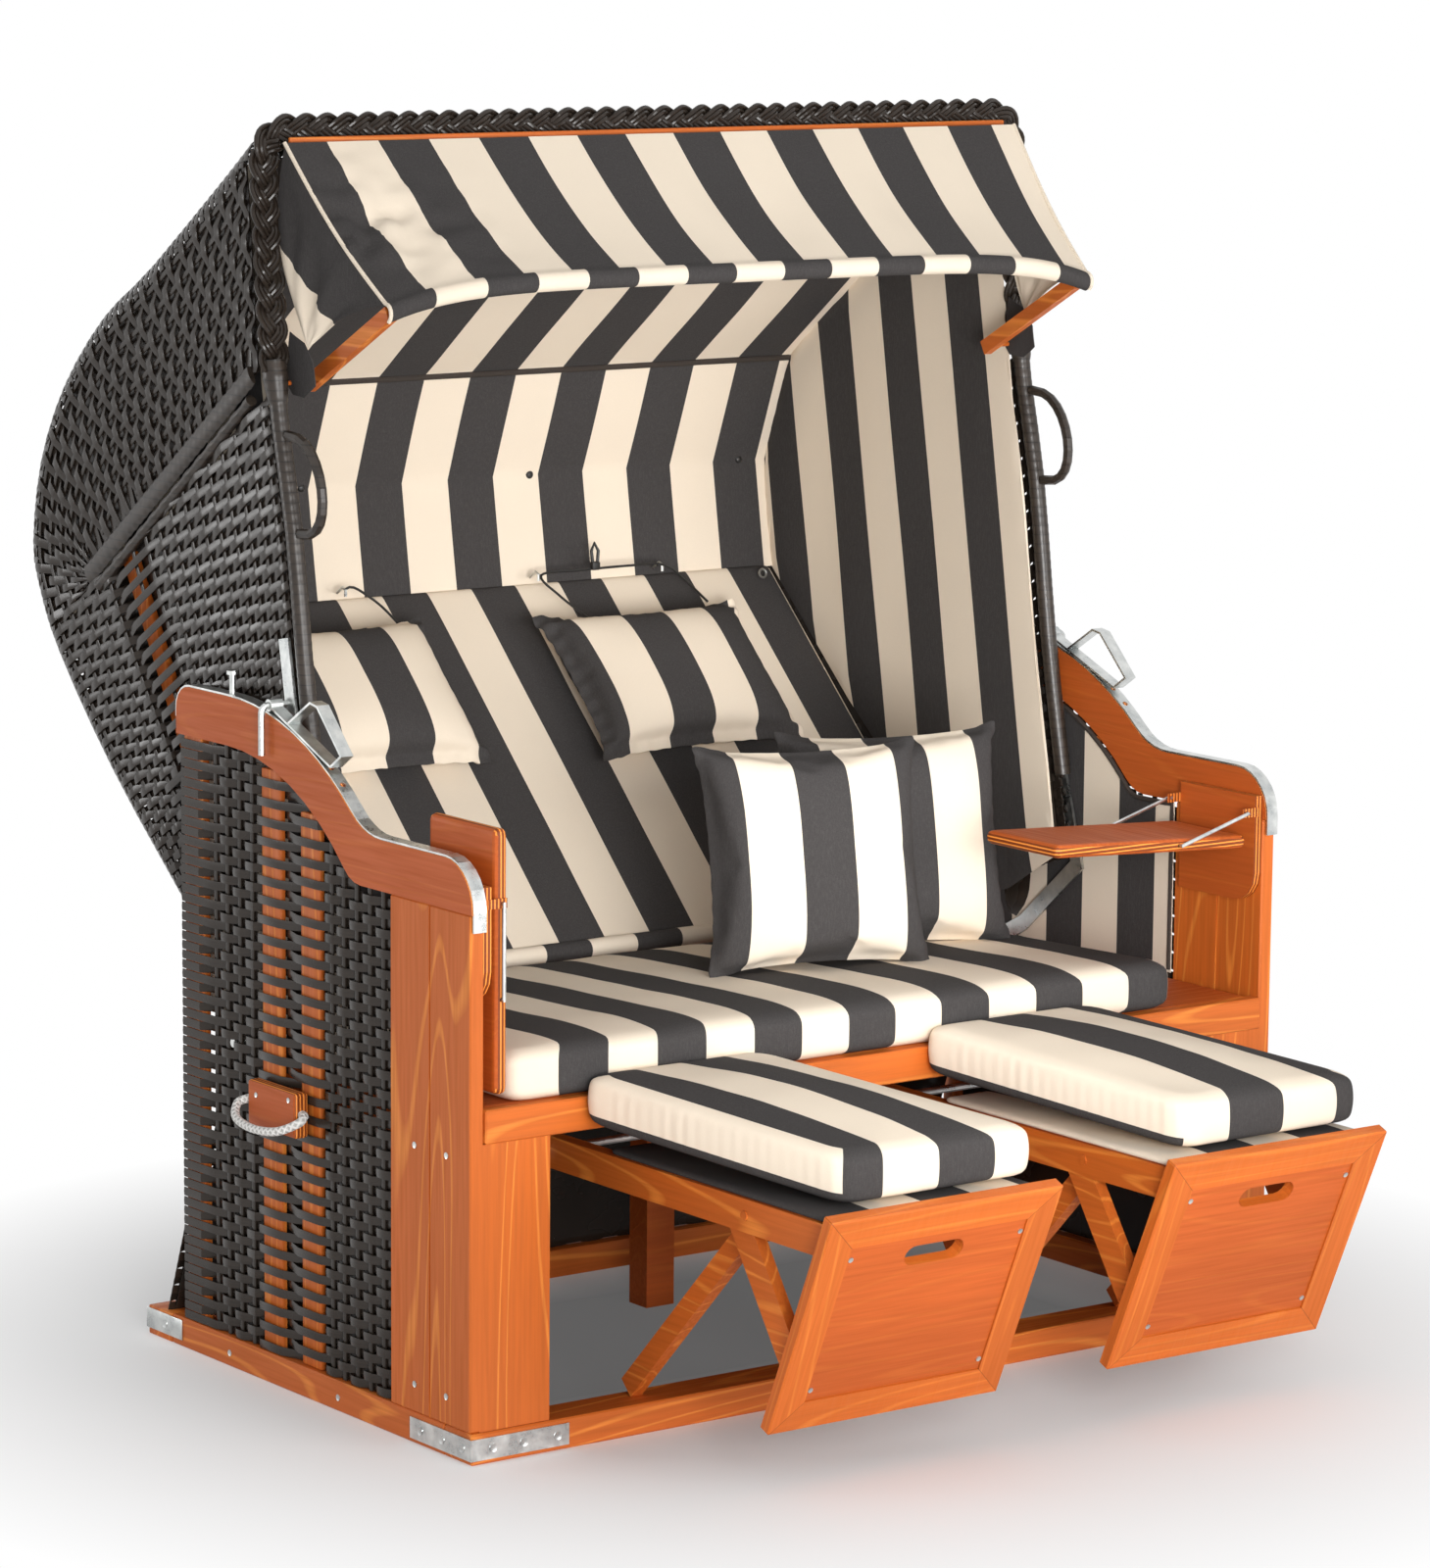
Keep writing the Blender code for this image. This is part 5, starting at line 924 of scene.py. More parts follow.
class ChairSteel(bpy.types.Operator):
    """Finishes the steel fittings, and adds screws and the rear corner brackets."""
    bl_idname = "beach_chair.steel"
    bl_label = "Steel fittings"

    def execute(self, context):
        for label, _ in SIDES:
            for name in ("corner_bracket_front_", "latch_rail_", "pivot_bar_", "latch_lever_", "table_stay_",
                         "footrest_slider_"):
                dress(name + label, "steel")
            dress("grab_handle_" + label, "tape")
        self.rear_brackets()
        self.screws()
        self.seat_rod()
        return {"FINISHED"}

    def rear_brackets(self):
        for label, side in SIDES:
            leg = bevelled_box((0.002, 0.088, 0.027), (side * (BASE_HALF + 0.0013), REAR_Y - 0.044, 0.0225),
                               width=0.0005)
            back = bevelled_box((0.142, 0.002, 0.027), (side * (BASE_HALF - 0.069), REAR_Y + 0.0013, 0.0225),
                                width=0.0005)
            keep(joined([leg, back]), "corner_bracket_rear_" + label, "steel", "base")

    def screws(self):
        heads = []
        for _, side in SIDES:
            face = side * (BASE_HALF + 0.0026)
            for y in (0.018, 0.062, 0.110):
                heads.append(screw_head((face, y, 0.0195), (side, 0, 0), 0.0055))
            for inset in (0.030, 0.075, 0.125):
                heads.append(screw_head((side * (BASE_HALF - inset), -0.0026, 0.0195), (0, -1, 0), 0.0055))
            heads.append(screw_head((face, REAR_Y - 0.045, 0.0225), (side, 0, 0), 0.0055))
            for y, z in ((0.055, 0.375), (0.125, 0.375), (0.055, 0.075), (0.125, 0.075)):
                heads.append(screw_head((side * (BASE_HALF + 0.0003), y, z), (side, 0, 0)))
            for y in (0.30, 0.56):
                heads.append(screw_head((side * (BASE_HALF + 0.0003), y, 0.018), (side, 0, 0)))
            for y, z in ((0.385, 0.385), (0.385, 0.350), (0.462, 0.378)):
                heads.append(screw_head((side * (PANEL_OUTER + 0.0205), y, z), (side, 0, 0), 0.0035))
        keep(joined(heads), "base_screws", "steel", "base")
        down, back = foot_axes()
        for (label, _), centre in zip(SIDES, FOOT_CENTRES):
            heads = []
            for along, away in ((0.060, -0.128), (0.060, 0.128), (0.250, -0.128), (0.250, 0.128)):
                spot = FOOT_PANEL_TOP + down * along + back * 0.0017
                heads.append(screw_head((centre + away, *spot), (0, -back.x, -back.y), 0.0036))
            keep(joined(heads), "footrest_screws_" + label, "steel", "footrest_" + label)

    def seat_rod(self):
        """The thin brace under the seat, from the rear sill up to the front rail's end."""
        rod = tube_piece([(-0.50, 0.10, 0.255), (-0.44, 0.22, 0.33), (-0.40, 0.32, 0.385)], 0.002, 8)
        keep(rod, "seat_brace_rod", "steel", "base")


def foot_axes():
    turn = math.radians(FOOT_LEAN)
    return Vector((math.sin(turn), -math.cos(turn))), Vector((math.cos(turn), math.sin(turn)))


class ChairWeave(bpy.types.Operator):
    """Weaves the side panels, the rear wall and the hood from plastic straps."""
    bl_idname = "beach_chair.weave"
    bl_label = "Woven wicker"

    def execute(self, context):
        self.strap = looks("wicker").strap
        for label, side in SIDES:
            self.side_panel(label, side)
            self.hood_side(label, side)
        self.rear_wall()
        self.hood_back()
        return {"FINISHED"}

    def side_panel(self, label, side):
        """Level straps over narrow uprights and two wooden slats, wrapped round the rear post."""
        front, rear = POST_DEPTH + 0.001, BASE_DEPTH - 0.001
        middle = PANEL_OUTER - 0.006
        out = Vector((side, 0, 0))
        pitch = 0.01255
        count = int((PIVOT_Z + ARMREST_RADIUS - ARMREST_BAND - SILL_HEIGHT) / pitch)
        uprights = [0.207, 0.237, 0.267, 0.297, 0.324, 0.3745, 0.4665, 0.512, 0.542, 0.572, 0.600]
        slats = (0.3745, 0.4665)
        posts = uprights[:-1]
        bm, chart = blank_mesh()
        for row in range(count + 1):
            z = SILL_HEIGHT + 0.007 + pitch * row
            low_y = front
            while low_y < rear and armrest_lower_z(low_y) < z + 0.004:
                low_y += 0.004
            if low_y > rear - 0.05:
                continue
            points, outs = [Vector((side * (middle - 0.003), low_y, z))], [out]
            for index, y in enumerate(posts):
                if y < low_y + 0.01:
                    continue
                over = (row + index) % 2 == 0
                reach = 0.025 if y in slats else 0.009
                lift = 0.0042 if over else (-0.009 if y in slats else -0.0028)
                for offset in (-reach, reach):
                    points.append(Vector((side * (middle + lift), y + offset, z)))
                    outs.append(out)
            over = row % 2 == 0
            lift = 0.004 if over else -0.006
            points += [Vector((side * (middle + proud), y, z)) for proud, y in (
                (lift, 0.600), (lift, 0.622), (0.005, 0.634), (0.005, rear))]
            outs += [out] * 4
            ribbon(bm, chart, points, outs, self.strap, STRAP_THICKNESS, row)
        for index, y in enumerate(uprights):
            if y in slats:
                continue
            top = armrest_lower_z(y) - 0.002
            points = [Vector((side * middle, y, SILL_HEIGHT + 0.001)), Vector((side * middle, y, top))]
            ribbon(bm, chart, points, [out, out], 0.008, 0.003, index + 0.4)

        def inner(a, b):
            y = lerp(front, rear - 0.05, a)
            return Vector((side * middle, y, lerp(SILL_HEIGHT + 0.001, armrest_lower_z(y) - 0.002, b))), out

        # Painted shade: a dark sheet inside the panel's straps stands in for the shadow seen through their
        # gaps.
        shade_backing(bm, inner, 0.0, 1.0, 0.0128)
        weave = from_bmesh(bm, outward=True)
        keep(weave, "side_weave_" + label, "wicker", "base", ["side_panel_" + label])
        slat_pieces = []
        for y in slats:
            top = armrest_lower_z(y - 0.0225) - 0.001
            height = top - SILL_HEIGHT - 0.001
            slat_pieces.append(bevelled_box((0.008, 0.045, height),
                                            (side * (middle - 0.004), y, SILL_HEIGHT + 0.0005 + height / 2)))
        post = bevelled_box((0.012, 0.044, PIVOT_Z + ARMREST_RADIUS - ARMREST_BAND - SILL_HEIGHT - 0.002),
                            (side * (middle - 0.004), rear - 0.024,
                             (PIVOT_Z + ARMREST_RADIUS - ARMREST_BAND + SILL_HEIGHT) / 2))
        keep(joined(slat_pieces + [post]), "side_slats_" + label, "pine_Z", "base")

    def hood_side(self, label, side):
        """Two fans of straps, above and below the wrapped rib."""
        out = Vector((side, 0, 0))
        face = HOOD_HALF - 0.0035
        rim = Line(shell_profile(SHELL_CORNER - 0.004))
        rib_front, rib_rear = shell_share(0.010, 0.722), shell_share(0.700, 0.472)
        slope = (rib_rear - rib_front).normalized()
        elbow = max(range(len(rim.points)), key=lambda i: -abs((rim.points[i] - rib_front).cross(slope))
                    if rim.points[i].x > rib_rear.x else -9)
        elbow_share = rim.share_of(elbow)
        upper_rim = Line([rim.at(elbow_share * i / 40) for i in range(41)])
        lower_rim = Line([rim.at(elbow_share + (1 - elbow_share) * i / 40) for i in range(41)])
        front_edge = Line([(front_y(z) + 0.012, z) for z in
                           [1.262 - (1.262 - SIDE_FOOT_Z) * i / 30 for i in range(31)]])
        focus = rib_rear + Vector((-0.004, 0.018))

        def upper(s, t):
            high = upper_rim.at(t)
            reach = t / 0.74
            if reach < 1:
                low = (rib_front - slope * 0.040).lerp(focus, reach)
            else:
                low = focus + Vector((0.012, -0.034)) * (reach - 1) / 0.35
            spot = high.lerp(low, s)
            return Vector((side * face, spot.x, spot.y)), out

        def lower(s, t):
            spot = lower_rim.at(t).lerp(front_edge.at(t), s)
            sag = math.sin(math.pi * s) * (0.010 * min(t * 6, 1) * (1 - t) - 0.010 * t)
            return Vector((side * face, spot.x, spot.y - sag)), out

        bm, chart = blank_mesh()
        count = 46
        spokes = {}
        for row in range(1, count + 1):
            t = row / count
            start, end = upper(0, t)[0], upper(1, t)[0]
            length = (end - start).length
            crossings, index = [], 0
            while 0.014 + 0.029 * index < length - 0.014:
                place = (0.014 + 0.029 * index) / length
                crossings.append((place, 0.0085 / length, 0.0032 if (row + index) % 2 == 0 else -0.0028))
                spokes.setdefault(index, []).append(upper(place, t)[0])
                index += 1
            points, outs = strap_path(upper, t, crossings)
            beside = [upper((point - start).length / length, t - 1 / count)[0] for point in points]
            widths = [max(min(self.strap * 1.08, (point - other).length * 0.9), 0.002)
                      for point, other in zip(points, beside)]
            ribbon(bm, chart, points, outs, widths, STRAP_THICKNESS, row)
        for index, points in spokes.items():
            if len(points) > 3:
                ribbon(bm, chart, points, [out] * len(points), 0.0065, 0.002, index + 0.4)
        # Painted shade: a dark sheet behind the upper fan stands in for the shadow seen through its gaps.
        shade_backing(bm, upper, 0.02, 0.99, 0.007)
        slat_start, slat_end = shell_share(0.550, 0.500), shell_share(0.118, 0.150)
        slat_way = (slat_end - slat_start).normalized()
        stations = [(i + 0.5) / 17 for i in range(17)]
        rows = 58
        for row in range(1, rows):
            t = row / rows
            length = (lower(1, t)[0] - lower(0, t)[0]).length
            crossing = None
            previous = None
            for step in range(101):
                spot = lower(step / 100, t)[0]
                off = (Vector((spot.y, spot.z)) - slat_start).cross(slat_way)
                if previous is not None and previous * off < 0:
                    along = (Vector((spot.y, spot.z)) - slat_start).dot(slat_way)
                    if 0 < along < (slat_end - slat_start).length:
                        crossing = step / 100
                previous = off
            crossings = []
            for index, place in enumerate(stations):
                if crossing is not None and abs(place - crossing) * length < 0.030:
                    continue
                crossings.append((place, 0.0085 / length, 0.0030 if (row + index) % 2 == 0 else -0.0028))
            if crossing is not None:
                crossings.append((crossing, 0.017 / length, 0.0035 if row % 2 else -0.0215))
                crossings.sort()
            points, outs = strap_path(lower, t, crossings)
            ribbon(bm, chart, points, outs, self.strap * 0.98, STRAP_THICKNESS, row)
        for index, place in enumerate(stations):
            points = [lower(place, row / rows)[0] for row in range(1, rows, 2)]
            kept = [p for p in points if (Vector((p.y, p.z)) - slat_start).cross(slat_way) ** 2 > 0.022 ** 2]
            for run in split_runs(kept, 0.06):
                if len(run) > 2:
                    ribbon(bm, chart, run, [out] * len(run), 0.0075, 0.002, index + 0.4)
        # Painted shade: a dark sheet behind the lower fan stands in for the shadow seen through its gaps.
        shade_backing(bm, lower, 0.012, 0.985, 0.0178)
        weave = from_bmesh(bm, outward=True)
        keep(weave, "hood_side_weave_" + label, "wicker", "hood", ["hood_side_" + label])
        self.rib(label, side, face, rib_front - slope * 0.020, rib_rear + slope * 0.004, slope)

    def rib(self, label, side, face, front, rear, slope):
        """The wrapped rib with the round bar below it, and the bare wooden slat."""
        down = Vector((slope.y, -slope.x))
        if down.y > 0:
            down = -down
        bm, chart = blank_mesh()
        count = int((rear - front).length / 0.004)
        points = [front.lerp(rear, i / count) for i in range(count + 1)]
        radii = [0.0130 + 0.0016 * (i % 4) / 3 for i in range(count + 1)]
        tube(bm, chart, [(side * (face + 0.0012), p.x, p.y) for p in points], radii, 12, 0.30,
             Vector((0, down.x, down.y)))
        bar = [p + down * 0.0255 for p in points[5:-4]]
        tube(bm, chart, [(side * (face + 0.0005), p.x, p.y) for p in bar],
             [0.0066 + (0.0010 if i % 9 < 4 else 0.0) for i in range(len(bar))], 10)
        keep(from_bmesh(bm, outward=True), "hood_rib_" + label, "tape", "hood")
        start, end = shell_share(0.550, 0.500), shell_share(0.118, 0.150)
        along = (end - start).normalized()
        turn = Matrix.Rotation(math.atan2(along.y, along.x), 4, "X")
        middle = (start + end) / 2
        slat = bevelled_box((0.010, (end - start).length, 0.030),
                            (side * (face - 0.0115), middle.x, middle.y), turn)
        keep(slat, "hood_slat_" + label, "pine_Z", "hood")

    def rear_wall(self):
        top, foot = Vector((0.602, 0.375)), Vector((REAR_Y - 0.040, SILL_HEIGHT))
        lean = (foot - top).normalized()
        out = Vector((0, -lean.y, lean.x))
        half = INNER_HALF - 0.002

        def wall(s, t):
            spot = top.lerp(foot, t)
            past_panels = min(max((spot.x - BASE_DEPTH - 0.001) / 0.004, 0.0), 1.0)
            wide = half + (BASE_HALF - 0.006 - half) * past_panels
            return Vector((lerp(-wide, wide, s), spot.x, spot.y)), out

        rows = [(i + 0.5) / 28 for i in range(28)]
        stations = [(i + 0.5) / 42 for i in range(42)]
        # Painted shade: the weave gets a dark sheet behind its straps, standing in for the shadow seen
        # through the gaps.
        weave = woven(wall, rows, stations, 0.0126, 0.012, 0.0022, shade_backed=True)
        keep(weave, "rear_wall_weave", "wicker", "base", ["rear_wall"])
        sill = bevelled_box((2 * BASE_HALF, REAR_SILL_DEPTH, SILL_HEIGHT),
                            (0, REAR_Y - REAR_SILL_DEPTH / 2, SILL_HEIGHT / 2))
        rail = bevelled_box((2 * half, 0.016, 0.030), (0, 0.600, 0.380))
        keep(joined([sill, rail]), "rear_sill", "pine_X", "base")

    def hood_back(self):
        """Straps across the roof and back, which turn forward round both long edges."""
        section = []
        for step in range(4):
            turn = math.pi / 2 * step / 4
            section.append((HOOD_HALF - SHELL_CORNER + SHELL_CORNER * math.cos(turn),
                            SHELL_CORNER * (1 - math.sin(turn)), Vector((math.cos(turn), math.sin(turn)))))
        insets = {inset: Line(shell_profile(inset + 0.004)) for _, inset, _ in section}
        flat = Line(shell_profile(0.004))
        length = flat.lengths[-1]
        half = HOOD_HALF - SHELL_CORNER
        count = 39
        stations = [lerp(-half, half, (i + 0.5) / count) for i in range(count)]
        bm, chart = blank_mesh()

        def out_at(line, share):
            before, after = line.at(share - 0.004), line.at(share + 0.004)
            along = (after - before).normalized()
            return Vector((0, -along.y, along.x))

        share, row = 0.004, 0
        while share < 0.999:
            outward = out_at(flat, share)
            points, outs = [], []
            for x, inset, lean in section:
                spot = insets[inset].at(share)
                points.append(Vector((-x + 0.003, spot.x, spot.y)))
                outs.append((Vector((-lean.x, 0, 0)) + outward * lean.y).normalized())
            spot = flat.at(share)
            for index, x in enumerate(stations):
                lift = 0.0026 if (row + index) % 2 == 0 else -0.0026
                for offset in (-0.28, 0.28):
                    points.append(Vector((x + offset * 2 * half / count, spot.x, spot.y)) + outward * lift)
                    outs.append(outward)
            for x, inset, lean in section[::-1]:
                spot = insets[inset].at(share)
                points.append(Vector((x - 0.003, spot.x, spot.y)))
                outs.append((Vector((lean.x, 0, 0)) + outward * lean.y).normalized())
            ribbon(bm, chart, points, outs, self.strap, STRAP_THICKNESS, row)
            pitch = 0.0158 if share < 0.42 else 0.0125
            share += pitch / length
            row += 1
        shares = [i / 60 for i in range(61)]
        for index, x in enumerate(stations):
            points = [Vector((x, *flat.at(value))) for value in shares]
            outs = [out_at(flat, value) for value in shares]
            ribbon(bm, chart, points, outs, 0.008, 0.002, index + 0.4)
        weave = from_bmesh(bm, outward=True)
        keep(weave, "hood_back_weave", "wicker", "hood", ["hood_back"])


class ChairPlait(bpy.types.Operator):
    """Plaits the hood's front edge, and winds strap round its tube."""
    bl_idname = "beach_chair.plait"
    bl_label = "Plaited edge"

    def execute(self, context):
        path = resample(arch_points(BRAID_FOOT_Z), 0.0035)
        rod = looks("wicker").rod
        period, sway, depth = 0.0915, 0.0130, 0.0044
        forward = Vector((0, -1, 0))
        bm, chart = blank_mesh()
        reach, reaches = 0.0, [0.0]
        for a, b in zip(path, path[1:]):
            reach += (b - a).length
            reaches.append(reach)
        for strand in range(3):
            for lane in (-1, 0, 1):
                points = []
                for index, place in enumerate(path):
                    along = (path[min(index + 1, len(path) - 1)] - path[max(index - 1, 0)]).normalized()
                    side = along.cross(forward).normalized()
                    front = side.cross(along).normalized()
                    phase = math.tau * (reaches[index] / period + strand / 3)
                    slope = sway * math.tau / period * math.cos(phase)
                    away = lane * rod * 1.9 / math.sqrt(1 + slope ** 2)
                    offset = side * (sway * math.sin(phase) + away) + front * depth * math.sin(2 * phase)
                    offset += along * (-away * slope)
                    points.append(place + offset)
                tube(bm, chart, points, rod, 8)
        keep(from_bmesh(bm, outward=True), "hood_plait", "plait", "hood", ["hood_braid"])
        self.wound_tubes()
        return {"FINISHED"}

    def wound_tubes(self):
        pieces = []
        behind = Vector((0, 0.0045, 0))
        core = tube_piece([place + behind for place in resample(arch_points(BRAID_FOOT_Z), 0.012)], 0.0040, 8)
        pieces.append(core)
        for _, side in SIDES:
            line = [Vector((side * TUBE_HALF, y, z)) for y, z in FRONT_PATH if z < BRAID_FOOT_Z]
            line.append(Vector((side * TUBE_HALF, front_y(BRAID_FOOT_Z), BRAID_FOOT_Z)))
            line.append(Vector((side * TUBE_HALF, front_y(BRAID_FOOT_Z + 0.012), BRAID_FOOT_Z + 0.012)))
            line = resample(line, 0.0031)
            radii = []
            for index, point in enumerate(line):
                radius = 0.0110 + 0.0004 * (index % 4) / 3
                swell = max(0.0, 1 - abs(point.z - BRAID_FOOT_Z + 0.008) / 0.035)
                radii.append(radius + 0.0055 * swell ** 0.7)
            pieces.append(tube_piece(line, radii, 16))
        keep(joined(pieces), "hood_wound_tube", "tape", "hood", ["hood_frame"], smooth=30)


class ChairLinings(bpy.types.Operator):
    """Sews the striped cloth inside the hood and on the base's inner sides."""
    bl_idname = "beach_chair.linings"
    bl_label = "Linings"

    def execute(self, context):
        self.hood_lining()
        self.base_linings()
        return {"FINISHED"}

    def hood_lining(self):
        corners = (LINING_FRONT, LINING_SEAM, LINING_KINK, LINING_FOOT)
        roof = []
        for a, b in zip(corners, corners[1:]):
            steps = int((Vector(b) - Vector(a)).length / 0.012)
            roof += [Vector(a).lerp(Vector(b), i / steps) for i in range(steps)]
        roof.append(Vector(LINING_FOOT))
        bm, chart = blank_mesh()
        columns = 60
        grid = []
        for point in roof:
            line_row = []
            for column in range(columns + 1):
                x = lerp(-LINING_HALF, LINING_HALF, column / columns)
                rim = 1 - abs(x / LINING_HALF) ** 6
                ripple = 0.0022 * folds((x * 0.6, point.x, point.y), 7.0, 3.1) * rim
                line_row.append(bm.verts.new((x, point.x - ripple * 0.7 - 0.002, point.y - ripple * 0.7)))
            grid.append(line_row)
        net(bm, chart, grid, lambda i, j: ((grid[i][j].co.x + 0.1968) / 0.0765 + 1, grid[i][j].co.z))
        top = from_bmesh(bm)
        sides = []
        for _, side in SIDES:
            sides.append(self.side_cloth(side, roof))
        cloth = joined([top] + sides)
        use(cloth, "SOLIDIFY", "cloth", thickness=0.0016, offset=0.0)
        keep(cloth, "hood_lining_cloth", "canvas", "hood", ["hood_lining"])
        width = 2 * LINING_HALF
        length = Line(roof).lengths[-1]
        area = width * length + 2 * self.side_area
        area / width
        seam = Vector(LINING_SEAM)
        reach = LINING_HALF - 0.003
        welt = tube_piece([(lerp(-reach, reach, i / 12), seam.x - 0.003, seam.y - 0.003) for i in range(13)],
                          0.0045, 8)
        keep(welt, "lining_welt", "welt", "hood")

    def side_cloth(self, side, roof):
        """One side of the lining, from the roof's line down to the backrest and forward to the tube."""
        outline = [Vector(point) for point in roof[::4]]
        outline.append(roof[-1])
        outline.append(Vector((0.86, 0.735)))
        outline.append(Vector((PIVOT_Y, PIVOT_Z + SIDE_HEEL_RISE + 0.040)))
        outline.append(Vector((SIDE_HEEL_Y, SIDE_HEEL_Z + 0.040)))
        outline.append(Vector((SIDE_FOOT_Y + 0.004, SIDE_FOOT_Z + 0.01)))
        front = [Vector((front_y(z) + 0.014, z)) for z in
                 [SIDE_FOOT_Z + 0.12 + (1.26 - SIDE_FOOT_Z - 0.12) * i / 12 for i in range(13)]]
        front += [Vector((front_y(z) + 0.021, z)) for z in (1.30, 1.38, 1.46, 1.53)]
        outline += front
        bm, chart = blank_mesh()
        verts = [bm.verts.new((side * LINING_HALF, point.x, point.y)) for point in outline]
        face = bm.faces.new(verts)
        self.side_area = face.calc_area()
        bmesh.ops.triangulate(bm, faces=[face])
        for _ in range(4):
            long_edges = [edge for edge in bm.edges if edge.calc_length() > 0.045]
            bmesh.ops.subdivide_edges(bm, edges=long_edges, cuts=1)
            bmesh.ops.triangulate(bm, faces=bm.faces)
        for vert in bm.verts:
            if vert.is_boundary:
                continue
            ripple = 0.003 * folds((vert.co.y, vert.co.z * 0.25, 0), 9.0, 5.3 + side)
            vert.co.x -= side * (0.003 + ripple)
        lay_chart(bm, chart,
                  lambda spot: ((spot.y - 0.167 * (spot.z - 1.35) - 0.5742) / CLOTH_STRIPE, spot.z))
        return from_bmesh(bm, outward=True)

    def base_linings(self):
        for label, side in SIDES:
            x_outer = PANEL_INNER - 0.0005
            front, rear = POST_DEPTH + 0.001, 0.668
            bm, chart = blank_mesh()
            columns, rows = 28, 16
            grid = []
            for column in range(columns + 1):
                y = lerp(front, rear, column / columns)
                top = armrest_lower_z(y) - 0.003
                low = 0.442
                if y > 0.592:
                    low = lerp(0.442, 0.470, (y - 0.592) / 0.08)
                upward = []
                for row in range(rows + 1):
                    z = lerp(low, top, row / rows)
                    ripple = 0.0008 * folds((y, z * 0.3, 0), 14.0, 2.2)
                    upward.append(bm.verts.new((side * (x_outer - 0.0016 + ripple), y, z)))
                grid.append(upward)
            levels = list(zip(*grid))
            net(bm, chart, levels,
                lambda i, j: ((levels[i][j].co.y - 0.2187) / CLOTH_STRIPE, levels[i][j].co.z))
            bmesh.ops.recalc_face_normals(bm, faces=bm.faces)
            area = sum(face.calc_area() for face in bm.faces)
            cloth = from_bmesh(bm)
            use(cloth, "SOLIDIFY", "cloth", thickness=0.0016, offset=0.0)
            keep(cloth, "side_lining_cloth_" + label, "canvas", "base",
                 ["side_lining_" + label])
            area / 0.49
            edge = [(side * (x_outer - 0.003), front + 0.003, z) for z in (0.446, 0.55, 0.66)]
            edge += [(side * (x_outer - 0.003), y, armrest_lower_z(y) - 0.005) for y in
                     [front + 0.003 + (0.560 - front) * i / 24 for i in range(25)]]
            welt = tube_piece(resample(edge, 0.012), 0.0032, 8)
            keep(welt, "side_lining_welt_" + label, "welt", "base")


def rounded(x, y, half_x, half_y, radius):
    """Moves a point of a rectangle so that the rectangle's corners become round."""
    over_x, over_y = abs(x) - (half_x - radius), abs(y) - (half_y - radius)
    if over_x <= 0 or over_y <= 0:
        return x, y
    share = max(over_x, over_y) / math.hypot(over_x, over_y)
    return (math.copysign(half_x - radius + over_x * share, x),
            math.copysign(half_y - radius + over_y * share, y))


def edge_inset(level, thickness, radius):
    """How far a cushion's side stands back at a level from -1 to 1, for a rounded edge."""
    start = 1 - 2 * radius / thickness
    turn = max(0.0, (abs(level) - start) / (1 - start))
    return radius * (1 - math.sqrt(max(0.0, 1 - turn * turn)))


def grid_cushion(columns, rows, levels, place, chart_of):
    """A closed padded form: place gives a point for -1 to 1 across, along and up, chart_of its stripes."""
    bm, chart = blank_mesh()
    verts = {}

    def vert(i, j, k):
        if (i, j, k) not in verts:
            u, v, w = 2 * i / columns - 1, 2 * j / rows - 1, 2 * k / levels - 1
            verts[i, j, k] = bm.verts.new(place(u, v, w))
        return verts[i, j, k]

    def add(cells, side):
        face = bm.faces.new([vert(*cell) for cell in cells])
        for loop, (i, j, k) in zip(face.loops, cells):
            loop[chart].uv = chart_of(2 * i / columns - 1, 2 * j / rows - 1, 2 * k / levels - 1, side)

    for i in range(columns):
        for j in range(rows):
            add([(i, j, levels), (i + 1, j, levels), (i + 1, j + 1, levels), (i, j + 1, levels)], "top")
            add([(i, j, 0), (i, j + 1, 0), (i + 1, j + 1, 0), (i + 1, j, 0)], "bottom")
    for k in range(levels):
        for i in range(columns):
            add([(i, 0, k), (i + 1, 0, k), (i + 1, 0, k + 1), (i, 0, k + 1)], "front")
            add([(i, rows, k), (i, rows, k + 1), (i + 1, rows, k + 1), (i + 1, rows, k)], "back")
        for j in range(rows):
            add([(0, j, k), (0, j, k + 1), (0, j + 1, k + 1), (0, j + 1, k)], "left")
            add([(columns, j, k), (columns, j + 1, k), (columns, j + 1, k + 1), (columns, j, k + 1)], "right")
    return from_bmesh(bm)


def padded_cover(form, stem, end, body):
    """Rounds a padded form, and keeps it as the cover of the node with the same name."""
    use(form, "SUBSURF", "round", levels=1, render_levels=1)
    keep(form, stem + "_cover" + end, "canvas", body, [stem + end], smooth=60)


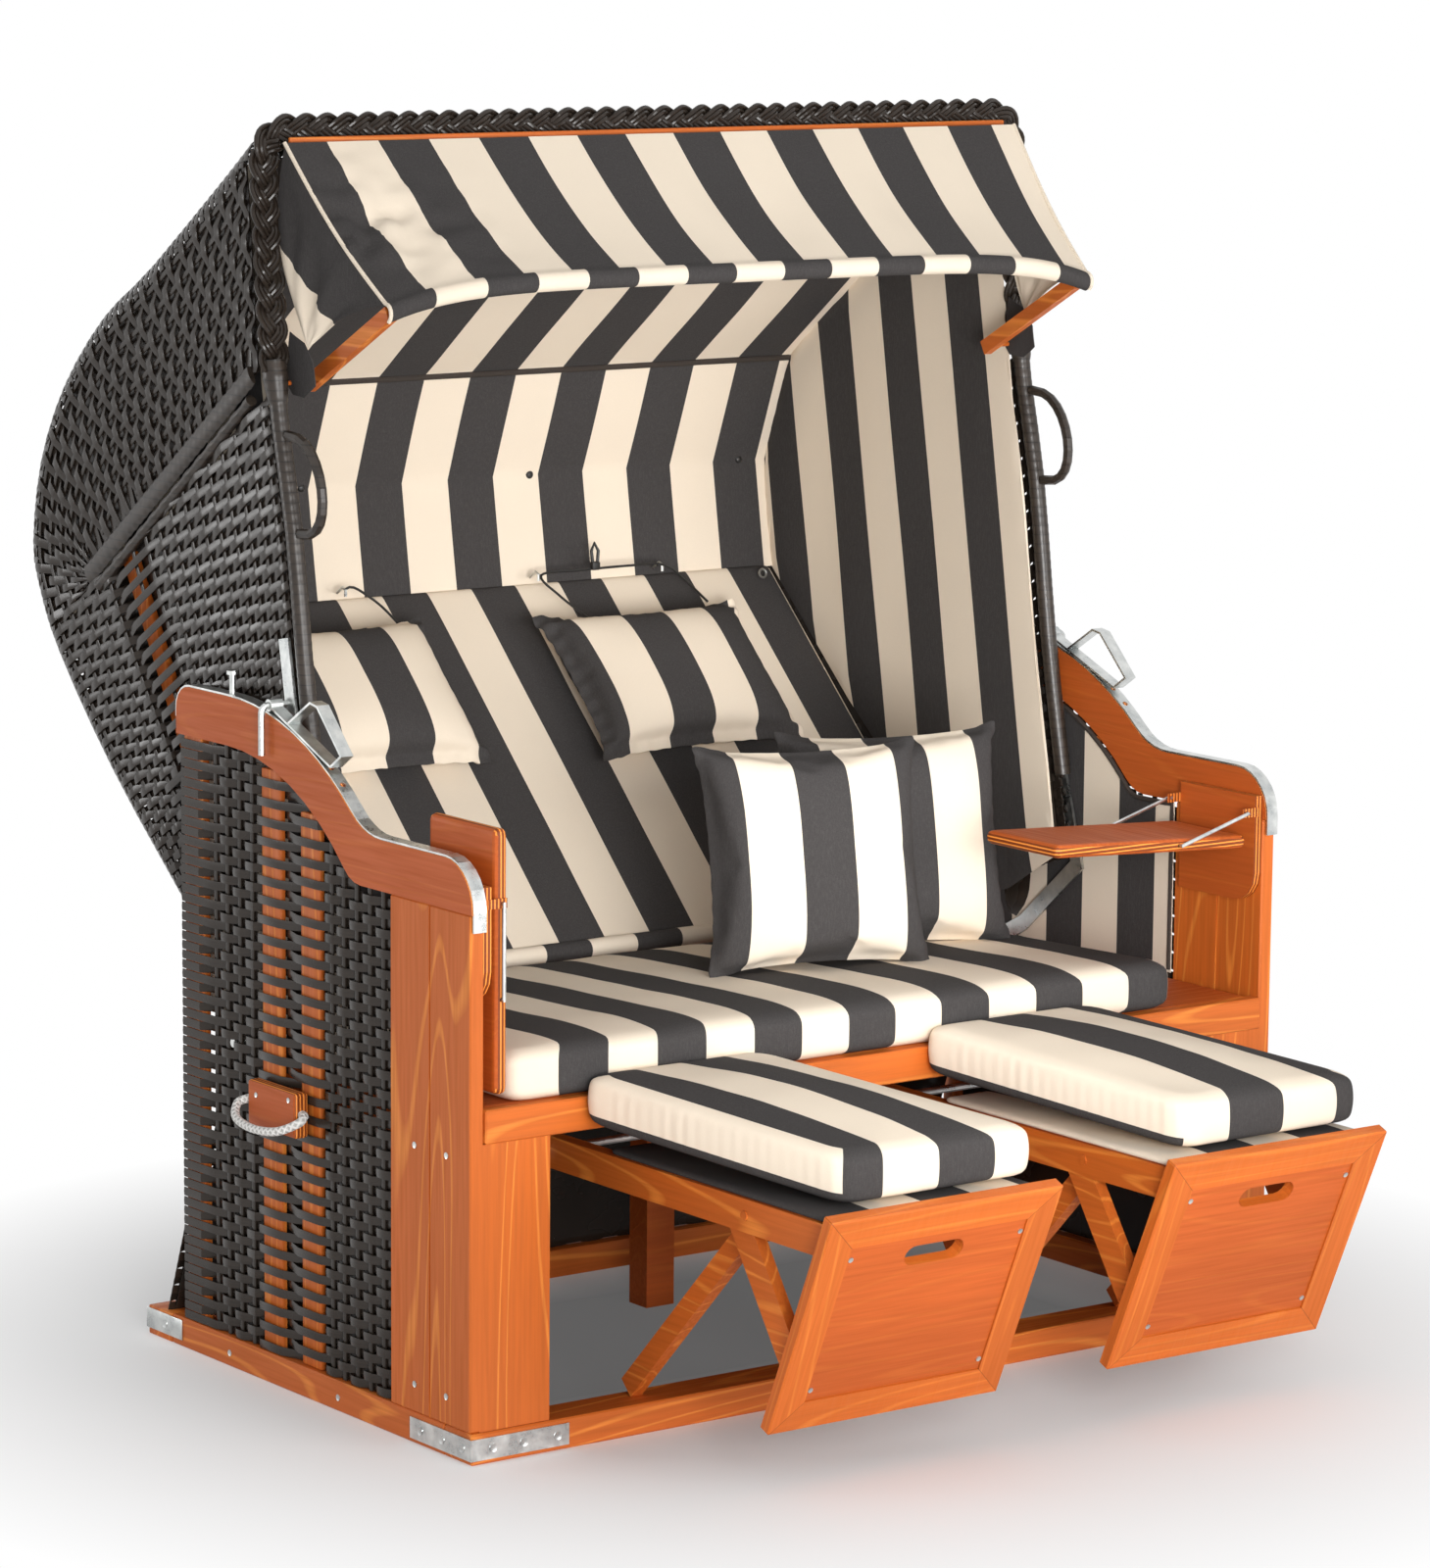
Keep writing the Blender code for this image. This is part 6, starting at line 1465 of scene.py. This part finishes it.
class ChairCushions(bpy.types.Operator):
    """Sews the seat cushion, backrest, head pillows, loose cushions and footrest cushions."""
    bl_idname = "beach_chair.cushions"
    bl_label = "Cushions"

    def execute(self, context):
        self.seat()
        self.backrest()
        self.pillows()
        self.throws()
        for index, (label, _) in enumerate(SIDES):
            self.foot_cushion(index, label)
            self.foot_pad(index, label)
        return {"FINISHED"}

    def seat(self):
        left, right, depth = -0.579, 0.468, 0.556
        front_thick, rear_thick = 0.072, 0.049
        middle, half = (left + right) / 2, (right - left) / 2

        def place(u, v, w):
            edge_u, edge_v = 1 - abs(u) ** 8, 1 - abs(v) ** 8
            taper = lerp(front_thick, rear_thick, (v + 1) / 2)
            inset = edge_inset(w, taper, 0.014) - 0.0015 * (1 - w ** 2)
            x, y = rounded(half * u, depth / 2 * v, half, depth / 2, 0.022)
            x, y = x * (1 - inset / half), y * (1 - inset * 2 / depth)
            crown = 0.007 * edge_u * edge_v * max(w, 0)
            ripple = 0.0016 * folds((x, y, w * 0.02), 12.0, 1.4) * max(w, 0)
            z = SEAT_TOP_Z + 0.0006 + (taper - 0.007) * (w + 1) / 2 + crown + ripple * edge_u
            return Vector((middle + x, depth / 2 + y + 0.004, z))

        def chart_of(u, v, w, side):
            x = lerp(left, right, (u + 1) / 2)
            if side in ("left", "right"):
                return (1.5 if side == "left" else 0.5, w)
            stripe = (x + 0.51) / 0.0736 if x < 0.079 else 8 + (x - 0.079) / 0.0774
            return (stripe, v)

        cushion = grid_cushion(96, 40, 8, place, chart_of)
        padded_cover(cushion, "seat_cushion", "", "base")

    def backrest(self):
        along = (BACK_TOP - BACK_FOOT).normalized()
        out = Vector((-along.y, along.x))
        length = (BACK_TOP - BACK_FOOT).length
        half = BACK_HALF - 0.001

        def place(u, v, w):
            share = (v + 1) / 2
            x = half * u
            base = BACK_FOOT + along * length * share
            thick = BACK_THICKNESS * (0.65 + 0.35 * share)
            edge = (1 - abs(u) ** 10) * (1 - abs(v) ** 10)
            ripple = 0.0016 * folds((x * 0.7, share * 0.5, 0), 10.0, 8.2) * edge
            depth = -thick * (1 - w) / 2 - 0.002 + (ripple + 0.0015 * edge) * (w > 0)
            spot = base + out * depth
            inset = 0.003 * (abs(w) ** 4)
            return Vector((x - math.copysign(inset * abs(u) ** 12, u), spot.x - along.x * inset * v ** 11,
                           spot.y - along.y * inset * v ** 11))

        def chart_of(u, v, w, side):
            return ((half * u - BACK_STRIPE_EDGE) / BACK_STRIPE, v)

        pad = grid_cushion(64, 40, 4, place, chart_of)
        use(pad, "SUBSURF", "round", levels=1, render_levels=1)
        roll_centre = BACK_FOOT + along * 0.004
        bm, chart = blank_mesh()
        xs = [lerp(-half, half, i / 90) for i in range(91)]
        tube(bm, chart, [(x, roll_centre.x, roll_centre.y + 0.0006 * folds((x, 0, 0), 30, 2)) for x in xs],
             [0.0132 - 0.006 * (abs(x / half) ** 40) for x in xs], 16)
        lay_chart(bm, chart, lambda spot: ((spot.x - BACK_STRIPE_EDGE) / BACK_STRIPE + 0.5, 0))
        roll = from_bmesh(bm, outward=True)
        cover = joined([pad, roll])
        keep(cover, "backrest_cover", "canvas", "hood", ["backrest"], smooth=60)

    def pillow_form(self, width, height, thickness, flange, stripes, seed, cells=44):
        """A stuffed pillow in its own plane, with a flat flange round it and wrinkles at its seams."""
        inner_w, inner_h = width / 2 - flange, height / 2 - flange

        def place(u, v, w):
            x, y = width / 2 * u, height / 2 * v
            a, b = min(abs(x) / inner_w, 1.0), min(abs(y) / inner_h, 1.0)
            swell = (1 - a ** 3.2) * (1 - b ** 3.2)
            rise = thickness / 2 * math.sqrt(max(swell, 0.0))
            draw_u = 1 - 0.050 * (1 - v ** 2)
            draw_v = 1 - 0.060 * (1 - u ** 2)
            x, y = x * draw_u, y * draw_v
            rim = (a ** 6 + b ** 6) * 0.5
            gather = 0.0031 * looks("canvas").wrinkle * rim * (
                math.sin(x * 210 + seed) * b ** 8 + math.sin(y * 230 + seed * 2) * a ** 8) * (1 - swell ** 2)
            crease = 0.0032 * folds((x, y, w * 0.05), 16.0, seed) * (1 - rim) * (0.4 + rim)
            outside = max(a - 0.999, 0) > 0 or max(b - 0.999, 0) > 0
            thin = 0.0014
            return Vector((x, y, w * (rise + thin) + gather * (1.0 if outside else 0.5) + crease * w))

        def chart_of(u, v, w, side):
            return (stripes(width / 2 * u), v)

        return grid_cushion(cells, cells, 2, place, chart_of)

    def plump(self, form, swell_cap):
        """Fills a cover with air by cloth simulation, no point moving further than the cap."""
        rest = [vert.co.copy() for vert in form.data.vertices]
        scene = bpy.context.scene
        modifier = form.modifiers.new("stuffing", "CLOTH")
        modifier.settings.quality = 4
        modifier.settings.use_pressure = True
        modifier.settings.uniform_pressure_force = 3.0
        modifier.settings.effector_weights.gravity = 0.0
        modifier.settings.tension_stiffness = 20
        modifier.settings.bending_stiffness = 0.4
        for current in range(1, 16):
            scene.frame_set(current)
        depsgraph = bpy.context.evaluated_depsgraph_get()
        moved = [vert.co.copy() for vert in form.evaluated_get(depsgraph).data.vertices]
        form.modifiers.remove(modifier)
        scene.frame_set(1)
        for vert, before, after in zip(form.data.vertices, rest, moved):
            step = after - before
            if step.length > swell_cap:
                step *= swell_cap / step.length
            vert.co = before + step
        return form

    def pillows(self):
        along = (BACK_TOP - BACK_FOOT).normalized()
        out = Vector((-along.y, along.x))
        patterns = {"left": lambda x: (x - 0.003) / 0.0745, "right": lambda x: (x - 0.0132) / 0.0745 + 1}
        for (label, _), x, drop in zip(SIDES, (-0.260, 0.263), (0.0, 0.014)):
            form = self.pillow_form(0.358, 0.268, 0.078, 0.021, patterns[label], 4.0 + x)
            self.plump(form, 0.009)
            down = 0.075 + drop + 0.135
            centre = BACK_TOP - along * down + out * (0.095 / 2 - 0.004)
            turn = Matrix.Rotation(math.atan2(along.y, along.x), 4, "X")
            form.data.transform(Matrix.Translation((x, centre.x, centre.y)) @ turn)
            padded_cover(form, "head_pillow", "_" + label, "hood")

    def throws(self):
        for name, (x, y, lift), width in (("front", (0.068, 0.262, 0.0048), 0.322),
                                          ("rear", (0.272, 0.352, 0.0), 0.330)):
            lean = math.radians(13.0)
            taper = 1 - y / 0.541
            seat_z = SEAT_TOP_Z + 0.84 * (0.038 + taper * (0.072 - 0.038))
            form = self.pillow_form(width, 0.312, 0.098, 0.006, lambda across: across / CLOTH_STRIPE + 0.5,
                                    9.0 + x * 3, 48)
            self.plump(form, 0.010)
            turn = Matrix.Rotation(math.radians(-15.0), 4, "Z") @ Matrix.Rotation(math.pi / 2 - lean, 4, "X")
            rise = 0.315 / 2 * math.cos(lean)
            form.data.transform(Matrix.Translation((x, y, seat_z + lift + rise)) @ turn)
            padded_cover(form, "throw_cushion", "_" + name, "base")

    def foot_cushion(self, index, label):
        centre = FOOT_CENTRES[index]
        stripes = ((lambda a: (a - 0.2) / 0.2865 + 1), (lambda a: (a - 0.25) / 0.30 + 2))[index]
        thick = 0.079

        def place(u, v, w):
            edge = (1 - abs(u) ** 6) * (1 - abs(v) ** 6)
            inset = edge_inset(w, thick, 0.015) - 0.004 * (1 - w ** 2)
            pucker = 0.0018 * math.sin(v * 70 + index * 2) * (0.5 + folds((v, u, 0), 3, 3)) * (1 - w ** 2)
            x, y = rounded(0.144 * u, 0.1855 * v, 0.144, 0.1855, 0.024)
            x, y = x * (1 - (inset + pucker) / 0.144), y * (1 - (inset - pucker) / 0.1855)
            a, b = (x / 0.144 + 1) / 2, (y / 0.1855 + 1) / 2
            x = lerp(lerp(-0.125, 0.163, a), lerp(-0.238, 0.025, a), b)
            y = lerp(-0.375, -0.004, b)
            crown = 0.013 * (1 - u ** 2) * (1 - v ** 2) if w > 0 else 0.0
            ripple = 0.0015 * folds((x, y, 0), 16.0, 6.1 + index) * edge * (w > 0)
            z = FOOT_CUSHION_TOP_Z + 0.046 * b + (thick - 0.013) * (w + 1) / 2 + crown + ripple
            return Vector((centre + x, y, z))

        def chart_of(u, v, w, side):
            if side in ("left", "right"):
                return ((0.5 if w < -0.55 else 1.5), w)
            return (stripes((u + 1) / 2), v)

        form = grid_cushion(40, 60, 14, place, chart_of)
        padded_cover(form, "footrest_cushion", "_" + label, "footrest_" + label)
        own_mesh(form)

    def foot_pad(self, index, label):
        centre = FOOT_CENTRES[index]
        half = 0.158
        front, rear = -0.394, 0.054

        def place(u, v, w):
            edge = (1 - abs(u) ** 8) * (1 - abs(v) ** 8)
            inset = 0.003 * w ** 4
            x = centre + half * u - math.copysign(inset * abs(u) ** 10, u)
            y = lerp(front, rear, (v + 1) / 2) - math.copysign(inset * abs(v) ** 10, v)
            ripple = 0.0012 * folds((x, y, 0), 18.0, 2.7 + index) * edge * (w > 0)
            z = 0.3456 + 0.0105 * (w + 1) / 2 * (0.8 + 0.2 * edge) + ripple
            return Vector((x, y, z))

        def chart_of(u, v, w, side):
            stripe = (half * u + 0.092) / 0.076 + (1 if index == 0 else 2)
            if side == "bottom":
                stripe = 1.5
            return (stripe, v)

        pad = grid_cushion(30, 40, 3, place, chart_of)
        padded_cover(pad, "footrest_pad", "_" + label, "footrest_" + label)


class ChairAwning(bpy.types.Operator):
    """Hangs the striped awning from the hood's front edge to its bowed bar."""
    bl_idname = "beach_chair.awning"
    bl_label = "Awning"

    def execute(self, context):
        start = Vector((front_y(TUBE_TOP_Z) - BRAID_RADIUS - 0.0075,
                        TUBE_TOP_Z - BRAID_RADIUS * 0.45 - 0.006))
        batten = bevelled_box((2 * CLOTH_HALF - 0.02, 0.005, 0.012),
                              (0, start.x + 0.0085, start.y + 0.001))
        keep(batten, "awning_batten", "pine_X", "hood")
        wrinkle = looks("canvas").wrinkle
        columns, rows = 110, 26
        bm, chart = blank_mesh()
        grid = []
        for column in range(columns + 1):
            share = lerp(-1, 1, column / columns)
            bar_z = AWNING_BAR_Z + AWNING_BOW * (1 - abs(share) ** 6)
            end = Vector((AWNING_BAR_Y, bar_z + HEM_RADIUS))
            line = []
            for row in range(rows + 1):
                along = row / rows
                half = CLOTH_HALF - CLOTH_TAPER * along
                point = start.lerp(end, along)
                x = half * share
                sag = CLOTH_SAG * math.sin(math.pi * along)
                corner = max(0.0, (-share - 0.55) / 0.45)
                loose = wrinkle * math.sin(math.pi * along)
                crumple = 0.017 * loose * corner * folds((x * 1.3 + along * 0.12, along * 0.35, 0), 26.0, 4.4)
                crumple += 0.0035 * loose * folds((x, along * 0.1, 0), 14.0, 7.7)
                line.append((Vector((x, point.x - crumple * 0.5, point.y - sag + crumple)), along))
            half = CLOTH_HALF - CLOTH_TAPER
            for y, z in arc(AWNING_BAR_Y, bar_z, HEM_RADIUS, 90, 265, 9)[1:]:
                line.append((Vector((half * share, y, z)), 1.0))
            grid.append(line)
        verts = [[bm.verts.new(spot) for spot, _ in line] for line in grid]

        def on_cloth(i, j):
            spot, along = grid[i][j]
            taper = CLOTH_HALF / (CLOTH_HALF - CLOTH_TAPER * along)
            return ((spot.x * taper + 0.5207) / 0.0759 + 1, j / 30)

        def on_hem(i, j):
            return ((grid[i][rows + j][0].x + 0.4894) / 0.0762 + 1, (rows + j) / 30)

        net(bm, chart, [line[:rows + 1] for line in verts], on_cloth)
        net(bm, chart, [line[rows:] for line in verts], on_hem)
        for edge, side in ((verts[0], -1), (verts[-1], 1)):
            self.gusset(bm, chart, edge[:rows + 1], side)
        bmesh.ops.recalc_face_normals(bm, faces=bm.faces)
        area = sum(face.calc_area() for face in bm.faces)
        cloth = from_bmesh(bm)
        use(cloth, "SOLIDIFY", "cloth", thickness=0.0014, offset=1.0)
        keep(cloth, "awning_canvas", "canvas", None, ["awning_cloth"], smooth=50)
        self.piping(start)
        for label, side in SIDES:
            self.corner_flap(label, side)
        area / 1.161
        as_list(self.trims)
        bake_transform(cloth)
        return {"FINISHED"}

    def gusset(self, bm, chart, edge, side):
        """The three-cornered side of the awning, gathered towards its lower corner."""
        low = Vector((side * (CLOTH_HALF - CLOTH_TAPER / 4), GUSSET_LOW.x, GUSSET_LOW.y))
        rings = [edge]
        steps = 14
        for step in range(1, steps):
            share = step / steps
            ring = []
            for index, vert in enumerate(edge):
                spot = vert.co.lerp(low, share)
                along = index / (len(edge) - 1)
                free = math.sin(math.pi * share)
                fold = 0.012 * free * folds((along * 0.35, share * 0.15, 0), 14.0, 3.3 + side)
                bow = 0.034 * free * (1 - along) ** 2
                lift = 0.012 * free * along ** 3
                ring.append(bm.verts.new(spot + Vector((-side * fold, bow, lift))))
            rings.append(ring)
        point = bm.verts.new(low)
        last = len(edge) - 1
        net(bm, chart, rings, lambda s, i: self.gusset_chart(s / steps, i / last, side))
        for index in range(last):
            face = bm.faces.new((rings[-1][index], rings[-1][index + 1], point))
            for loop, (s, i) in zip(face.loops, ((steps - 1, index), (steps - 1, index + 1), (steps, index))):
                loop[chart].uv = self.gusset_chart(s / steps, i / last, side)

    def corner_flap(self, label, side):
        """The dark corner of the lining that covers the arm's pivot."""
        outline = [(0.470, 1.322), (0.502, 1.334), (0.512, 1.270), (0.498, 1.256),
                   (0.470, 1.254), (0.446, 1.270), (0.450, 1.298)]
        bm, chart = blank_mesh()
        face = bm.faces.new([bm.verts.new((side * 0.5765, y, z)) for y, z in outline])
        bmesh.ops.triangulate(bm, faces=[face])
        bmesh.ops.subdivide_edges(bm, edges=bm.edges, cuts=3, use_grid_fill=True)
        for vert in bm.verts:
            vert.co.x += side * 0.0025 * folds(vert.co, 30.0, 1.9)
        lay_chart(bm, chart, lambda spot: (0.5, spot.z))
        area = sum(face.calc_area() for face in bm.faces)
        flap = from_bmesh(bm)
        use(flap, "SOLIDIFY", "cloth", thickness=0.0014, offset=0.0)
        keep(flap, "awning_corner_flap_" + label, "canvas", "hood")
        area / 0.075

    def gusset_chart(self, share, along, side):
        """Dark next to the awning, cream towards the hood."""
        if side > 0:
            return (1.5, share)
        return (0.5 + 0.5 * share / (0.50 + 0.15 * along), along)

    def piping(self, start):
        self.trims = []
        for label, side in SIDES:
            half_top, half_low = CLOTH_HALF, CLOTH_HALF - CLOTH_TAPER
            points = []
            for step in range(25):
                along = step / 24
                end = Vector((AWNING_BAR_Y, AWNING_BAR_Z + HEM_RADIUS))
                spot = start.lerp(end, along)
                points.append((side * (lerp(half_top, half_low, along) + 0.0015), spot.x,
                               spot.y - CLOTH_SAG * math.sin(math.pi * along) + 0.001))
            for y, z in arc(AWNING_BAR_Y, AWNING_BAR_Z, HEM_RADIUS + 0.001, 90, 235, 6)[1:]:
                points.append((side * (half_low + 0.0015), y, z))
            pipe = tube_piece(points, 0.0026, 8)
            keep(pipe, "awning_piping_" + label, "cream", None)
            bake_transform(pipe)
            self.trims.append(pipe)
        batten = bevelled_box((1.10, 0.006, 0.014), (0, front_y(TUBE_TOP_Z) - 0.016, TUBE_TOP_Z - 0.020))
        keep(batten, "awning_batten", "pine_X", "hood")


class ChairRopes(bpy.types.Operator):
    """Lays the carrying ropes and the pillows' elastic cords."""
    bl_idname = "beach_chair.ropes"
    bl_label = "Ropes and cords"

    def execute(self, context):
        for label, side in SIDES:
            self.carry_rope(label, side)
        self.elastics()
        self.snaps()
        return {"FINISHED"}

    def carry_rope(self, label, side):
        face, length, centre_y, centre_z = 0.6368, 0.113, 0.427, 0.366
        shares = ((0.0, 1.06, 0.0), (0.08, 1.17, 0.04), (0.42, 1.27, 0.28),
                  (0.88, 0.84, 0.80), (1.0, 0.0, 1.0))
        half = [(side * (face + 0.010 + 0.036 * out), length / 2 * along + 0.0003,
                 centre_z + 0.002 - 0.024 * drop) for out, along, drop in shares]
        route = [(x, centre_y - y, z) for x, y, z in half[:-1]] + [(half[-1][0], centre_y, half[-1][2])]
        route += [(x, centre_y + y, z) for x, y, z in half[-2::-1]]
        route = smooth_path(route, 5)
        end = length / 2 + 0.0003
        route.insert(0, (route[0][0], centre_y - end, route[0][2]))
        route.append((route[-1][0], centre_y + end, route[-1][2]))
        route = [Vector(point) for point in route]
        rope = tube_piece(route, 0.0055, 14)
        keep(rope, "carry_rope_braid_" + label, "rope", "base", ["carry_rope_" + label])
        path = [point + BASE_SHIFT for point in route]
        total = sum((b - a).length for a, b in zip(path, path[1:]))
        tuple(path[0])
        [tuple(point) for point in path]

    def elastics(self):
        """Hooks on the lining and the black elastic that holds the head pillows."""
        hooks, pieces = [], []
        for x in (-0.172, 0.149, 0.363):
            line = [(x, 1.034, 0.921), (x, 1.020, 0.930), (x, 1.012, 0.927), (x, 1.012, 0.918)]
            hooks.append(tube_piece(line, 0.0022, 8))
        ring = [(0.545 + 0.006 * math.cos(t), 1.016 + 0.002 * math.sin(t), 0.902 + 0.006 * math.sin(t))
                for t in [math.tau * i / 16 for i in range(17)]]
        hooks.append(tube_piece(ring, 0.0018, 6))
        keep(joined(hooks), "pillow_hooks", "steel", "hood")
        routes = [[(-0.172, 1.012, 0.9285), (-0.160, 1.008, 0.930), (-0.135, 0.985, 0.908),
                   (-0.118, 0.958, 0.880), (-0.112, 0.946, 0.866)],
                  [(0.195, 0.945, 0.865), (0.165, 0.985, 0.900), (0.152, 1.010, 0.9265),
                   (0.22, 1.010, 0.929), (0.30, 1.010, 0.930), (0.363, 1.010, 0.9275),
                   (0.385, 0.985, 0.905), (0.400, 0.952, 0.878)]]
        for route in routes:
            pieces.append(tube_piece(resample(smooth_path(route, 6), 0.006), 0.0018, 8))
        lock = bevelled_box((0.013, 0.009, 0.012), (0.243, 1.008, 0.934), width=0.002)
        loop = tube_piece([(0.239, 1.008, 0.938), (0.237, 1.009, 0.955), (0.243, 1.010, 0.966),
                           (0.249, 1.009, 0.955), (0.247, 1.008, 0.938)], 0.0024, 8)
        keep(joined(pieces + [lock, loop]), "pillow_elastics", "elastic", "hood")

    def snaps(self):
        studs = []
        for x, y, z in ((0.171, 1.068, 1.062), (0.538, 1.068, 1.064), (-0.208, 1.068, 1.065)):
            deselect()
            bpy.ops.mesh.primitive_uv_sphere_add(segments=16, ring_count=8, radius=0.006)
            stud = bpy.context.view_layer.objects.active
            stud.data.transform(Matrix.Translation((x, y, z)) @ Matrix.Diagonal((1, 0.6, 1, 1)))
            stud.matrix_world = Matrix.Identity(4)
            stud.select_set(False)
            studs.append(stud)
        keep(joined(studs), "lining_snaps", "elastic", "hood")


class ChairStage(bpy.types.Operator):
    """Sets the floor, the light and the camera."""
    bl_idname = "beach_chair.stage"
    bl_label = "Stage"

    def execute(self, context):
        self.floor()
        self.light()
        self.camera()
        bpy.context.scene.view_settings.view_transform = "Standard"
        return {"FINISHED"}

    def floor(self):
        deselect()
        bpy.ops.mesh.primitive_plane_add(size=30.0, location=(0, 0, 0))
        floor = bpy.context.view_layer.objects.active
        floor.name = "stage_floor"
        floor.data.transform(floor.matrix_world)
        floor.matrix_world = Matrix.Identity(4)
        floor.select_set(False)
        finish = Finish("stage_floor", (0.86, 0.86, 0.86), 0.9)
        seen = finish.seen()
        glow = finish.node("ShaderNodeEmission", None, {"Color": WHITE, "Strength": seen})
        x, y = finish.split(finish.place())[:2]
        away = finish.maths("SQRT", x * x + (y - 0.3) * (y - 0.3))
        beside = finish.maths("MAXIMUM", finish.maths("ABSOLUTE", x) - 0.60,
                              finish.maths("ABSOLUTE", y - 0.36) - 0.36)
        # Painted shadow: the floor colour drops to 0.10 grey under the chair's footprint and fades back to
        # 0.86 within 0.16 m outside it.
        finish.colour(finish.blend(finish.spread(beside, -0.16, 0.0), (0.10, 0.10, 0.10), (0.86, 0.86, 0.86)))
        finish.mix_shaders(finish.spread(away, 0.6, 1.3, 0.10, 1.0) * seen,
                           Signal(finish, finish.shader.outputs[0]), glow,
                           finish.tree.nodes["Material Output"])
        floor.data.materials.append(finish.material)

    def light(self):
        scene = bpy.context.scene
        world = bpy.data.worlds.new("stage_world")
        scene.world = world
        world.use_nodes = True
        room = Nodes(world.node_tree)
        room.tree.nodes.clear()
        soft = room.node("ShaderNodeBackground", None, {"Color": WHITE, "Strength": looks("stage").world})
        white = room.node("ShaderNodeBackground", None, {"Color": WHITE, "Strength": 1.0})
        room.mix_shaders(room.seen(), soft, white, room.tree.nodes.new("ShaderNodeOutputWorld"))
        power = looks("stage").lamp
        for name, place, size, share, spread in (
                ("key", (-3.0, -5.3, 1.25), 2.0, 0.98, 180), ("fill", (1.5, -5.6, 1.1), 2.4, 0.70, 180),
                ("top", (0.0, -0.6, 4.6), 3.0, 0.05, 180), ("side", (-4.3, 4.0, 1.2), 1.0, 0.18, 180),
                ("inside", (-0.55, -1.55, 0.98), 0.7, 0.021, 62)):
            lamp_data = bpy.data.lights.new("lamp_" + name, "AREA")
            lamp_data.energy = power * share
            lamp_data.size = size
            lamp_data.spread = math.radians(spread)
            lamp = bpy.data.objects.new("lamp_" + name, lamp_data)
            scene.collection.objects.link(lamp)
            lamp.location = place
            lamp.visible_camera = False
            aim = Vector((0.22, 0.3, 0.78) if name == "inside" else (0.0, 0.2, 0.7)) - Vector(place)
            lamp.rotation_euler = aim.to_track_quat("-Z", "Y").to_euler()

    def camera(self):
        scene = bpy.context.scene
        camera_data = bpy.data.cameras.new("camera")
        camera = bpy.data.objects.new("camera", camera_data)
        scene.collection.objects.link(camera)
        right, up = Vector((0.8084, -0.5885, 0.0081)), Vector((0.0930, 0.1412, 0.9856))
        back = right.cross(up).normalized()
        matrix = Matrix((right.normalized(), up.normalized(), back)).transposed().to_4x4()
        matrix.translation = Vector((-4.2870, -5.4639, 1.9039)) + BASE_SHIFT
        camera.matrix_world = matrix
        camera_data.sensor_width = 36.0
        camera_data.lens = 128.94
        camera_data.shift_x = 0.0067
        camera_data.shift_y = 0.0316
        scene.camera = camera


OPERATORS = (ChairWood, ChairSteel, ChairWeave, ChairPlait, ChairLinings, ChairCushions,
             ChairAwning, ChairRopes, ChairStage)
GROUPS = {"canvas": CanvasLooks, "wood": WoodLooks, "wicker": WickerLooks, "stage": StageLooks}


class ChairPanel(bpy.types.Panel):
    """Lists the chair's steps and sizes in the sidebar."""
    bl_idname = "VIEW3D_PT_beach_chair"
    bl_label = "Hooded beach chair"
    bl_space_type = "VIEW_3D"
    bl_region_type = "UI"
    bl_category = "Beach chair"

    def draw(self, context):
        for name, group in GROUPS.items():
            for prop in group.__annotations__:
                self.layout.prop(looks(name), prop)
        for operator in OPERATORS:
            self.layout.operator(operator.bl_idname)


def register():
    for name, group in GROUPS.items():
        bpy.utils.register_class(group)
        setattr(bpy.types.Scene, "beach_chair_" + name, bpy.props.PointerProperty(type=group))
    for operator in OPERATORS:
        bpy.utils.register_class(operator)
    bpy.utils.register_class(ChairPanel)


def unregister():
    bpy.utils.unregister_class(ChairPanel)
    for operator in reversed(OPERATORS):
        bpy.utils.unregister_class(operator)
    for name, group in GROUPS.items():
        delattr(bpy.types.Scene, "beach_chair_" + name)
        bpy.utils.unregister_class(group)


def main():
    register()
    mix_finishes()
    bpy.ops.beach_chair.wood()
    bpy.ops.beach_chair.steel()
    bpy.ops.beach_chair.weave()
    bpy.ops.beach_chair.plait()
    bpy.ops.beach_chair.linings()
    bpy.ops.beach_chair.cushions()
    bpy.ops.beach_chair.awning()
    bpy.ops.beach_chair.ropes()
    bpy.ops.beach_chair.stage()


if __name__ == "__main__":
    main()
